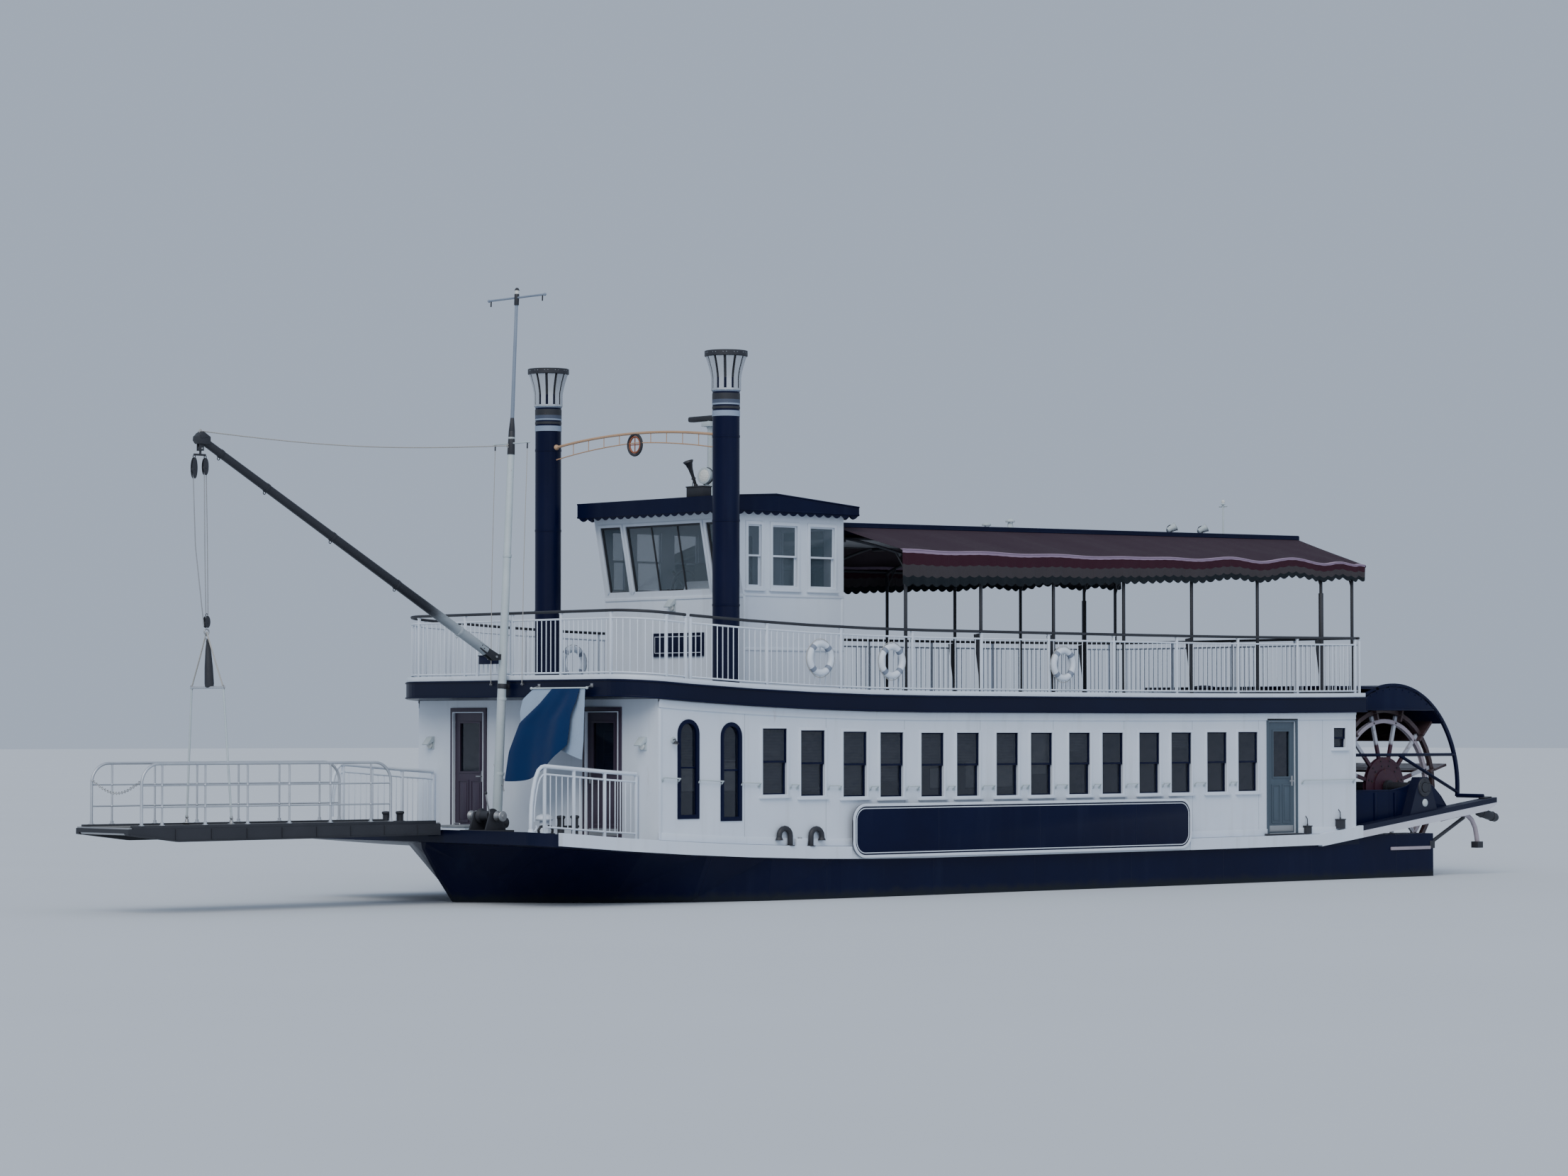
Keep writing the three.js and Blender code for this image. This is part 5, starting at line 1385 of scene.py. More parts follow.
# %% Life rings
def life_ring(x, z, y=RAIL_HALF + 0.064, radius=0.235, thick=0.055):
    centre = Vector((x, y, z))
    parts = [coated(ring(centre, ACROSS, radius, thick, around=40, sides=14), white)]
    line = []
    for i in range(4):
        a = math.pi / 4 + i * math.pi / 2
        out = Vector((math.cos(a), 0, math.sin(a)))
        along = Vector((-math.sin(a), 0, math.cos(a)))
        middle = centre + out * radius
        sleeve = bar(middle - along * 0.035, middle + along * 0.035, thick + 0.003, sides=20)
        parts.append(coated(sleeve, ring_band))
        for step in range(6):
            b = a + step * math.pi / 12
            reach = radius + thick + 0.006 + 0.018 * math.sin(math.pi * step / 6)
            line.append(centre + Vector((math.cos(b), 0, math.sin(b))) * reach)
    parts.append(coated(tube(line, 0.006, sides=6, closed=True), rope_white))
    top = z + radius
    hook = tube([(x, y - 0.05, top + 0.05), (x, y, top + thick), (x, y + 0.02, top - 0.02)], 0.006)
    return [*parts, coated(hook, steel)]


rings = [part for x in (5.02, 3.42, -0.64) for part in life_ring(x, upper_at(x) + 0.55)]
pair("life_rings", rings, slot="white_paint")

# %% Gussets
AWNING_POST_Y = 2.97
gussets = []
for number in (1, 2, 4, 6):  # posts from the front
    x = POST_FIRST - number * POST_PITCH
    foot = upper_at(x) + 0.012
    outline = [(x - 0.02, 0.0), (x + 0.03, 0.0), (x + 0.045, 0.35), (x + 0.16, 1.02), (x - 0.02, 1.05)]
    plate = slab([(px, AWNING_POST_Y - 0.016, foot + pz) for px, pz in outline], (0, 0.032, 0))
    y0, y1 = AWNING_POST_Y - 0.045, AWNING_POST_Y + 0.045
    shoe = block((x - 0.07, y0, foot - 0.010), (x + 0.10, y1, foot + 0.006))
    gussets += [plate, shoe]
last_post = POST_FIRST - 6 * POST_PITCH
post_foot = Vector((last_post, AWNING_POST_Y, upper_at(last_post)))
sleeve = bar(post_foot + UP * 0.01, post_foot + UP * 1.9, 0.045)
pair("post_gussets", [*gussets, sleeve], finish=black, edge=0.003)

# %% [markdown]
# ## The canopy's frame
# Under the awnings stands a frame of steel pipe: a post at each bay with a flange on the deck, an
# eaves pipe along the posts' heads, a head pipe under the hard top, and a rafter from one to the
# other. Each post also has a short knee brace. The frame's heights slope, and the same two formulas
# give them everywhere: both fall towards the bow, the hard top a little faster than the eaves.

# %% Heights of the canopy
CANOPY_FRONT, CANOPY_BACK, CANOPY_HALF = 3.12, -8.80, 1.45
TOP_THICK = 0.26


def top_at(x):
    return 7.10 + 0.0128 * (CANOPY_FRONT - x)


def edge_at(x):
    return 6.60 + 0.0045 * (CANOPY_FRONT - x)


POST_PLACES = [POST_FIRST - number * POST_PITCH for number in range(7)] + [-8.49]
EAVES_Y, EAVES_DROP = AWNING_POST_Y, 0.084
HEAD_Y, HEAD_DROP = 1.485, 0.25
print("canopy posts at x", [round(x, 2) for x in POST_PLACES])


# %% Posts, rafters and pipes
def eaves(x, up=0.0):
    return Vector((x, EAVES_Y, edge_at(x) - EAVES_DROP + up))


def head(x, up=0.0):
    return Vector((x, HEAD_Y, top_at(x) - HEAD_DROP + up))


def canopy_bay(x, radius=0.030):
    foot = upper_at(x)
    parts = [bar((x, EAVES_Y, foot + 0.01), eaves(x), radius)]
    flange = [
        (0, 0), (0.075, 0), (0.075, 0.010), (radius + 0.012, 0.014), (radius + 0.006, 0.05), (0, 0.05)
    ]
    parts.append(lathed(flange, (x, EAVES_Y, foot + 0.002), steps=20))
    for a in (math.pi / 4 + math.pi / 2 * i for i in range(4)):
        bolt = (x + 0.055 * math.cos(a), EAVES_Y + 0.055 * math.sin(a), foot + 0.010)
        parts.append(bar(bolt, (bolt[0], bolt[1], foot + 0.024), 0.009, sides=6))
    collar = [(0, -0.05), (radius + 0.010, -0.05), (radius + 0.010, 0.03), (0, 0.03)]
    parts.append(lathed(collar, eaves(x, -0.01), steps=20))
    rafter = [
        eaves(x).lerp(head(x), i / 6) + UP * (0.02 * math.sin(math.pi * i / 6)) for i in range(7)
    ]
    parts.append(tube(rafter, 0.024, sides=10))
    knee = [eaves(x, -0.34), eaves(x, -0.16) - ACROSS * 0.07, eaves(x).lerp(head(x), 0.16)]
    parts.append(tube(knee, 0.014, sides=8))
    seat = top_at(x) - TOP_THICK
    low = (x - 0.03, CANOPY_HALF - 0.24, seat - 0.058)
    return [*parts, block(low, (x + 0.03, CANOPY_HALF + 0.05, seat - 0.002))]


bays = [part for x in POST_PLACES for part in canopy_bay(x)]
ends = (CANOPY_FRONT - 0.045, UPPER_BACK - 0.055)
pipes = [tube([place(x) for x in ends], 0.028, sides=12) for place in (eaves, head)]
pair("canopy_posts_and_rafters", [*bays, *pipes], finish=black,
     stands_for=("canopy_frame",), edge=0.002)

# %% [markdown]
# ## The awnings
# Each awning is one sheet of canvas from the hard top down over the eaves pipe, where a pale binding
# covers the bend; its pale pink is also a painted highlight, the sky's sheen along the bend. From
# there it hangs as a valance, deep at the bow end and shallow at the stern, with a scalloped hem. A
# grey band down the valance is painted shade for the shadowed far valance that shows below it, and a
# near-black hem is painted shade under the scallop folds. Between two rafters the cloth sags near the
# bow and billows up near the stern, where the wind gets under it. A simulation would give much the
# same shape in far more time, so the sheet is a fine grid whose points are moved by a formula of the
# place along it.

# %% Where the points of the canvas go
SHEET_BACK, SHEET_FRONT = -8.76, 3.10
BEND_Y, HEM_Y = 3.066, 3.078
SCALLOP = POST_PITCH / 8
SLOPE_SHARE = 0.70  # of the grid's width, the rest is the valance


def valance_drop(x):
    return 0.61 - 0.026 * (CANOPY_FRONT - x)


def bay_wave(x):
    """0 at a rafter and 1 halfway between two of them."""
    for front, back in zip([SHEET_FRONT, *POST_PLACES], [*POST_PLACES, SHEET_BACK]):
        if back <= x <= front:
            wide = min(1, (front - back) / POST_PITCH)
            return math.sin(math.pi * (front - x) / (front - back)) ** 2 * wide
    return 0


def billow(x):
    """How far the bend lies above the line of the eaves: a sag at the bow, a rise at the stern."""
    share = min(1, max(0, (-2.0 - x) / 4.0))
    return bay_wave(x) * (0.105 * share - 0.020)


def cloth_point(x, v):
    """A point of the sheet at x, and v from 0 at the hard top to 1 at the hem."""
    inner, outer = top_at(x) - 0.070, edge_at(x) + 0.004 + billow(x)
    if v <= SLOPE_SHARE:
        s = v / SLOPE_SHARE
        sag = 0.035 * bay_wave(x) * math.sin(math.pi * s)
        y = CANOPY_HALF + 0.0015 + (BEND_Y - CANOPY_HALF - 0.0015) * s
        ripple = 0.004 * math.sin(9.0 * x + 5.0 * s) * math.sin(math.pi * s)
        return Vector((x, y, inner + (outer - inner) * s - sag + ripple))
    s = (v - SLOPE_SHARE) / (1 - SLOPE_SHARE)
    hang = valance_drop(x) - 0.05 + 0.05 * abs(math.sin(math.pi * x / SCALLOP))
    wavy = 0.010 * s * math.sin(2 * math.pi * x / 0.61) + 0.006 * s * math.sin(2 * math.pi * x / 0.23)
    y = BEND_Y + (HEM_Y - BEND_Y - 0.012) * s + wavy
    return Vector((x, y, outer - hang * s))


print("valance from", valance_drop(SHEET_BACK), "to", valance_drop(SHEET_FRONT), "m deep")

# %% One sheet of canvas
deselect()
bpy.ops.mesh.primitive_grid_add(x_subdivisions=432, y_subdivisions=40, size=1)
sheet = bpy.context.object
for finish in (maroon, binding_highlight_pink, valance_maroon, valance_shade_grey, hem_shade_dark):
    sheet.data.materials.append(finish)
# Bands across the sheet: maroon slope; pale pink bend, binding and painted highlight; maroon valance; grey
# band and near-black hem, both painted shade.
BANDS = ((SLOPE_SHARE - 0.036, 0), (SLOPE_SHARE + 0.030, 1), (0.83, 2), (0.925, 3), (1.01, 4))
for face in sheet.data.polygons:
    across = face.center.y + 0.5
    face.material_index = next(number for limit, number in BANDS if across < limit)
for point in sheet.data.vertices:
    along_share, v = point.co.x + 0.5, point.co.y + 0.5
    point.co = cloth_point(SHEET_BACK + (SHEET_FRONT - SHEET_BACK) * along_share, v)
facing_out(sheet)
print("awning sheet:", len(sheet.data.polygons), "faces")

# %% Its thickness, and the welt along the bend
finished_with(sheet, "SOLIDIFY", thickness=0.004, offset=0)
SHEET_LENGTH = SHEET_FRONT - SHEET_BACK
awnings = pair("awning_sheet", [sheet], slot="maroon_canvas", stands_for=("awning",))
# The welt's pale pink is a binding and also a painted highlight along the bend.
welt_line = [
    cloth_point(SHEET_BACK + SHEET_LENGTH * i / 160, SLOPE_SHARE) + Vector((0, 0.002, 0.006))
    for i in range(161)
]
welt = tube(welt_line, 0.011, sides=8)
welts = pair("awning_welt", [welt], finish=binding_highlight_pink)

# %% The bar that spreads the awning's aft end
aft_x = SHEET_BACK - 0.012
spread = [(aft_x, y, z) for y, z in (
    (CANOPY_HALF + 0.03, top_at(aft_x) - 0.10),
    (2.2, (top_at(aft_x) - 0.10 + edge_at(aft_x)) / 2),
    (BEND_Y - 0.005, edge_at(aft_x) - 0.016),
)]
pair("awning_aft_bar", [tube(spread, 0.022, sides=10)], finish=black)

# %% [markdown]
# ## The hard top's trim and fittings
# The hard top is a long flat roof. Seams cross it at each bay, a bead runs round its upper edge, and
# a batten clamps the awning's inner edge to its side. On it stand small fittings: a light pole near
# the stern, two slanted deck floodlights, and two vents.

# %% Roof seams, edge beads and battens
roof_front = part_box("canopy_top")[1].x
seam_half = CANOPY_HALF - 0.02
seams = [
    block((x - 0.02, -seam_half, top_at(x) - 0.004), (x + 0.02, seam_half, top_at(x) + 0.010))
    for x in POST_PLACES
    if x < roof_front
]
bead_ends = [
    Vector((x, CANOPY_HALF - 0.012, top_at(x) + 0.002))
    for x in (CANOPY_BACK + 0.012, roof_front - 0.012)
]
bead = tube(bead_ends, 0.012)
batten = tube([(x, CANOPY_HALF + 0.006, top_at(x) - 0.060) for x in (SHEET_BACK, roof_front)], 0.010)
cross = [bar((end.x, 0, end.z), end, 0.012) for end in bead_ends]
pair("hard_top_edges", [bead, batten, *cross], finish=navy)
piece("hard_top_seams", seams, finish=navy, edge=0.003)


# %% Fittings on the hard top
def floodlight(x):
    z = top_at(x)
    foot_line = [(0, 0), (0.06, 0), (0.05, 0.02), (0.02, 0.03), (0.018, 0.12), (0, 0.12)]
    can_line = [
        (0, -0.02), (0.05, -0.02), (0.075, 0.14), (0.085, 0.15), (0.07, 0.15), (0.04, 0.02), (0, 0.02)
    ]
    lens_line = [(0, 0.13), (0.068, 0.128), (0.068, 0.135), (0, 0.142)]
    aim = {"foot": (x + 0.03, 0, z + 0.13), "axis": (-0.75, 0.45, 0.45), "steps": 24}
    foot = lathed(foot_line, (x, 0, z), steps=20)
    yoke = ring((x, 0, z + 0.155), (1, 0, 0.3), 0.075, 0.009, around=20, sides=6)
    can, lens = lathed(can_line, **aim), lathed(lens_line, **aim)
    return [*all_in(black, foot, yoke), coated(can, pole), coated(lens, lamp_lens)]


def roof_vent(x, y):
    z = top_at(x)
    pipe = lathed([(0, 0), (0.085, 0), (0.055, 0.02), (0.045, 0.10), (0, 0.10)], (x, y, z), steps=24)
    cap = lathed(
        [(0, 0), (0.085, 0), (0.08, 0.03), (0.03, 0.055), (0, 0.058)], (x, y, z + 0.115), steps=24
    )
    struts = []
    for a in (0, 2.1, 4.2):
        out, foot = Vector((math.cos(a), math.sin(a), 0)), Vector((x, y, z))
        struts.append(
            bar(foot + out * 0.04 + UP * 0.09, foot + out * 0.055 + UP * 0.12, 0.006, sides=6)
        )
    return all_in(pole, pipe, cap, *struts)


fittings = [*floodlight(-6.80), *floodlight(-7.66), *roof_vent(-1.95, 0.0), *roof_vent(-1.23, 1.30)]
pole_x, pole_z = -8.30, top_at(-8.30)
mast_light = [
    lathed(
        [(0, 0), (0.07, 0), (0.06, 0.015), (0.02, 0.03), (0.016, 0.64), (0, 0.64)],
        (pole_x, 0, pole_z),
        steps=16,
    ),
    bar((pole_x, -0.10, pole_z + 0.61), (pole_x, 0.10, pole_z + 0.61), 0.012),
    lathed(
        [(0, 0), (0.04, 0), (0.04, 0.02), (0.03, 0.03), (0, 0.03)], (pole_x, 0, pole_z + 0.64), steps=16
    ),
]
globe = lathed(
    [(0, 0), (0.028, 0), (0.032, 0.03), (0.028, 0.06), (0, 0.065)], (pole_x, 0, pole_z + 0.67), steps=20
)
fittings += all_in(pole, *mast_light) + [coated(globe, lamp_lens)]
piece("hard_top_fittings", fittings, slot="pole_paint", edge=0.001)

# %% [markdown]
# ## The pilothouse windows
# Two double-hung windows and a narrow light look out to each side, and three raked windows look
# ahead. The side windows are flat frames, as on the cabin below. The front wall leans out towards
# the top, so its frames are flat bands drawn in that leaning plane: an outer and an inner outline
# are bridged, and the band is pushed back through the wall.

# %% Side windows of the pilothouse
HOUSE_SIDE = 1.75
HOUSE_LIGHT_LOW, HOUSE_LIGHT_HIGH = 5.98, 7.0


def house_window(x, wide):
    left, right = x - wide / 2, x + wide / 2
    low, high = HOUSE_LIGHT_LOW, HOUSE_LIGHT_HIGH
    middle = (low + high) / 2
    y = HOUSE_SIDE
    casing = hollow_frame(
        (left - 0.05, y - 0.01, low - 0.05), (right + 0.05, y + 0.018, high + 0.05), 0.055
    )
    sill = block((left - 0.07, y - 0.01, low - 0.075), (right + 0.07, y + 0.045, low - 0.045))
    upper = hollow_frame((left, y - 0.040, middle - 0.018), (right, y - 0.012, high), 0.030)
    lower = hollow_frame((left, y - 0.068, low), (right, y - 0.041, middle + 0.018), 0.030)
    panes = [
        block((left + 0.02, y - 0.028, middle), (right - 0.02, y - 0.024, high - 0.02)),
        block((left + 0.02, y - 0.056, low + 0.02), (right - 0.02, y - 0.052, middle)),
    ]
    return [casing, sill, upper, lower], panes


house_frames, house_panes = [], []
for place, wide in ((3.69, 0.56), (4.53, 0.56), (5.20, 0.30)):
    frames, panes = house_window(place, wide)
    house_frames += frames
    house_panes += panes
pair("pilothouse_side_windows", house_frames, finish=white, edge=0.003)
pair("pilothouse_side_glass", house_panes, finish=clear_glass)

# %% The raked front windows
HOUSE_FRONT, HOUSE_SILL, HOUSE_EAVES, HOUSE_RAKE = 5.45, 5.85, 7.20, 0.26
FRONT_LIGHT_LOW, FRONT_LIGHT_HIGH = HOUSE_SILL + 0.10, HOUSE_EAVES - 0.16
FRONT_LIGHTS = ((1.62, 1.08), (0.96, -0.96), (-1.08, -1.62))  # port edge, starboard edge


def front_plane(y, z, out=0.0):
    """A point in the leaning front wall, or that far in front of it."""
    return Vector(
        (HOUSE_FRONT + HOUSE_RAKE * (z - HOUSE_SILL) / (HOUSE_EAVES - HOUSE_SILL) + out, y, z)
    )


def raked_rectangle(port, starboard, low, high, grow, out):
    corners = [(port + grow, low - grow), (port + grow, high + grow)]
    corners += [(starboard - grow, high + grow), (starboard - grow, low - grow)]
    return [front_plane(y, z, out) for y, z in corners]


def raked_band(edges, low, high, inner, outer, out, thick):
    port, starboard = edges
    outlines = [raked_rectangle(port, starboard, low, high, grow, out) for grow in (inner, outer)]
    return band(*outlines, (-thick, 0, 0))


raked_frames, raked_sashes, raked_panes = [], [], []
for edges in FRONT_LIGHTS:
    raked_frames.append(
        raked_band(edges, FRONT_LIGHT_LOW, FRONT_LIGHT_HIGH, -0.004, 0.045, 0.018, 0.026)
    )
    raked_sashes.append(
        raked_band(edges, FRONT_LIGHT_LOW, FRONT_LIGHT_HIGH, -0.035, 0.0, -0.015, 0.035)
    )
    pane = raked_rectangle(*edges, FRONT_LIGHT_LOW, FRONT_LIGHT_HIGH, -0.02, -0.035)
    raked_panes.append(slab(pane, (-0.006, 0, 0)))
for y in (0.33, -0.33):  # two mullions divide the wide window
    low, high = front_plane(y, FRONT_LIGHT_LOW, -0.03), front_plane(y, FRONT_LIGHT_HIGH, -0.03)
    raked_sashes.append(bar(low, high, 0.016, sides=8))
piece("pilothouse_front_frames", raked_frames, finish=white, edge=0.003)
piece("pilothouse_front_sashes", raked_sashes, finish=black, edge=0.002)
piece("pilothouse_front_glass", raked_panes, finish=clear_glass)

# %% The window in the back wall
back_casing = hollow_frame(
    (3.180, 0.20, HOUSE_LIGHT_LOW - 0.05), (3.206, 1.40, HOUSE_LIGHT_HIGH + 0.05), 0.055, across="x"
)
back_sash = hollow_frame(
    (3.22, 0.25, HOUSE_LIGHT_LOW), (3.25, 1.35, HOUSE_LIGHT_HIGH), 0.032, across="x"
)
back_mullion = block((3.222, 0.785, HOUSE_LIGHT_LOW + 0.02), (3.248, 0.815, HOUSE_LIGHT_HIGH - 0.02))
back_pane = block((3.232, 0.27, HOUSE_LIGHT_LOW + 0.02), (3.237, 1.33, HOUSE_LIGHT_HIGH - 0.02))
piece("pilothouse_back_window", [back_casing, back_sash, back_mullion], finish=white, edge=0.003)
piece("pilothouse_back_glass", [back_pane], finish=clear_glass)

# %% [markdown]
# ## Scallops under the pilothouse roof
# A fretted board hangs under the roof's edge on all four sides. Its lower edge is a row of round
# scallops, so its outline is a row of half circles under a straight top, extruded to the board's
# thickness. A thin bead runs along the roof's upper edge, and a gutter under its eaves.

# %% A scalloped board between two corners
ROOF_BACK, ROOF_FRONT, ROOF_HALF = 2.98, 5.95, 1.90


def scalloped_board(start, end, drop=0.055, pitch=0.20, thick=0.018, steps=6):
    start, end = Vector(start), Vector(end)
    along = end - start
    count = round(along.length / pitch)
    points = [start + UP * 0.012, start]
    for i in range(count):
        for step in range(1, steps + 1):
            share = (i + step / steps) / count
            hang = drop * math.sin(math.pi * step / steps)
            points.append(start.lerp(end, share) - UP * hang)
    points.append(end + UP * 0.012)
    across = along.cross(UP).normalized() * thick
    return slab(points, across)


roof_foot = HOUSE_EAVES + 0.002
fretwork = [
    scalloped_board(
        (ROOF_BACK + 0.01, y, roof_foot),
        (ROOF_FRONT - 0.02, y, roof_foot),
        thick=math.copysign(0.018, y),
    )
    for y in (ROOF_HALF - 0.012, -ROOF_HALF + 0.012)
]
fretwork += [
    scalloped_board((x, ROOF_HALF - 0.03, roof_foot), (x, -ROOF_HALF + 0.03, roof_foot), thick=way * 0.018)
    for x, way in ((ROOF_FRONT - 0.012, 1), (ROOF_BACK + 0.012, -1))
]
piece("pilothouse_fretwork", fretwork, finish=navy, edge=0.002)
roof_front_top, roof_ridge_top, roof_back_top = (5.95, 7.45), (4.85, 7.51), (2.98, 7.36)
roof_line = [roof_back_top, roof_ridge_top, roof_front_top]
roof_bead = tube([(x, ROOF_HALF, z - 0.012) for x, z in roof_line], 0.014)
gutter = tube([(x, ROOF_HALF, HOUSE_EAVES + 0.02) for x in (ROOF_BACK, ROOF_FRONT)], 0.012)
pair("pilothouse_roof_beads", [roof_bead, gutter], finish=navy)

# %% [markdown]
# ## On the pilothouse walls
# A blank navy board with a thin white rim is fixed below the front windows, with a hooded lamp above
# it. Inside, the steering wheel, a console and a chair show through the glass as dark and pale
# shapes.

# %% Blank board and front lamp
board = block((HOUSE_FRONT, -0.48, 4.87), (HOUSE_FRONT + 0.022, 0.77, 5.22))
board_rim = hollow_frame(
    (HOUSE_FRONT, -0.50, 4.85), (HOUSE_FRONT + 0.030, 0.79, 5.24), 0.022, across="x"
)
board_line = hollow_frame(
    (HOUSE_FRONT + 0.01, -0.445, 4.905), (HOUSE_FRONT + 0.026, 0.735, 5.185), 0.010, across="x"
)
piece("pilothouse_blank_board", all_in(navy, board, board_rim) + all_in(white, board_line),
      slot="navy_paint", edge=0.002)
piece("pilothouse_front_lamp", bulkhead_lamp(HOUSE_FRONT, 0.0, 5.70), slot="pole_paint", edge=0.003)

# %% Corner posts, belt moulding and seams on the pilothouse walls
belt = [
    block((3.20, HOUSE_SIDE - 0.005, z), (5.44, HOUSE_SIDE + 0.014, z + 0.045)) for z in (5.82, 4.93)
]
corners = [
    block((x, HOUSE_SIDE - 0.005, 4.32), (x + 0.05, HOUSE_SIDE + 0.012, 5.82)) for x in (3.20, 5.40)
]
pair("pilothouse_mouldings", [*belt, *corners], finish=white, edge=0.004)
front_belt = block((HOUSE_FRONT - 0.002, -HOUSE_SIDE, 5.80), (HOUSE_FRONT + 0.016, HOUSE_SIDE, 5.85))
piece("pilothouse_front_moulding", [front_belt], finish=white, edge=0.004)

# %% The steering wheel
FLOOR = 5.0
helm = Vector((4.92, -0.30, FLOOR + 0.98))
stand = lathed([(0, 0), (0.17, 0), (0.15, 0.05), (0.08, 0.12), (0.07, 0.85), (0.10, 0.92), (0, 0.94)],
               (helm.x - 0.16, helm.y, FLOOR), steps=24)
gear = lathed(
    [(0, 0), (0.10, 0), (0.10, 0.16), (0, 0.16)], helm - Vector((0.21, 0, 0.04)), axis=AHEAD, steps=20
)
rim = ring(helm, AHEAD, 0.33, 0.022, around=40)
hub = lathed(
    [(0, -0.04), (0.06, -0.04), (0.07, 0), (0.06, 0.04), (0, 0.045)], helm, axis=AHEAD, steps=20
)
spokes = []
for i in range(8):
    a = math.pi / 4 * i
    out = Vector((0, math.cos(a), math.sin(a)))
    spokes.append(bar(helm, helm + out * 0.36, 0.012, sides=8))
    spokes.append(bar(helm + out * 0.35, helm + out * 0.45, 0.012, 0.019, sides=8))
piece("steering_wheel", [stand, gear, rim, hub, *spokes], finish=black, edge=0.001)

# %% Console and chair
console_side = [(5.02, 0), (5.36, 0), (5.36, 0.95), (5.28, 1.10), (5.02, 0.92)]
panel_side = [(5.03, 0.935), (5.27, 1.107), (5.262, 1.118), (5.022, 0.946)]
console = slab([(x, 0.15, FLOOR + z) for x, z in console_side], (0, 0.95, 0))
panel = slab([(x, 0.20, FLOOR + z) for x, z in panel_side], (0, 0.85, 0))
screen = block((5.16, 0.30, FLOOR + 1.05), (5.24, 0.72, FLOOR + 1.40))
dials = [
    lathed(
        [(0, 0), (0.045, 0), (0.04, 0.015), (0, 0.016)],
        (5.14, y, FLOOR + 1.02),
        axis=(-0.58, 0, 0.81),
        steps=20,
    )
    for y in (0.80, 0.92)
]
CHAIR_X, CHAIR_Y, SEAT_HIGH = 4.25, -0.30, 0.62
seat_line = [(0, 0), (0.22, 0), (0.24, 0.04), (0.22, 0.09), (0, 0.10)]
leg_line = [(0, 0), (0.20, 0), (0.19, 0.02), (0.035, 0.05), (0.035, 0.60), (0, SEAT_HIGH)]
chair_seat = lathed(seat_line, (CHAIR_X, CHAIR_Y, FLOOR + SEAT_HIGH), steps=28)
chair_leg = lathed(leg_line, (CHAIR_X, CHAIR_Y, FLOOR), steps=24)
chair_back = block((4.02, -0.50, FLOOR + 0.86), (4.08, -0.10, FLOOR + 1.22))
chair_stay = block((4.03, -0.33, FLOOR + 0.66), (4.06, -0.27, FLOOR + 0.90))
room = all_in(white, console) + all_in(black, panel, screen, chair_seat, chair_back)
room += all_in(steel, *dials, chair_leg, chair_stay)
piece("pilothouse_console_and_chair", room, slot="white_paint", edge=0.006)

# %% Handrail of the pilothouse steps, and treads
step_rail = [(2.50, 4.22), (2.50, 4.98), (3.10, 5.62), (3.19, 5.66)]
step_rails = [tube([(x, y, z) for x, z in step_rail], 0.016) for y in (-0.36, -1.24)]
piece("pilothouse_step_rails", step_rails, finish=black)
steps_low, steps_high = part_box("pilothouse_steps")
going, rise = 0.25, (FLOOR - steps_low.z) / 4
noses = [
    block((steps_low.x + going * i - 0.006, steps_low.y + 0.02, steps_low.z + rise * (i + 1) - 0.018),
          (steps_low.x + going * i + 0.045, steps_high.y - 0.02, steps_low.z + rise * (i + 1) + 0.004))
    for i in range(3)
]
piece("pilothouse_step_noses", noses, finish=steel, edge=0.002)

# %% [markdown]
# ## The stacks
# Two tall stacks stand in front of the pilothouse. A stack is a rolled tube on a flange, with joint
# rings where its lengths meet, six grey and black bands near the top, and a flared crown. The
# crown is a row of silver straps that spread from a dark cone, held by a rim at the top. The tube is
# a profile that is spun. One strap is a sheet along the flare, and it is spun in steps as copies.

# %% Sizes of a stack
STACK_X, STACK_Y, STACK_R = 6.285, 2.27, 0.22
STACK_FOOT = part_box("stack_port")[0].z
CROWN_FOOT, CROWN_WAIST, STACK_TOP = 9.10, 9.30, 9.74
STACK_AXIS = (STACK_X, STACK_Y, 0)
MOUTH_R = 0.35
STRAPS = 12


def crown_radius(z):
    """The flare: straight up to the waist, then out on a curve to the mouth."""
    share = max(0, (z - CROWN_WAIST) / (STACK_TOP - CROWN_WAIST))
    return STACK_R + 0.012 + (MOUTH_R - 0.012 - STACK_R) * share ** 1.35


def hoop(low, high, radius, thick=0.006):
    """A flat band round a stack."""
    profile = [
        (radius - 0.01, low), (radius + thick, low), (radius + thick, high), (radius - 0.01, high)
    ]
    return lathed([*profile, profile[0]], STACK_AXIS, steps=48)


print("stack from", round(STACK_FOOT, 2), "to", STACK_TOP)

# %% Tube, flange and rings
band_grey = iron_paint("band_grey", (0.20, 0.26, 0.36), (0.32, 0.38, 0.48), (0.5, 0.5, 0.5))
band_slate = iron_paint("band_slate", (0.045, 0.06, 0.10), (0.08, 0.10, 0.15), (0.3, 0.3, 0.3))
tube_profile = [
    (0, 0), (0.28, 0), (0.28, 0.016), (STACK_R + 0.02, 0.022), (STACK_R + 0.005, 0.06), (STACK_R, 0.08)
]
tube_profile += [(STACK_R, CROWN_WAIST - STACK_FOOT), (0, CROWN_WAIST - STACK_FOOT)]
stack_parts = [coated(lathed(tube_profile, (STACK_X, STACK_Y, STACK_FOOT), steps=48), navy)]
for z in (5.62, 6.98, 8.34):
    stack_parts.append(coated(hoop(z, z + 0.035, STACK_R), navy))
seam = block((STACK_X - 0.012, STACK_Y - STACK_R - 0.004, STACK_FOOT + 0.08),
             (STACK_X + 0.012, STACK_Y - STACK_R + 0.01, CROWN_FOOT))
stack_parts.append(coated(seam, navy))
bolt = bar(
    (STACK_X + 0.255, STACK_Y, STACK_FOOT + 0.012),
    (STACK_X + 0.255, STACK_Y, STACK_FOOT + 0.034),
    0.012,
    sides=6,
)
stack_parts.append(coated(spun_copies(bolt, 12, STACK_AXIS), steel))
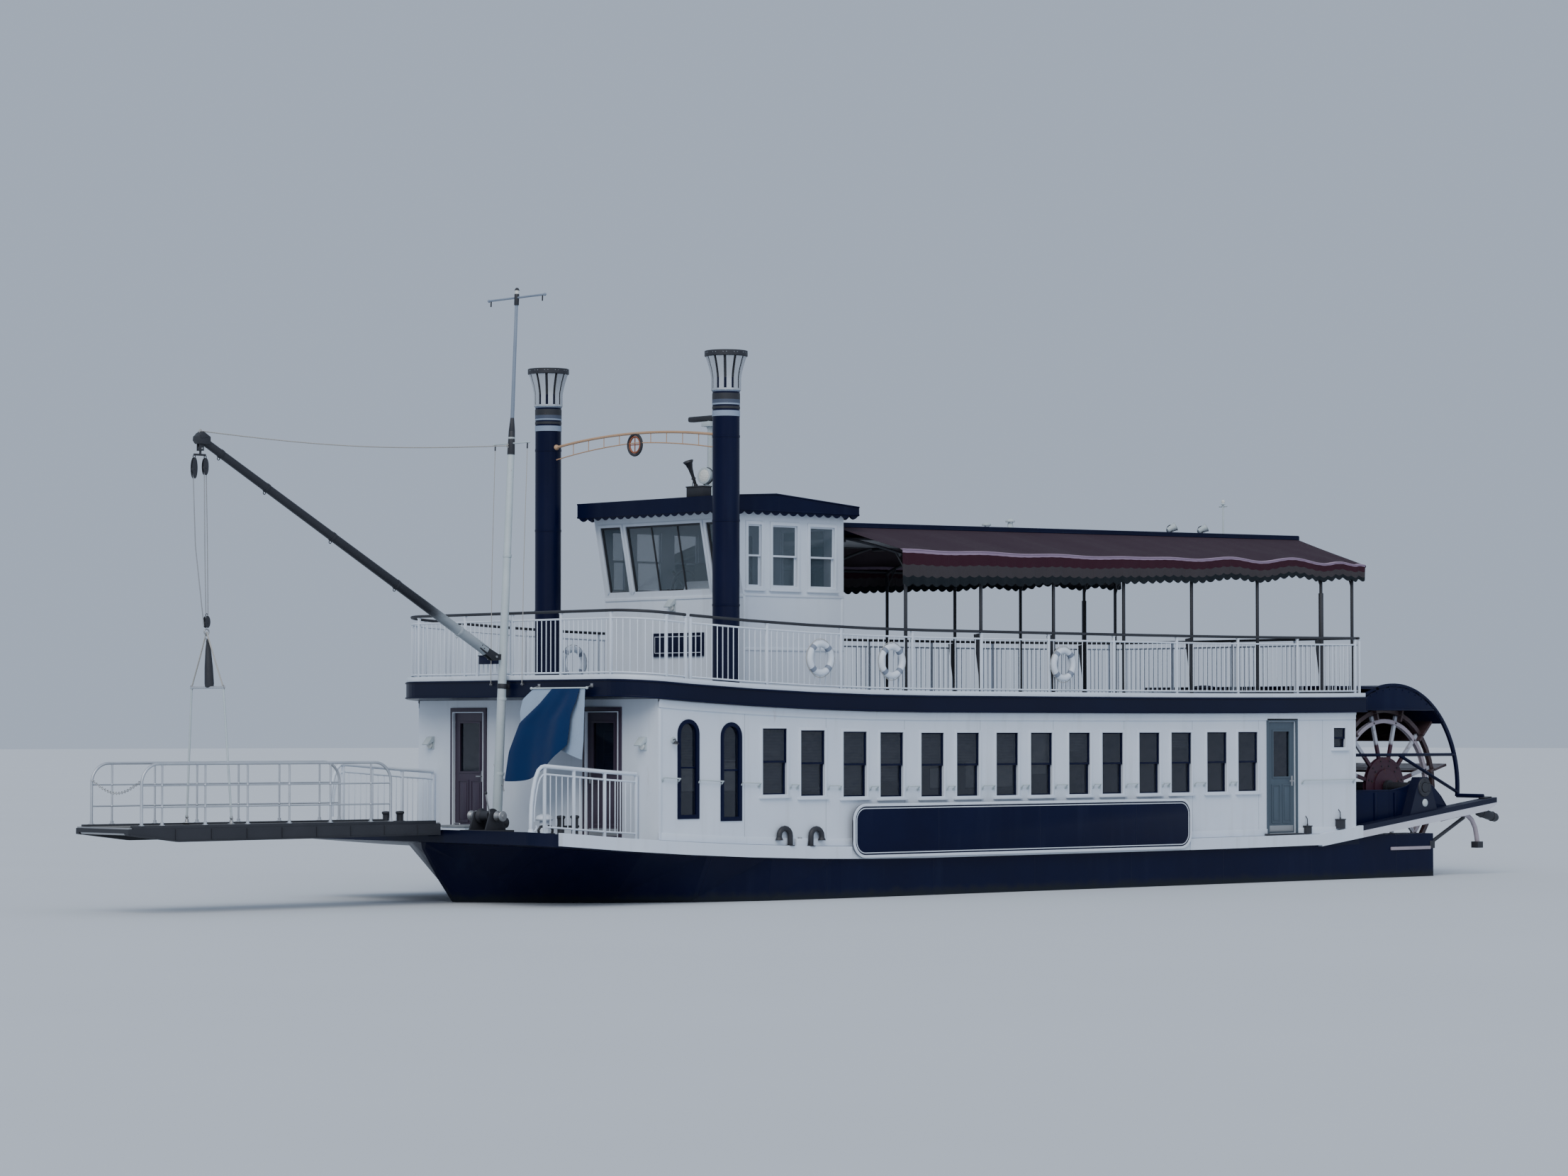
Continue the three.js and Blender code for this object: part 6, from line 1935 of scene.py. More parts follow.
for low, high, paint in (
    (8.68, 8.77, band_grey),
    (8.80, 8.84, black),
    (8.865, 8.89, band_grey),
    (8.89, 8.95, band_slate),
    (8.95, 9.05, black),
    (9.08, 9.105, band_grey),
):
    stack_parts.append(coated(hoop(low, high, STACK_R), paint))
pair("stack_tube", stack_parts, slot="navy_paint", stands_for=("stack",))

# %% The crown
levels = [CROWN_FOOT + (STACK_TOP - 0.03 - CROWN_FOOT) * i / 12 for i in range(13)]
cone = [(crown_radius(z) - 0.016, z) for z in levels]
cone += [(crown_radius(z) - 0.034, z) for z in reversed(levels)]
crown_parts = [coated(lathed([*cone, cone[0]], STACK_AXIS, steps=48), black)]
strap_half = 0.038
line = chain([(STACK_X + crown_radius(z), STACK_Y - strap_half, z) for z in levels])
strap = edit(line, pulled((0, 2 * strap_half, 0)))
for point in strap.data.vertices:  # a strap is wider where the crown is wider
    wider = crown_radius(point.co.z) / STACK_R
    point.co.y = STACK_Y + (point.co.y - STACK_Y) * wider ** 1.4
finished_with(facing_out(strap), "SOLIDIFY", thickness=0.014, offset=0)
crown_parts.append(coated(spun_copies(strap, STRAPS, STACK_AXIS), silver))
crown_parts.append(coated(hoop(CROWN_FOOT, CROWN_FOOT + 0.03, STACK_R + 0.014), silver))
rim_profile = [(MOUTH_R - 0.06, 9.645), (MOUTH_R - 0.012, 9.645), (MOUTH_R, 9.655), (MOUTH_R, 9.735),
               (MOUTH_R - 0.01, 9.74), (MOUTH_R - 0.06, 9.74)]
crown_parts.append(coated(lathed([*rim_profile, rim_profile[0]], STACK_AXIS, steps=48), black))
throat = [(0, 8.95), (0.18, 8.95), (0.18, 9.26), (0, 9.26)]
crown_parts.append(coated(lathed(throat, STACK_AXIS, steps=32), black))
pair("stack_crown", crown_parts, slot="silver_paint")

# %% [markdown]
# ## Between the stacks, and on the pilothouse roof
# A light arched bar ties the stacks together, with a thinner bar below it, short hangers between the
# two, and a plain ring at the middle. On the roof stand the radar on its post, a slanted horn on a
# box, and a rounded searchlight beside it.

# %% The arched spreader with its ring
SPREADER_Z, SPREADER_RISE = 8.40, 0.13
reach = STACK_Y - STACK_R


def arch_z(y):
    return SPREADER_Z + SPREADER_RISE * (1 - (y / reach) ** 2)


ys = [reach * (i / 16 - 1) for i in range(33)]
arch = tube([(STACK_X, y, arch_z(y)) for y in ys], 0.022, sides=12)
lower_arch = tube([(STACK_X, y, arch_z(y) - 0.16 - 0.05 * abs(y) / reach) for y in ys], 0.010, sides=8)
hangers = [
    bar((STACK_X, y, arch_z(y)), (STACK_X, y, arch_z(y) - 0.17 - 0.05 * abs(y) / reach), 0.007, sides=8)
    for y in (-1.6, -1.2, -0.8, -0.4, 0.4, 0.8, 1.2, 1.6)
]
collars = [
    lathed(
        [(0, 0), (0.05, 0), (0.04, 0.03), (0.024, 0.05), (0, 0.05)],
        (STACK_X, way * (reach + 0.004), SPREADER_Z),
        axis=(0, -way, 0),
        steps=20,
    )
    for way in (1, -1)
]
ring_at = Vector((STACK_X, 0, arch_z(0) - 0.19))
spreader_parts = all_in(arch_ochre, arch, lower_arch, *hangers, *collars)
spreader_parts += all_in(black, ring(ring_at, AHEAD, 0.172, 0.022, around=48, sides=12))
inner_ring = ring(ring_at, AHEAD, 0.132, 0.016, around=40, sides=10)
spokes = [bar(ring_at - way * 0.13, ring_at + way * 0.13, 0.009, sides=8) for way in (UP, ACROSS)]
spreader_parts += all_in(ring_rust, inner_ring, *spokes)
piece("stack_arch", spreader_parts, slot="black_paint", stands_for=("stack_spreader",))

# %% Radar
radar_foot = Vector((4.85, 0.25, 7.51))
post_line = [(0, 0), (0.10, 0), (0.10, 0.015), (0.062, 0.022), (0.055, 0.06), (0.042, 1.12)]
post_line += [(0.06, 1.18), (0.06, 1.20), (0, 1.20)]
bolt = bar(beside(radar_foot, 0.08, 0, 0.010), beside(radar_foot, 0.08, 0, 0.03), 0.008, sides=6)
radar = [lathed(post_line, radar_foot, steps=28), spun_copies(bolt, 6, radar_foot)]
gearbox = block(beside(radar_foot, -0.10, -0.11, 1.19), beside(radar_foot, 0.10, 0.11, 1.27))
neck_line = [(0, 0), (0.05, 0), (0.045, 0.025), (0, 0.025)]
neck = lathed(neck_line, beside(radar_foot, up=1.268), steps=20)
scanner = block(beside(radar_foot, -0.07, -0.50, 1.285), beside(radar_foot, 0.07, 0.50, 1.375))
finished_with(scanner, "BEVEL", width=0.03, segments=4)
cable_line = ((-0.06, 1.2), (-0.09, 0.9), (-0.075, 0.3), (-0.11, 0.05), (-0.2, -0.01))
cable = tube([beside(radar_foot, ahead, 0, up) for ahead, up in cable_line], 0.009)
radar = all_in(pole, *radar, gearbox, neck) + all_in(black, scanner, cable)
piece("radar", radar, slot="pole_paint", stands_for=("radar_post",), edge=0.003)

# %% Horn and searchlight
horn_x, horn_y = 5.45, 0.65
horn_box = block((horn_x - 0.10, horn_y - 0.20, 7.485), (horn_x + 0.10, horn_y + 0.20, 7.64))
lid = block((horn_x - 0.11, horn_y - 0.21, 7.64), (horn_x + 0.11, horn_y + 0.21, 7.66))
horn_axis = Vector((0.19, 0, 0.44)).normalized()
horn_foot = Vector((horn_x, horn_y - 0.06, 7.64))
flare = [
    (0, 0), (0.035, 0), (0.035, 0.05), (0.025, 0.06), (0.028, 0.22), (0.040, 0.34), (0.062, 0.42),
    (0.092, 0.465), (0.085, 0.468), (0.055, 0.42), (0.0, 0.30),
]
horn = lathed(flare, horn_foot, axis=horn_axis, steps=32)
bracket = ring(horn_foot + horn_axis * 0.16, horn_axis, 0.034, 0.008, around=24, sides=8)
stay = bar(horn_foot + horn_axis * 0.16, (horn_x + 0.09, horn_y - 0.06, 7.65), 0.008, sides=8)
piece("roof_horn_and_box", [horn_box, lid, horn, bracket, stay], finish=black,
      stands_for=("roof_horn",), edge=0.004)
lamp_at, lamp_way = Vector((5.41, 0.80, 7.82)), (1, 0.15, 0.1)
base_line = [(0, 0), (0.06, 0), (0.05, 0.02), (0.03, 0.03), (0.03, 0.05), (0, 0.05)]
body_line = [(0, -0.12), (0.05, -0.115), (0.10, -0.08), (0.128, -0.02), (0.135, 0.06), (0.14, 0.07)]
body_line += [(0.125, 0.075), (0, 0.06)]
glass_line = [(0, 0.055), (0.122, 0.06), (0.122, 0.066), (0.06, 0.085), (0, 0.09)]
lamp_base = lathed(base_line, lamp_at - UP * 0.165, steps=20)
lamp_body = lathed(body_line, lamp_at, axis=lamp_way, steps=32)
lamp_front = lathed(glass_line, lamp_at, axis=lamp_way, steps=32)
lamp_fork = ring(lamp_at, lamp_way, 0.142, 0.008, around=36, sides=8)
piece(
    "searchlight",
    all_in(pole, lamp_base, lamp_body) + all_in(lamp_lens, lamp_front) + all_in(black, lamp_fork),
    slot="pole_paint",
    edge=0.001,
)

# %% [markdown]
# ## The mast
# A tapered steel pipe stands on a step on the foredeck and leans aft. A thin topmast comes out of
# its head, with a dark lantern on top, and two yards cross it. A strap ties it to the upper deck's
# edge, and a lug in front of it carries the boom. The lean is one formula, so each fitting finds
# the pipe's axis at its own height.

# %% The mast's axis, and bars and hoops on it
MAST_FOOT, MAST_HEAD, TOPMAST_HEAD = 9.18, 8.34, 10.76
HEEL = Vector((9.24, 0, 4.80))


def on_mast(z, y=0.0):
    return Vector((MAST_FOOT - 0.044 * (z - 1.7), y, z))


def mast_radius(z):
    share = (z - mast_step.z) / (MAST_HEAD - mast_step.z)
    return 0.080 + (0.055 - 0.080) * share


def mast_hoop(z, high, thick=0.008):
    return bar(on_mast(z), on_mast(z + high), mast_radius(z) + thick, sides=28)


mast_step = Vector((MAST_FOOT, 0, deck_at(MAST_FOOT) + 0.005))
print("mast from", round(mast_step.z, 2), "to", TOPMAST_HEAD)

# %% Pipe, topmast, lantern and yards
mast_parts = [coated(bar(mast_step, on_mast(MAST_HEAD), 0.080, 0.055, sides=32), pole)]
for z in (2.9, 4.1, 6.4):
    mast_parts.append(coated(mast_hoop(z, 0.05), pole))
for low, high, radius, end_radius, sides, finish in (
    (8.06, 8.44, 0.062, 0.052, 24, black),
    (8.44, 8.66, 0.052, 0.030, 24, black),
    (8.60, 10.66, 0.031, 0.025, 20, topmast_blue),
    (10.48, 10.66, 0.040, 0.040, 20, black),
    (10.66, 10.72, 0.033, 0.033, 20, lamp_lens),
    (10.72, TOPMAST_HEAD, 0.044, 0.020, 20, black),
):
    length = bar(on_mast(low), on_mast(high), radius, end_radius, sides)
    mast_parts.append(coated(length, finish))
for z, half, radius, finish in ((10.60, 0.72, 0.017, topmast_blue), (8.24, 0.45, 0.013, pole)):
    mast_parts.append(coated(bar(on_mast(z, -half), on_mast(z, half), radius, sides=14), finish))
    for way in (-1, 1):
        mast_parts.append(coated(ball(on_mast(z, way * half), radius * 1.5, rings=8), finish))
        y = way * half * 0.92
        mast_parts.append(coated(bar(on_mast(z - 0.10, y), on_mast(z, y), 0.012, sides=8), black))

# %% Step, gussets, strap, cleats and the boom's lug
step_plate = block(mast_step + Vector((-0.14, -0.14, 0.010)), mast_step + Vector((0.14, 0.14, 0.035)))
socket = lathed(
    [(0, 0), (0.105, 0), (0.105, 0.05), (0.090, 0.07), (0.090, 0.11), (0, 0.11)], mast_step + UP * 0.03
)
bolts = [bar(mast_step + Vector((x, y, 0.03)), mast_step + Vector((x, y, 0.055)), 0.014, sides=6)
         for x in (-0.11, 0.11) for y in (-0.11, 0.11)]
mast_parts += all_in(pole, step_plate, socket) + all_in(steel, *bolts)
strap = bar(on_mast(4.29), on_mast(4.37), mast_radius(4.3) + 0.012, sides=32)
arms = block((UPPER_FRONT + 0.004, -0.06, 4.30), (on_mast(4.33).x - 0.05, 0.06, 4.36))
lug_arm = block((on_mast(4.8).x + 0.04, -0.028, 4.752), (HEEL.x - 0.035, 0.028, 4.845))
lug_eye = lathed(
    [(0.0225, -0.03), (0.052, -0.03), (0.052, 0.03), (0.0225, 0.03), (0.0225, -0.03)], HEEL, axis=ACROSS
)
mast_parts += all_in(black, strap, arms, lug_arm, lug_eye)
for z, turn in ((2.75, 1), (2.98, -1)):
    centre = on_mast(z, turn * (mast_radius(z) + 0.035))
    bend = ((-0.10, 0.02), (-0.04, 0), (0.04, 0), (0.10, 0.02))
    horns = tube([centre + Vector((0, turn * rise, along)) for along, rise in bend], 0.011)
    foot = bar(on_mast(z, turn * mast_radius(z) * 0.8), centre, 0.014, sides=10)
    mast_parts += all_in(steel, horns, foot)
piece("mast_and_yards", mast_parts, slot="pole_paint", stands_for=("mast",), edge=0.002)

# %% Halyards from the lower yard down to the upper deck's edge
halyards = []
for way in (-1, 1):
    head_end = on_mast(8.14, way * 0.414)
    foot_end = Vector((UPPER_FRONT + 0.035, way * 0.40, 4.36))
    middle = head_end.lerp(foot_end, 0.5) + AHEAD * 0.02
    halyards.append(coated(tube([head_end, middle, foot_end], 0.006, sides=6), rope_white))
    eye = ring(foot_end, ACROSS, 0.018, 0.006, around=16, sides=8)
    pin = bar((UPPER_FRONT, way * 0.40, 4.36), foot_end - AHEAD * 0.012, 0.009, sides=8)
    halyards += all_in(steel, eye, pin)
piece("halyards", halyards)

# %% [markdown]
# ## The boom
# The boom is a long tapered spar. Its heel is a fork that straddles the mast's lug, on a pin, so the
# boom can be raised. The head carries a welded plate box and two ears with a pin, from which the
# bridle hangs. The spar is black, and paler near the heel, so its finish follows the distance.


# %% A finish that is pale at the heel
def boom_paint():
    paint = Finish("boom_paint", Specular_IOR_Level=0.4)
    cloudy = paint.noise(2.5, detail=6)
    dark = paint.mix(cloudy, (0.008, 0.009, 0.014), (0.026, 0.028, 0.036))
    pale = paint.mix(cloudy, (0.30, 0.34, 0.37), (0.46, 0.50, 0.52))
    worn = paint.noise(5.0, (0.4, 1, 1), detail=5) * 0.5
    colour = paint.mix(paint.ramp(paint.along(0) + worn, 10.25, 10.95), pale, dark)
    paint.set(Base_Color=colour, Roughness=cloudy * 0.25 + 0.38)
    paint.relief(paint.noise(130, detail=2), 0.001)
    return paint.material


spar_finish = boom_paint()
TIP = Vector((14.89, 0, 8.03))
spar_way = (TIP - HEEL).normalized()


def on_spar(share):
    return HEEL.lerp(TIP, share)


def spar_radius(share):
    return 0.080 - 0.018 * share


# %% Spar with its bands and eyes
boom_parts = [coated(bar(on_spar(0.03), TIP, 0.080, 0.062, sides=32), spar_finish)]
for share in (0.12, 0.34, 0.56, 0.78, 0.93):
    middle = on_spar(share)
    boom_parts.append(
        coated(bar(middle, middle + spar_way * 0.05, spar_radius(share) + 0.007, sides=32), spar_finish)
    )
    below = middle + Vector((spar_way.z, 0, -spar_way.x)) * (
        spar_radius(share) + 0.024
    ) + spar_way * 0.025
    boom_parts.append(coated(ring(below, ACROSS, 0.022, 0.007, around=20, sides=8), spar_finish))


# %% Heel fork and head
def outlined(points, centre, y0, y1):
    """A plate from y0 to y1, given by points ahead of and above a centre."""
    return slab([(centre.x + ahead, y0, centre.z + up) for ahead, up in points], (0, y1 - y0, 0))


fork = [
    (-0.055, -0.045), (-0.03, -0.06), (0.04, -0.06), (0.33, 0.13), (0.33, 0.23), (-0.01, 0.06),
    (-0.055, 0.035),
]
head_box = [(-0.14, -0.085), (0.05, -0.08), (0.09, -0.03), (0.085, 0.03), (-0.01, 0.11), (-0.14, 0.03)]
for way in (-1, 1):
    cheek = outlined(fork, HEEL, way * 0.037, way * 0.072)
    bolts_at = ((0.17, 0.08), (0.25, 0.13), (0.29, 0.18))
    heads = [HEEL + Vector((ahead, way * 0.06, up)) for ahead, up in bolts_at]
    bolt_row = [bar(place, place + ACROSS * way * 0.02, 0.012, sides=6) for place in heads]
    near, far = sorted((way * 0.026, way * 0.042))
    ear = block((TIP.x - 0.04, near, TIP.z - 0.185), (TIP.x + 0.04, far, TIP.z - 0.06))
    boom_parts += all_in(black, cheek, *bolt_row, ear)
head_rib = [(-0.10, 0.02), (0.04, 0.0), (0.055, 0.05), (0.02, 0.09), (-0.02, 0.10)]
boom_parts += all_in(
    black, outlined(head_box, TIP, -0.073, 0.073), outlined(head_rib, TIP, -0.078, 0.078)
)
heel_pin = bar(HEEL - ACROSS * 0.084, HEEL + ACROSS * 0.084, 0.020, sides=24)
pin_at = TIP - UP * 0.15
tip_pin = bar(pin_at - ACROSS * 0.055, pin_at + ACROSS * 0.055, 0.0135, sides=20)
boom_parts += all_in(steel, heel_pin, tip_pin)
piece("boom_spar", boom_parts, body="boom", slot="black_paint", stands_for=("boom",), edge=0.002)

# %% [markdown]
# ## The tackle and the bridle
# Under the boom's head hang two blocks, and three wire falls run down from them to the bridle's
# ring. An iron weight hangs there too and keeps the falls straight when nothing else does. Slings
# go from the ring to a spreader bar, and a pale leg goes down from each end of the bar to a side of
# the landing stage. All of it hangs from the eye on the boom's pin, so it is one rigid piece on the
# bridle's body.


# %% Blocks under the boom's head
def pulley(top, bottom, half=0.030):
    """A rope block between two heights: two cheeks, a sheave on a pin, and a shackle above."""
    middle = (top + bottom) / 2
    high = (top - bottom).length / 2
    outline = [
        (0.045 * math.cos(a), 0.02 + (high - 0.02) * math.sin(a))
        for a in (math.tau * i / 20 for i in range(20))
    ]
    cheeks = [
        slab(
            [(middle.x + px, middle.y + way * half, middle.z + pz) for px, pz in outline],
            (0, -way * 0.012, 0),
        )
        for way in (-1, 1)
    ]
    sheave = lathed(
        [(0, -0.014), (0.036, -0.014), (0.028, 0), (0.036, 0.014), (0, 0.014)],
        middle,
        axis=ACROSS,
        steps=28,
    )
    axle_half = ACROSS * (half + 0.006)
    axle = bar(middle - axle_half, middle + axle_half, 0.010, sides=12)
    shackle = ring(top + UP * 0.015, ACROSS, 0.020, 0.007, around=20, sides=8)
    return [*cheeks, sheave, axle, shackle]


eye = lathed(
    [(0.0150, -0.02), (0.038, -0.02), (0.038, 0.02), (0.0150, 0.02), (0.0150, -0.02)],
    pin_at,
    axis=ACROSS,
)
shank = bar(pin_at - UP * 0.030, pin_at - UP * 0.105, 0.018)
beam = bar((14.795, 0, 7.785), (15.005, 0, 7.785), 0.016)
tackle = all_in(black, eye, shank, beam)
BLOCK_X = {14.80: 0.30, 15.00: 0.36}  # place and length of each block
for x, long in BLOCK_X.items():
    tackle += all_in(black, *pulley(Vector((x, 0, 7.74)), Vector((x, 0, 7.74 - long))))

# %% Falls, ring, weight, spreader bar and legs
RING_AT = Vector((14.76, 0, 5.11))
fall_a = [(14.815, 0, 7.58), (14.80, 0, 6.4), RING_AT + Vector((0.01, 0, 0.09))]
fall_b = [(15.02, 0, 7.55), (14.97, 0, 6.4), RING_AT + Vector((0.05, 0, 0.09))]
fall_c = [(14.78, 0, 7.58), (14.76, 0.01, 6.4), RING_AT + Vector((-0.02, 0.01, 0.09))]
tackle += [coated(tube(line, 0.008, sides=6), steel) for line in (fall_a, fall_b, fall_c)]
tackle += all_in(black, *pulley(RING_AT + UP * 0.24, RING_AT + UP * 0.02, 0.036))
tackle.append(coated(ring(RING_AT, ACROSS, 0.042, 0.011, around=28, sides=10), steel))
pear = [(0, 0), (0.045, 0), (0.066, 0.015), (0.072, 0.06), (0.064, 0.30), (0.044, 0.56)]
pear += [(0.028, 0.68), (0.030, 0.70), (0.018, 0.73), (0, 0.73)]
weight_foot = RING_AT + Vector((-0.035, 0.03, -0.84))
tackle.append(coated(lathed(pear, weight_foot, axis=(0.03, -0.02, 1), steps=28), black))
for share, radius in ((0.10, 0.026), (0.04, 0.020)):
    place = RING_AT.lerp(weight_foot, share)
    tackle.append(coated(ring(place, ACROSS if share > 0.05 else AHEAD, radius, 0.008, 20, 8), steel))
BAR_Z, BAR_HALF = 4.27, 0.44
tackle.append(coated(bar((14.74, -BAR_HALF, BAR_Z), (14.74, BAR_HALF, BAR_Z), 0.020), silver))
for way in (-1, 1):
    end = Vector((14.74, way * (BAR_HALF - 0.02), BAR_Z))
    foot = Vector((14.70, way * 0.59, 2.31))
    tackle.append(
        coated(tube([RING_AT, RING_AT.lerp(end, 0.5) + UP * -0.01, end], 0.011, sides=8), rope_white)
    )
    tackle.append(coated(bar(end, foot, 0.017, sides=14), pole))
    tackle += [
        coated(ring(place, AHEAD, 0.030, 0.009, around=20, sides=8), steel) for place in (end, foot)
    ]
    shackle = tube([foot - AHEAD * 0.025, foot - UP * 0.012, foot + AHEAD * 0.025], 0.009)
    tackle.append(coated(shackle, steel))
piece("bridle_and_tackle", tackle, body="bridle", slot="pole_paint", stands_for=("stage_bridle",))

# %% [markdown]
# ## The topping lift
# A thin wire runs from the mast's head to the boom's tip and holds the boom up. It has one end on
# the boat and one on the boom, so it can't ride on either: it is a mesh of its own, on no body, drawn
# as it hangs at rest.

# %% A wire from the boat to the boom
lift_start = on_mast(8.20) + AHEAD * 0.07
lift_end = TIP + UP * 0.115
shares = [i / 24 for i in range(25)]
lift_line = [
    lift_start.lerp(lift_end, s) - Vector((0, 0, 0.12 * math.sin(math.pi * s))) for s in shares
]
wire = tube(lift_line, 0.009, sides=8)
splices = [ring(place, ACROSS, 0.024, 0.007, around=20, sides=8) for place in (lift_start, lift_end)]
topping_lift = coated(join([wire, *splices]), rope_white)
topping_lift.name = topping_lift.data.name = "topping_lift"
hold(topping_lift)
bpy.ops.object.shade_smooth_by_angle(angle=math.radians(35))
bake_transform(topping_lift)
print("topping lift:", len(topping_lift.data.polygons), "faces")

# %% [markdown]
# ## The landing stage
# The landing stage is a gangway on two dark beams, hinged to the bow. The frame gives the beams and
# the floor. On it are laid planks with gaps, which one plank and an array make, with a metal nosing
# at each end. Each railing is a light tube that runs up from the floor, along, and down again with
# rounded corners, with two thinner rails and thin posts. All of it rides on the stage's body.

# %% Sizes of the stage
stage_low, stage_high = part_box("landing_stage")
STAGE_BACK, STAGE_TIP, STAGE_TOP, STAGE_HALF = stage_low.x, stage_high.x, stage_high.z, stage_high.y
RAIL_Y = STAGE_HALF - 0.03
RAIL_BACK, RAIL_FRONT, RAIL_HIGH = 11.81, 16.35, 0.96
MIDDLE_RAILS = (0.64, 0.32)
print("stage from", round(STAGE_BACK, 2), "to", round(STAGE_TIP, 2), "top at", round(STAGE_TOP, 2))


# %% Stage planks, worn along the middle
def worn_planks():
    paint = Finish("stage_planks", Specular_IOR_Level=0.35)
    grain = paint.noise(16, (1, 0.06, 1), detail=7, roughness=0.65)
    walked = paint.ramp(
        paint.along(1).math("ABSOLUTE", paint.along(1)) + paint.noise(1.2, detail=4) * 0.4, 0.75, 0.30
    )
    colour = paint.mix(grain, (0.055, 0.058, 0.062), (0.125, 0.125, 0.125))
    colour = paint.mix(walked * 0.45, colour, (0.22, 0.21, 0.19))
    paint.set(Base_Color=colour, Roughness=grain * 0.2 + 0.62)
    paint.relief(grain, 0.003)
    return paint.material


stage_wood = worn_planks()
PLANK, PLANK_GAP = 0.145, 0.012
plank_count = int((STAGE_TIP - STAGE_BACK - 0.20) / (PLANK + PLANK_GAP))
plank = block(
    (STAGE_BACK + 0.10, -STAGE_HALF + 0.09, STAGE_TOP - 0.004),
    (STAGE_BACK + 0.10 + PLANK, STAGE_HALF - 0.09, STAGE_TOP + 0.024),
)
floor_boards = row(plank, plank_count, (PLANK + PLANK_GAP, 0, 0))
piece(
    "stage_floor_boards", [floor_boards], body="stage", finish=stage_wood, slot="deck_paint", edge=0.003
)

# %% Nosings, kerbs, hinge and rubbing pads
x0, x1 = STAGE_BACK, STAGE_TIP
nosings = [
    block(
        (x0 + 0.004, -STAGE_HALF + 0.02, STAGE_TOP - 0.002),
        (x0 + 0.085, STAGE_HALF - 0.02, STAGE_TOP + 0.020),
    ),
    block(
        (x1 - 0.085, -STAGE_HALF + 0.02, STAGE_TOP - 0.002),
        (x1 - 0.004, STAGE_HALF - 0.02, STAGE_TOP + 0.020),
    ),
]
trim = all_in(steel, *nosings)
for way in (-1, 1):
    y0, y1 = sorted((way * (STAGE_HALF - 0.08), way * (STAGE_HALF - 0.002)))
    trim.append(
        coated(block((x0 + 0.09, y0, STAGE_TOP - 0.002), (x1 - 0.09, y1, STAGE_TOP + 0.05)), black)
    )
    flange = [
        (x0 + 0.06, STAGE_TOP - 0.175), (x1 - 0.9, STAGE_TOP - 0.196), (x1 - 0.03, STAGE_TOP - 0.088)
    ]
    lower = [Vector((x, way * (STAGE_HALF - 0.004), z)) for x, z in flange]
    upper = [Vector((x, way * (STAGE_HALF - 0.004), z + 0.016)) for x, z in reversed(flange)]
    trim.append(coated(slab([*lower, *upper], (0, way * 0.022, 0)), black))
    for number in range(8):
        x = x0 + 0.45 + number * 0.64
        near, far = sorted((way * STAGE_HALF, way * (STAGE_HALF + 0.014)))
        rib = block((x - 0.006, near, STAGE_TOP - 0.165), (x + 0.006, far, STAGE_TOP - 0.012))
        trim.append(coated(rib, black))
roller = bar(
    (x1 - 0.03, -STAGE_HALF + 0.12, STAGE_TOP - 0.062),
    (x1 - 0.03, STAGE_HALF - 0.12, STAGE_TOP - 0.062),
    0.026,
    sides=24,
)
trim.append(coated(roller, steel))
for way in (-1, 1):
    y = way * 0.59
    pad = lathed(
        [(0, 0), (0.06, 0), (0.06, 0.010), (0.03, 0.018), (0.03, 0.06), (0, 0.06)],
        (14.70, y, STAGE_TOP + 0.045),
        steps=24,
    )
    eye_bolt = ring((14.70, y, STAGE_TOP + 0.115), AHEAD, 0.020, 0.007, around=20, sides=8)
    trim += all_in(steel, pad, eye_bolt)
piece("stage_trim", trim, body="stage", slot="black_paint", edge=0.003)


# %% One rail that is bent down to the floor at both ends
def hoop_rail(front, back, high, bend, y):
    """Points of a rail that rises from the floor, turns over on an arc, and comes down again."""
    floor_z = STAGE_TOP + 0.045
    line = [(back, y, floor_z)]
    turns = [math.pi / 2 * i / 8 for i in range(9)]
    line += [
        (back + bend - bend * math.cos(a), y, STAGE_TOP + high - bend + bend * math.sin(a))
        for a in turns
    ]
    line += [
        (front - bend + bend * math.sin(a), y, STAGE_TOP + high - bend + bend * math.cos(a))
        for a in turns
    ]
    line.append((front, y, floor_z))
    return line


railings = [tube(hoop_rail(RAIL_FRONT, RAIL_BACK - 0.02, RAIL_HIGH, 0.30, RAIL_Y), 0.022, sides=12)]
for level in MIDDLE_RAILS:
    ends = [(x - 0.01, RAIL_Y, STAGE_TOP + level) for x in (RAIL_BACK, RAIL_FRONT)]
    railings.append(bar(*ends, 0.012, sides=12))
POSTS = evenly(RAIL_BACK + 0.36, RAIL_FRONT - 0.36, 0.78)
for x in POSTS:
    railings.append(
        bar((x, RAIL_Y, STAGE_TOP + 0.04), (x, RAIL_Y, STAGE_TOP + RAIL_HIGH - 0.005), 0.015, sides=12)
    )
    railings += [ball((x, RAIL_Y, STAGE_TOP + level), 0.022, rings=8) for level in MIDDLE_RAILS]
for x in (*POSTS, RAIL_BACK - 0.02, RAIL_FRONT):
    socket = lathed([(0, 0), (0.045, 0), (0.045, 0.008), (0.026, 0.012), (0.026, 0.05), (0, 0.05)],
                    (x, RAIL_Y, STAGE_TOP + 0.048), steps=20)
    railings.append(socket)
pair("gangway_railing", railings, bodies=("stage", "stage"), finish=silver,
     stands_for=("stage_railing",))

# %% A chain across the stage's shore end
posts_at = [Vector((RAIL_FRONT, way * (RAIL_Y - 0.03), STAGE_TOP + 0.70)) for way in (-1, 1)]
links = []
LINKS = 34
for i in range(LINKS + 1):
    share = i / LINKS
    place = posts_at[0].lerp(posts_at[1], share) - Vector((0, 0, 0.18 * math.sin(math.pi * share)))
    axis = AHEAD if i % 2 else (0, 0.3 - 0.6 * share, 1)
    links.append(ring(place, axis, 0.020, 0.0045, around=12, sides=6))
piece("stage_chain", links, body="stage", finish=steel, slot="silver_paint")

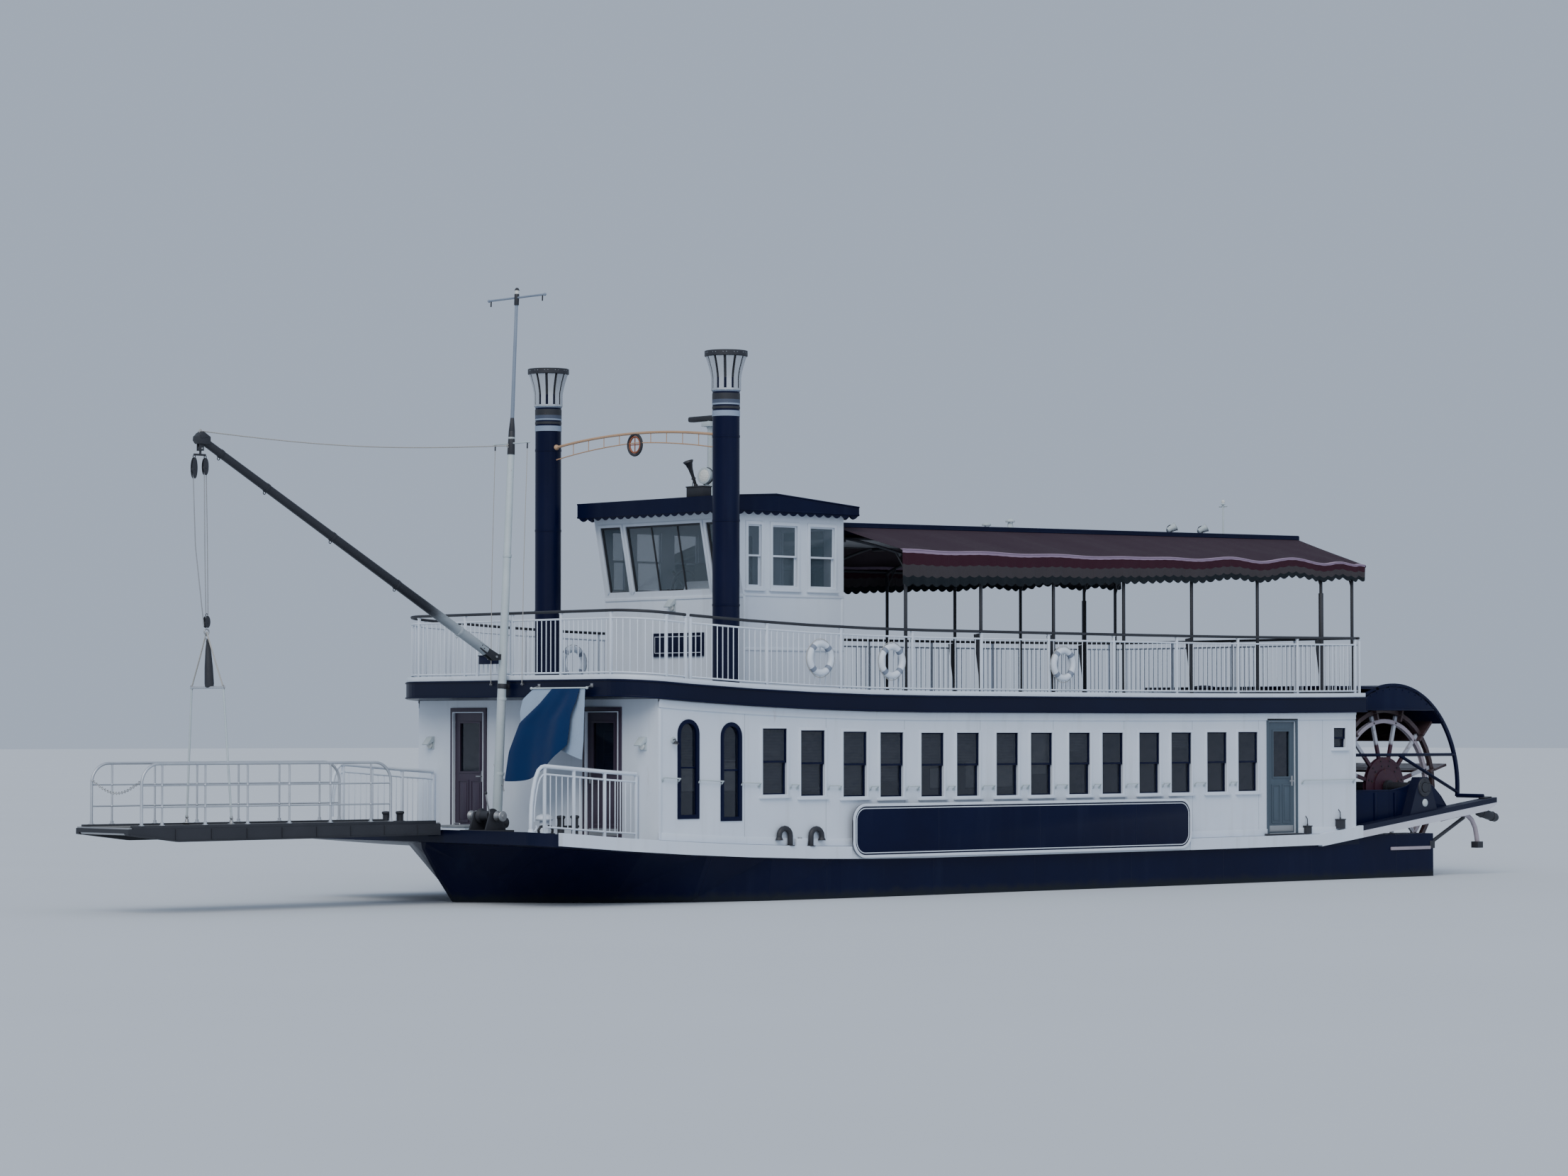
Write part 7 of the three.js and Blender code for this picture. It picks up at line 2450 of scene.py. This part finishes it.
# %% [markdown]
# ## The foredeck's railings
# Each foredeck railing is built as the ones above are: posts, rails and pickets. Its thick white top
# rail ends in a curl that bends down to the deck. The curl is a tube along points that get steeper.

# %% Foredeck railings with a curled end
FORE_Y, FORE_BACK, FORE_FRONT = 2.60, 8.46, 10.30
FORE_LEVELS = (1.04, 0.92, 0.11)
fore_places = [FORE_BACK, 9.10, 9.72, FORE_FRONT]
fore_line = [(x, FORE_Y) for x in fore_places]
fore_parts = railing(fore_line, deck_at, FORE_LEVELS, fore_line, cap=white)
curl = [
    (0, 1.04), (0.06, 1.03), (0.12, 0.98), (0.18, 0.86), (0.225, 0.68), (0.26, 0.45), (0.268, 0.22),
    (0.27, 0.03),
]
deck_front = deck_at(FORE_FRONT)
curl_line = [(FORE_FRONT + ahead, FORE_Y, deck_front + high) for ahead, high in curl]
fore_parts.append(coated(tube(curl_line, 0.030, sides=14), white))
inner = [
    (FORE_FRONT + 0.80 * ahead - 0.01, FORE_Y, deck_front + 0.88 * high)
    for ahead, high in curl
    if high > 0.1
]
fore_parts.append(coated(tube(inner, 0.014, sides=10), white))
turns = [-math.pi * 0.1 * i for i in range(13)]
scroll = [
    (FORE_FRONT + 0.215 + 0.055 * math.cos(a), FORE_Y, deck_front + 0.10 + 0.055 * math.sin(a))
    for a in turns
]
fore_parts.append(coated(tube(scroll, 0.014, sides=10), white))
shoe = lathed([(0, 0), (0.07, 0), (0.07, 0.012), (0.042, 0.018), (0.036, 0.06), (0, 0.06)],
              (FORE_FRONT + 0.27, FORE_Y, deck_front + 0.020), steps=24)
fore_parts.append(coated(shoe, white))
top_cap = tube([(x, FORE_Y, deck_at(x) + 1.042) for x in fore_places], 0.032, sides=14)
fore_parts.append(coated(top_cap, white))
pair("foredeck_railing", fore_parts, slot="white_paint", stands_for=("fore_railing",), edge=0.002)

# %% [markdown]
# ## Deck gear on the foredeck
# Near the mast's foot the photograph shows a cluster of dark gear. It is modelled as what such a
# deck carries: a small anchor windlass on a bed, two pairs of bitts at the sides with a fairlead
# before each, a low hatch, and a mushroom vent.


# %% A windlass: bed, gear case, drum and two warping heads
def windlass(x, y):
    foot = Vector((x, y, deck_at(x) + 0.006))
    middle = foot + UP * 0.27
    bed = block(beside(foot, -0.28, -0.34), beside(foot, 0.28, 0.34, 0.05))
    cheek = ((-0.20, 0.045), (0.20, 0.045), (0.10, 0.34), (-0.10, 0.34))
    cheeks = [
        slab([beside(foot, ahead, aside, up) for ahead, up in cheek], (0, 0.035, 0))
        for aside in (-0.22, 0.185)
    ]
    shaft_bar = bar(middle - ACROSS * 0.42, middle + ACROSS * 0.42, 0.028, sides=20)
    drum_line = [(0, -0.15), (0.12, -0.15), (0.12, -0.13), (0.08, -0.11), (0.08, 0.11), (0.12, 0.13)]
    drum = lathed([*drum_line, (0.12, 0.15), (0, 0.15)], middle, axis=ACROSS, steps=36)
    head_line = [
        (0, 0), (0.085, 0), (0.060, 0.04), (0.055, 0.08), (0.085, 0.13), (0.075, 0.14), (0, 0.14)
    ]
    heads = [
        lathed(head_line, middle + ACROSS * way * 0.27, axis=ACROSS * way, steps=32) for way in (-1, 1)
    ]
    case = block(beside(foot, -0.30, -0.12, 0.05), beside(foot, -0.13, 0.10, 0.30))
    motor = bar(beside(foot, -0.36, 0.03, 0.16), beside(foot, -0.14, 0.03, 0.16), 0.085, sides=28)
    lever = ((0.10, 0.30), (0.16, 0.52), (0.18, 0.62))
    handle = tube([beside(foot, ahead, 0.20, up) for ahead, up in lever], 0.012)
    knob = ball(beside(foot, 0.182, 0.20, 0.635), 0.026, rings=8)
    moving = all_in(steel, shaft_bar, *heads, handle)
    return moving + all_in(black, bed, *cheeks, drum, case, motor, knob)


piece("anchor_windlass", windlass(9.86, 0.62), slot="black_paint", edge=0.004)


# %% Bitts and fairleads
def bitts(x, y):
    z = deck_at(x) + 0.006
    parts = [block((x - 0.24, y - 0.09, z), (x + 0.24, y + 0.09, z + 0.020))]
    horn = [
        (0, 0), (0.062, 0), (0.055, 0.02), (0.055, 0.25), (0.072, 0.27), (0.072, 0.295), (0.05, 0.305),
        (0, 0.31),
    ]
    for way in (-1, 1):
        parts.append(lathed(horn, (x + way * 0.14, y, z + 0.018), steps=28))
    parts.append(bar((x - 0.24, y, z + 0.15), (x + 0.24, y, z + 0.15), 0.018, sides=16))
    return parts


def fairlead(x, y):
    z = deck_at(x) + 0.006
    parts = [block((x - 0.15, y - 0.05, z), (x + 0.15, y + 0.05, z + 0.018))]
    for way in (-1, 1):
        horn = ((0.13, 0.01), (0.14, 0.07), (0.10, 0.12), (0.05, 0.125))
        parts.append(tube([(x + way * ahead, y, z + high) for ahead, high in horn], 0.022, sides=10))
    return parts


pair("mooring_bitts", [*bitts(9.55, 2.25), *fairlead(10.05, 2.32)], finish=black, edge=0.004)

# %% A low hatch with hinges, and a mushroom vent
hatch_at = Vector((8.98, -1.0, deck_at(8.98) + 0.006))
coaming = hollow_frame(
    beside(hatch_at, -0.30, -0.30), beside(hatch_at, 0.30, 0.30, 0.12), 0.03, across="z"
)
cover = block(beside(hatch_at, -0.315, -0.315, 0.12), beside(hatch_at, 0.315, 0.315, 0.155))
hinges = []
for aside in (-0.18, 0.18):
    knuckle = beside(hatch_at, -0.325, aside, 0.135)
    hinges.append(bar(knuckle - ACROSS * 0.05, knuckle + ACROSS * 0.05, 0.014, sides=12))
grip_line = ((-0.08, 0.15), (-0.07, 0.185), (0.07, 0.185), (0.08, 0.15))
grip = tube([beside(hatch_at, 0.22, aside, up) for aside, up in grip_line], 0.008)
hatch = [coated(coaming, white), coated(cover, deck_grey)] + all_in(steel, *hinges, grip)
vent_foot = (9.02, 1.02, deck_at(9.02) + 0.006)
vent = lathed([(0, 0), (0.11, 0), (0.085, 0.02), (0.075, 0.26), (0, 0.26)], vent_foot, steps=28)
vent_cap = lathed(
    [(0.02, 0.25), (0.13, 0.255), (0.145, 0.28), (0.12, 0.33), (0.06, 0.355), (0, 0.36)],
    vent_foot,
    steps=32,
)
piece(
    "foredeck_hatch_and_vent", [*hatch, *all_in(white, vent, vent_cap)], slot="white_paint", edge=0.003
)

# %% [markdown]
# ## Two flags under the upper deck's front edge
# A plain blue flag hangs from a short spar that is bolted to the edge of the upper deck. A pale one
# hangs behind it and shows at both its sides, and a light wind pushes their free ends to starboard.
# Each is a fine grid that is moved by a formula: five points down each side edge give its outline,
# and folds grow from the sewn edge downwards. A cloth simulation would give folds too, but no
# control over where the free ends come to lie.

# %% The spar that carries them
FLAG_X, FLAG_TOP = UPPER_FRONT + 0.13, 4.285
spar_ends = [Vector((FLAG_X, y, FLAG_TOP + 0.004)) for y in (0.76, 2.14)]
flag_gear = [coated(bar(*spar_ends, 0.014, sides=14), pole)]
flag_gear += [coated(ball(end, 0.024, rings=8), pole) for end in spar_ends]
for y in (0.80, 2.11):
    arm = bar((UPPER_FRONT - 0.01, y, 4.33), (FLAG_X, y, FLAG_TOP + 0.004), 0.010, sides=10)
    plate = block((UPPER_FRONT - 0.004, y - 0.03, 4.30), (UPPER_FRONT + 0.008, y + 0.03, 4.36))
    flag_gear += all_in(steel, arm, plate)
piece("flag_spar", flag_gear)


# %% A flag between its two side edges
def on_edge(edge, share):
    """A point at this share of a line, where each of its steps counts the same."""
    place = share * (len(edge) - 1)
    start = min(int(place), len(edge) - 2)
    return Vector(edge[start]).lerp(Vector(edge[start + 1]), place - start)


def flag(name, inner, outer, finish, ahead, fold, sag):
    """Side edges are (y, z) from the spar down."""
    deselect()
    bpy.ops.mesh.primitive_grid_add(x_subdivisions=40, y_subdivisions=48, size=1)
    cloth = settle()
    for point in cloth.data.vertices:
        u, v = point.co.x + 0.5, 0.5 - point.co.y
        y, z = on_edge(inner, v).lerp(on_edge(outer, v), u)
        z -= sag * math.sin(math.pi * u) * v * v
        wave = math.sin(8.5 * u + 1.6 * v) + 0.35 * math.sin(19 * u - 2.6 * v + 1)
        point.co = (FLAG_X + ahead * (0.2 + v) + fold * wave * v ** 0.7, y, z)
    finished_with(cloth, "SMOOTH", factor=0.5, iterations=4)
    finished_with(cloth, "SOLIDIFY", thickness=0.003, offset=0)
    whole = piece(name, [facing_out(cloth)], finish=finish, smooth=60)


flag(
    "blue_flag",
    [(1.30, FLAG_TOP), (1.02, 4.05), (0.54, 3.74), (0.30, 3.28), (0.22, 2.80)],
    [(2.00, FLAG_TOP), (1.93, 4.07), (1.82, 3.87), (1.79, 3.65), (1.74, 3.40)],
    flag_blue, 0.08, 0.038, 0.20,
)
flag(
    "pale_flag",
    [(0.80, FLAG_TOP), (0.52, 4.12), (0.44, 3.92), (0.45, 3.75), (0.52, 3.60)],
    [(2.10, FLAG_TOP), (2.08, 4.02), (2.05, 3.75), (2.02, 3.45), (1.96, 3.15)],
    flag_pale, -0.035, 0.018, 0.0,
)

# %% A box and a short post at the upper deck's front rail
box_x, box_y, box_z = UPPER_FRONT - RAIL_INSET + 0.03, -0.49, upper_at(UPPER_FRONT - 0.1) + 0.27
rail_box = block((box_x, box_y - 0.26, box_z), (box_x + 0.07, box_y + 0.26, box_z + 0.13))
rail_lid = block(
    (box_x - 0.002, box_y - 0.27, box_z + 0.13), (box_x + 0.085, box_y + 0.27, box_z + 0.145)
)
latch = block((box_x + 0.07, box_y - 0.025, box_z + 0.07), (box_x + 0.08, box_y + 0.025, box_z + 0.135))
short_post = bar((box_x, -0.87, box_z - 0.26), (box_x, -0.87, box_z + 0.30), 0.028, sides=20)
post_cap = ball((box_x, -0.87, box_z + 0.30), (0.034, 0.034, 0.022), rings=8)
boxes = all_in(navy, rail_box, rail_lid) + all_in(steel, latch) + all_in(white, short_post, post_cap)
piece("front_rail_box", boxes, slot="navy_paint", edge=0.003)

# %% [markdown]
# ## The hood over the paddle wheel
# The wheel throws water, so a navy hood covers its front and top. It is sheet metal over four bows,
# with lapped plates, rolled edges, a skirt down to the height of the rims, and an apron that reaches
# forward over the deck's edge. A bent bar carries each side down to the timber, with a horizontal
# brace and a diagonal one. Nearly all of it are arcs about the wheel's own axis, so one function
# gives a point from its angle and its distance from that axis.

# %% Points and plates round the wheel's axis
HOOD_R, HOOD_HALF, HOOD_FORE, HOOD_AFT = 1.87, 2.40, 58, 140


def round_wheel(angle, radius, y=0.0):
    """A point at an angle in degrees, counted up from the bow, and a distance from the shaft."""
    turn = math.radians(angle)
    return Vector((WHEEL_X + radius * math.cos(turn), y, WHEEL_Z + radius * math.sin(turn)))


def arc_plate(radii, angles, sides, pitch=3.0):
    """A plate between two radii, two angles in degrees and two places across the boat."""
    start, end = angles
    steps = max(1, round((end - start) / pitch))
    turns = [start + (end - start) * i / steps for i in range(steps + 1)]
    outline = [round_wheel(turn, radii[0], sides[0]) for turn in turns]
    outline += [round_wheel(turn, radii[1], sides[0]) for turn in reversed(turns)]
    return slab(outline, (0, sides[1] - sides[0], 0))


# %% Sheet, laps, bows, rolled edges and apron
hood_parts = [arc_plate((HOOD_R, 1.90), (HOOD_FORE, HOOD_AFT), (-HOOD_HALF, HOOD_HALF))]
for turn in (74, 90, 106, 122):
    hood_parts.append(arc_plate((1.895, 1.907), (turn, turn + 2.4), (-HOOD_HALF, HOOD_HALF)))
for y in (-1.55, -0.52, 0.52, 1.55):
    hood_parts.append(arc_plate((1.835, 1.872), (HOOD_FORE, HOOD_AFT), (y - 0.025, y + 0.025)))
for turn in (HOOD_FORE, HOOD_AFT):
    ends = [round_wheel(turn, 1.885, way * HOOD_HALF) for way in (-1, 1)]
    hood_parts.append(bar(*ends, 0.024, sides=16))
apron = [(-9.95, 4.385), (-8.73, 4.405), (-8.73, 4.445), (-9.95, 4.435)]
hood_parts.append(slab([(x, -HOOD_HALF, z) for x, z in apron], (0, 2 * HOOD_HALF, 0)))
hood_parts.append(bar((-8.73, -HOOD_HALF, 4.425), (-8.73, HOOD_HALF, 4.425), 0.026, sides=16))
for y in (-2.2, -0.75, 0.75, 2.2):
    hood_parts.append(
        bar((-8.735, y, 4.42), (UPPER_BACK - 0.004, y, upper_at(UPPER_BACK) - 0.06), 0.018, sides=12)
    )
piece("hood_sheet", hood_parts, finish=navy, stands_for=("wheel_hood",), edge=0.002)

# %% Skirt, bar, braces and strut on each side
SKIRT_Z = 4.01
BAR_TURN, BAR_Y = 186, 2.375  # where the bent bar ends, and its middle across the boat
skirt = [round_wheel(HOOD_FORE + 2.74 * i, 1.885, 2.385) for i in range(27)]
skirt.append(Vector((skirt[0].x, 2.385, SKIRT_Z)))
side_parts = [slab(skirt, (0, 0.012, 0))]
lip = [(skirt[0].x - 0.005, 2.394, SKIRT_Z), (skirt[-2].x + 0.02, 2.394, SKIRT_Z)]
side_parts.append(bar(*lip, 0.018, sides=12))
side_parts.append(arc_plate((1.865, 1.945), (HOOD_FORE, BAR_TURN), (2.35, 2.40)))
bar_end = round_wheel(BAR_TURN, 1.905, BAR_Y)
strut_foot = Vector((-12.35, 2.96, 2.374))
side_parts.append(bar(bar_end + Vector((0.01, 0, 0.02)), strut_foot, 0.040, sides=20))
brace_end = round_wheel(161.6, 1.905, BAR_Y)
side_parts.append(bar((CABIN_BACK - 0.002, BAR_Y, brace_end.z), brace_end, 0.030, sides=16))
side_parts.append(bar((-10.55, BAR_Y, brace_end.z), round_wheel(183.5, 1.90, BAR_Y), 0.032, sides=16))
side_parts.append(
    block((CABIN_BACK - 0.014, 2.29, brace_end.z - 0.08), (CABIN_BACK, 2.46, brace_end.z + 0.08))
)
for turn in range(62, 130, 6):
    middle = round_wheel(turn, 1.84, 2.397)
    side_parts.append(bar(middle, middle + ACROSS * 0.010, 0.013, sides=6))
pair("hood_side", side_parts, finish=navy, edge=0.003)

# %% [markdown]
# ## Details of the paddle wheel
# The frame gives the spiders, rims and boards. On them go what holds such a wheel together: a pale
# flat circle on each side of the arms, a red flange round each hub, both bolted to each arm, a
# second narrower board inside each board, and a plate where an arm carries its board. One of each
# is made at the first arm and spun round the shaft in twelve steps.

# %% Twelve of everything
circle_paint = iron_paint("circle_paint", (0.26, 0.22, 0.26), (0.44, 0.39, 0.43), (0.13, 0.05, 0.03))
ARM_TURN, ARM_HALF = 15, 0.034


def at_arm(radius, aside, y):
    """A point by the first arm: its distance from the shaft, and how far it is aside of the arm."""
    turn = math.radians(ARM_TURN)
    side = Vector((-math.sin(turn), 0, math.cos(turn)))
    return round_wheel(ARM_TURN, radius, y) + side * aside


def twelve(shape):
    return spun_copies(shape, 12, (WHEEL_X, 0, WHEEL_Z), axis=ACROSS)


def plate_at_arm(radii, asides, sides):
    corners = [
        (radii[0], asides[0]), (radii[1], asides[0]), (radii[1], asides[1]), (radii[0], asides[1])
    ]
    outline = [at_arm(radius, aside, sides[0]) for radius, aside in corners]
    return twelve(slab(outline, (0, sides[1] - sides[0], 0)))


def flat_ring(radii, sides):
    inner, outer = radii
    profile = [
        (inner, sides[0]), (outer, sides[0]), (outer, sides[1]), (inner, sides[1]), (inner, sides[0])
    ]
    return lathed(profile, (WHEEL_X, 0, WHEEL_Z), axis=ACROSS, steps=72)


# %% Circles, flanges, inner boards and bolts
circles, flanges, irons = [], [], []
for middle in (-2.13, 0, 2.13):
    for way in (-1, 1):
        inner, outer = sorted((middle + way * 0.025, middle + way * 0.040))
        circles.append(flat_ring((1.20, 1.275), (inner, outer)))
        flanges.append(flat_ring((0.32, 0.56), (inner, outer)))
        for radius in (0.40, 0.50, 1.237):
            head = at_arm(radius, 0, middle + way * 0.040)
            irons.append(twelve(bar(head, head + ACROSS * way * 0.014, 0.016, sides=6)))
    irons.append(plate_at_arm((1.46, 1.74), (0.079, 0.087), (middle - 0.06, middle + 0.06)))
inner_boards = plate_at_arm((1.285, 1.405), (ARM_HALF + 0.003, ARM_HALF + 0.045), (-2.25, 2.25))
piece("wheel_circles", circles, body="paddle_wheel", finish=circle_paint, slot="wheel_red", edge=0.002)
piece("hub_flanges", flanges, body="paddle_wheel", finish=spoke_paint, edge=0.002)
piece("inner_boards", [inner_boards], body="paddle_wheel", finish=board_wood, edge=0.004)
collar = [(0.086, 0), (0.125, 0), (0.125, 0.07), (0.086, 0.07), (0.086, 0)]
for y in (-2.84, -2.29, 2.22, 2.77):
    irons.append(lathed(collar, (WHEEL_X, y, WHEEL_Z), axis=ACROSS, steps=36))
piece("wheel_irons", irons, body="paddle_wheel", finish=black)

# %% [markdown]
# ## Bearings, shade panels and the timbers' ends
# The wheel's shaft runs in blocks on two long timbers. A dark navy panel stands on each timber
# inside its block and hides the lower half of the wheel. It is painted shade: a sheet put where the
# wheel's lower half lies in shadow. At the timber's end hang a dark fender and a bent guard, with a
# brace from the hull's tail. The timber itself is white only along its lower half, and dark above
# it, so its finish follows the same slope as its shape.


# %% The timber's finish
def timber_top(x):
    return 1.74 + 0.12 * (-7.4 - x)


def timber_paint():
    paint = Finish("timber_paint", Specular_IOR_Level=0.35)
    cloudy = paint.noise(1.6, detail=6)
    above = paint.along(2) + paint.along(0) * 0.12 - (timber_top(0) - 0.095)
    dark = paint.mix(cloudy, (0.0010, 0.0020, 0.014), (0.003, 0.006, 0.030))
    light = paint.mix(cloudy, (0.50, 0.50, 0.56), (0.66, 0.67, 0.72))
    rust = paint.ramp(paint.noise(4.0, (0.4, 1, 1), detail=7, roughness=0.7), 0.60, 0.72)
    light = paint.mix(rust * 0.6, light, (0.24, 0.17, 0.15))
    dark_part = paint.ramp(above, -0.004, 0.004)
    paint.set(Base_Color=paint.mix(dark_part, light, dark), Roughness=cloudy * 0.25 + 0.36)
    paint.relief(rust + cloudy * 0.5, 0.004)
    return paint.material


timber_finish = timber_paint()
for side in ("port", "starboard"):
    coated(frame["nodes"]["wheel_timber_" + side], timber_finish)

# %% Shade panel with battens: a dark sheet of painted shade over the wheel's lower half
panel_line = [
    (-8.56, timber_top(-8.56) - 0.02), (-8.56, 2.50), (-9.70, 2.50), (-10.10, 2.56), (-10.26, 2.62),
    (-10.28, 2.52), (-10.33, 2.46), (-10.40, 2.435), (-10.47, 2.46), (-10.52, 2.52), (-10.54, 2.64),
    (-10.66, 2.66), (-10.90, 2.57), (-11.14, 2.38), (-11.30, 2.20), (-11.32, timber_top(-11.32) - 0.02),
]
panel = slab([(x, 2.868, z) for x, z in panel_line], (0, 0.036, 0))
edge_tube = tube([(x, 2.886, z) for x, z in panel_line[1:5]], 0.022, sides=10)
aft_tube = tube([(x, 2.886, z) for x, z in panel_line[10:15]], 0.022, sides=10)
battens = [
    block((x - 0.03, 2.90, timber_top(x) - 0.01), (x + 0.03, 2.925, 2.47))
    for x in (-8.62, -9.20, -9.78)
]
pair("splash_panel", [panel, edge_tube, aft_tube, *battens], finish=navy, edge=0.003)

# %% Bearing cap, bolts, grease cup, fender, guard and brace
gear = [lathed([(0.10, 3.095), (0.18, 3.095), (0.17, 3.122), (0.10, 3.122), (0.10, 3.095)],
               (WHEEL_X, 0, WHEEL_Z), axis=ACROSS, steps=40)]
for turn in range(30, 360, 60):
    spot = round_wheel(turn, 0.14, 3.118)
    gear.append(bar(spot, spot + ACROSS * 0.014, 0.012, sides=6))
for ahead in (-0.34, -0.26, 0.26, 0.34):
    x = WHEEL_X + ahead
    gear.append(bar((x, 3.03, timber_top(x) + 0.02), (x, 3.03, timber_top(x) + 0.075), 0.018, sides=6))
gear = all_in(black, *gear)
gear.append(coated(ball((-10.42, 3.10, 2.27), (0.075, 0.035, 0.075), rings=10), pole))
fender_line = [
    (0, 0), (0.06, 0.004), (0.085, 0.05), (0.088, 0.30), (0.085, 0.56), (0.06, 0.606), (0, 0.61)
]
fender_foot, fender_way = Vector((-12.06, 3.03, 2.095)), Vector((-0.97, 0, -0.23))
fender = lathed(fender_line, fender_foot, axis=fender_way, steps=32)
bands = [ring(fender_foot + fender_way * far, fender_way, 0.086, 0.010) for far in (0.14, 0.46)]
gear += all_in(black, fender, *bands)
guard = [
    (-10.98, 1.955), (-11.30, 2.005), (-11.60, 2.035), (-11.76, 2.02), (-11.90, 1.93), (-12.00, 1.78),
    (-12.05, 1.60), (-12.07, 1.46),
]
gear.append(coated(tube([(x, 3.03, z) for x, z in guard], 0.045, sides=12), circle_paint))
gear.append(coated(block((-12.14, 2.95, 1.40), (-11.98, 3.11, 1.52)), black))
gear.append(coated(bar((-10.66, 3.0, 1.50), (-11.66, 3.03, 1.98), 0.035, sides=14), black))
gear.append(coated(block((-10.74, 2.94, 1.42), (-10.60, 3.075, 1.56)), black))
foot_plate = [
    (strut_foot.x + ahead, 2.92, timber_top(strut_foot.x + ahead) + 0.002) for ahead in (-0.10, 0.10)
]
foot_plate += [(x, y, z + 0.020) for x, y, z in reversed(foot_plate)]
gear.append(coated(slab(foot_plate, (0, 0.16, 0)), black))
pair("timber_gear", gear, slot="black_paint", edge=0.002)

# %% Pale strakes on the hull's tail, and straps on the rudders
strake = block((-10.60, 3.055, 1.405), (-9.45, 3.092, 1.465))
pair("tail_strake", [strake], finish=circle_paint, slot="white_paint", edge=0.008)
straps = [block((-11.30, 2.69, z), (-10.80, 2.77, z + 0.05)) for z in (0.20, 0.42, 0.64)]
stock_cap = lathed(
    [(0, 0), (0.06, 0), (0.06, 0.03), (0.03, 0.045), (0, 0.045)], (-10.775, 2.73, 0.86), steps=24
)
pair(
    "rudder_straps",
    [*straps, stock_cap],
    bodies=("rudder_port", "rudder_starboard"),
    finish=black,
    edge=0.003,
)
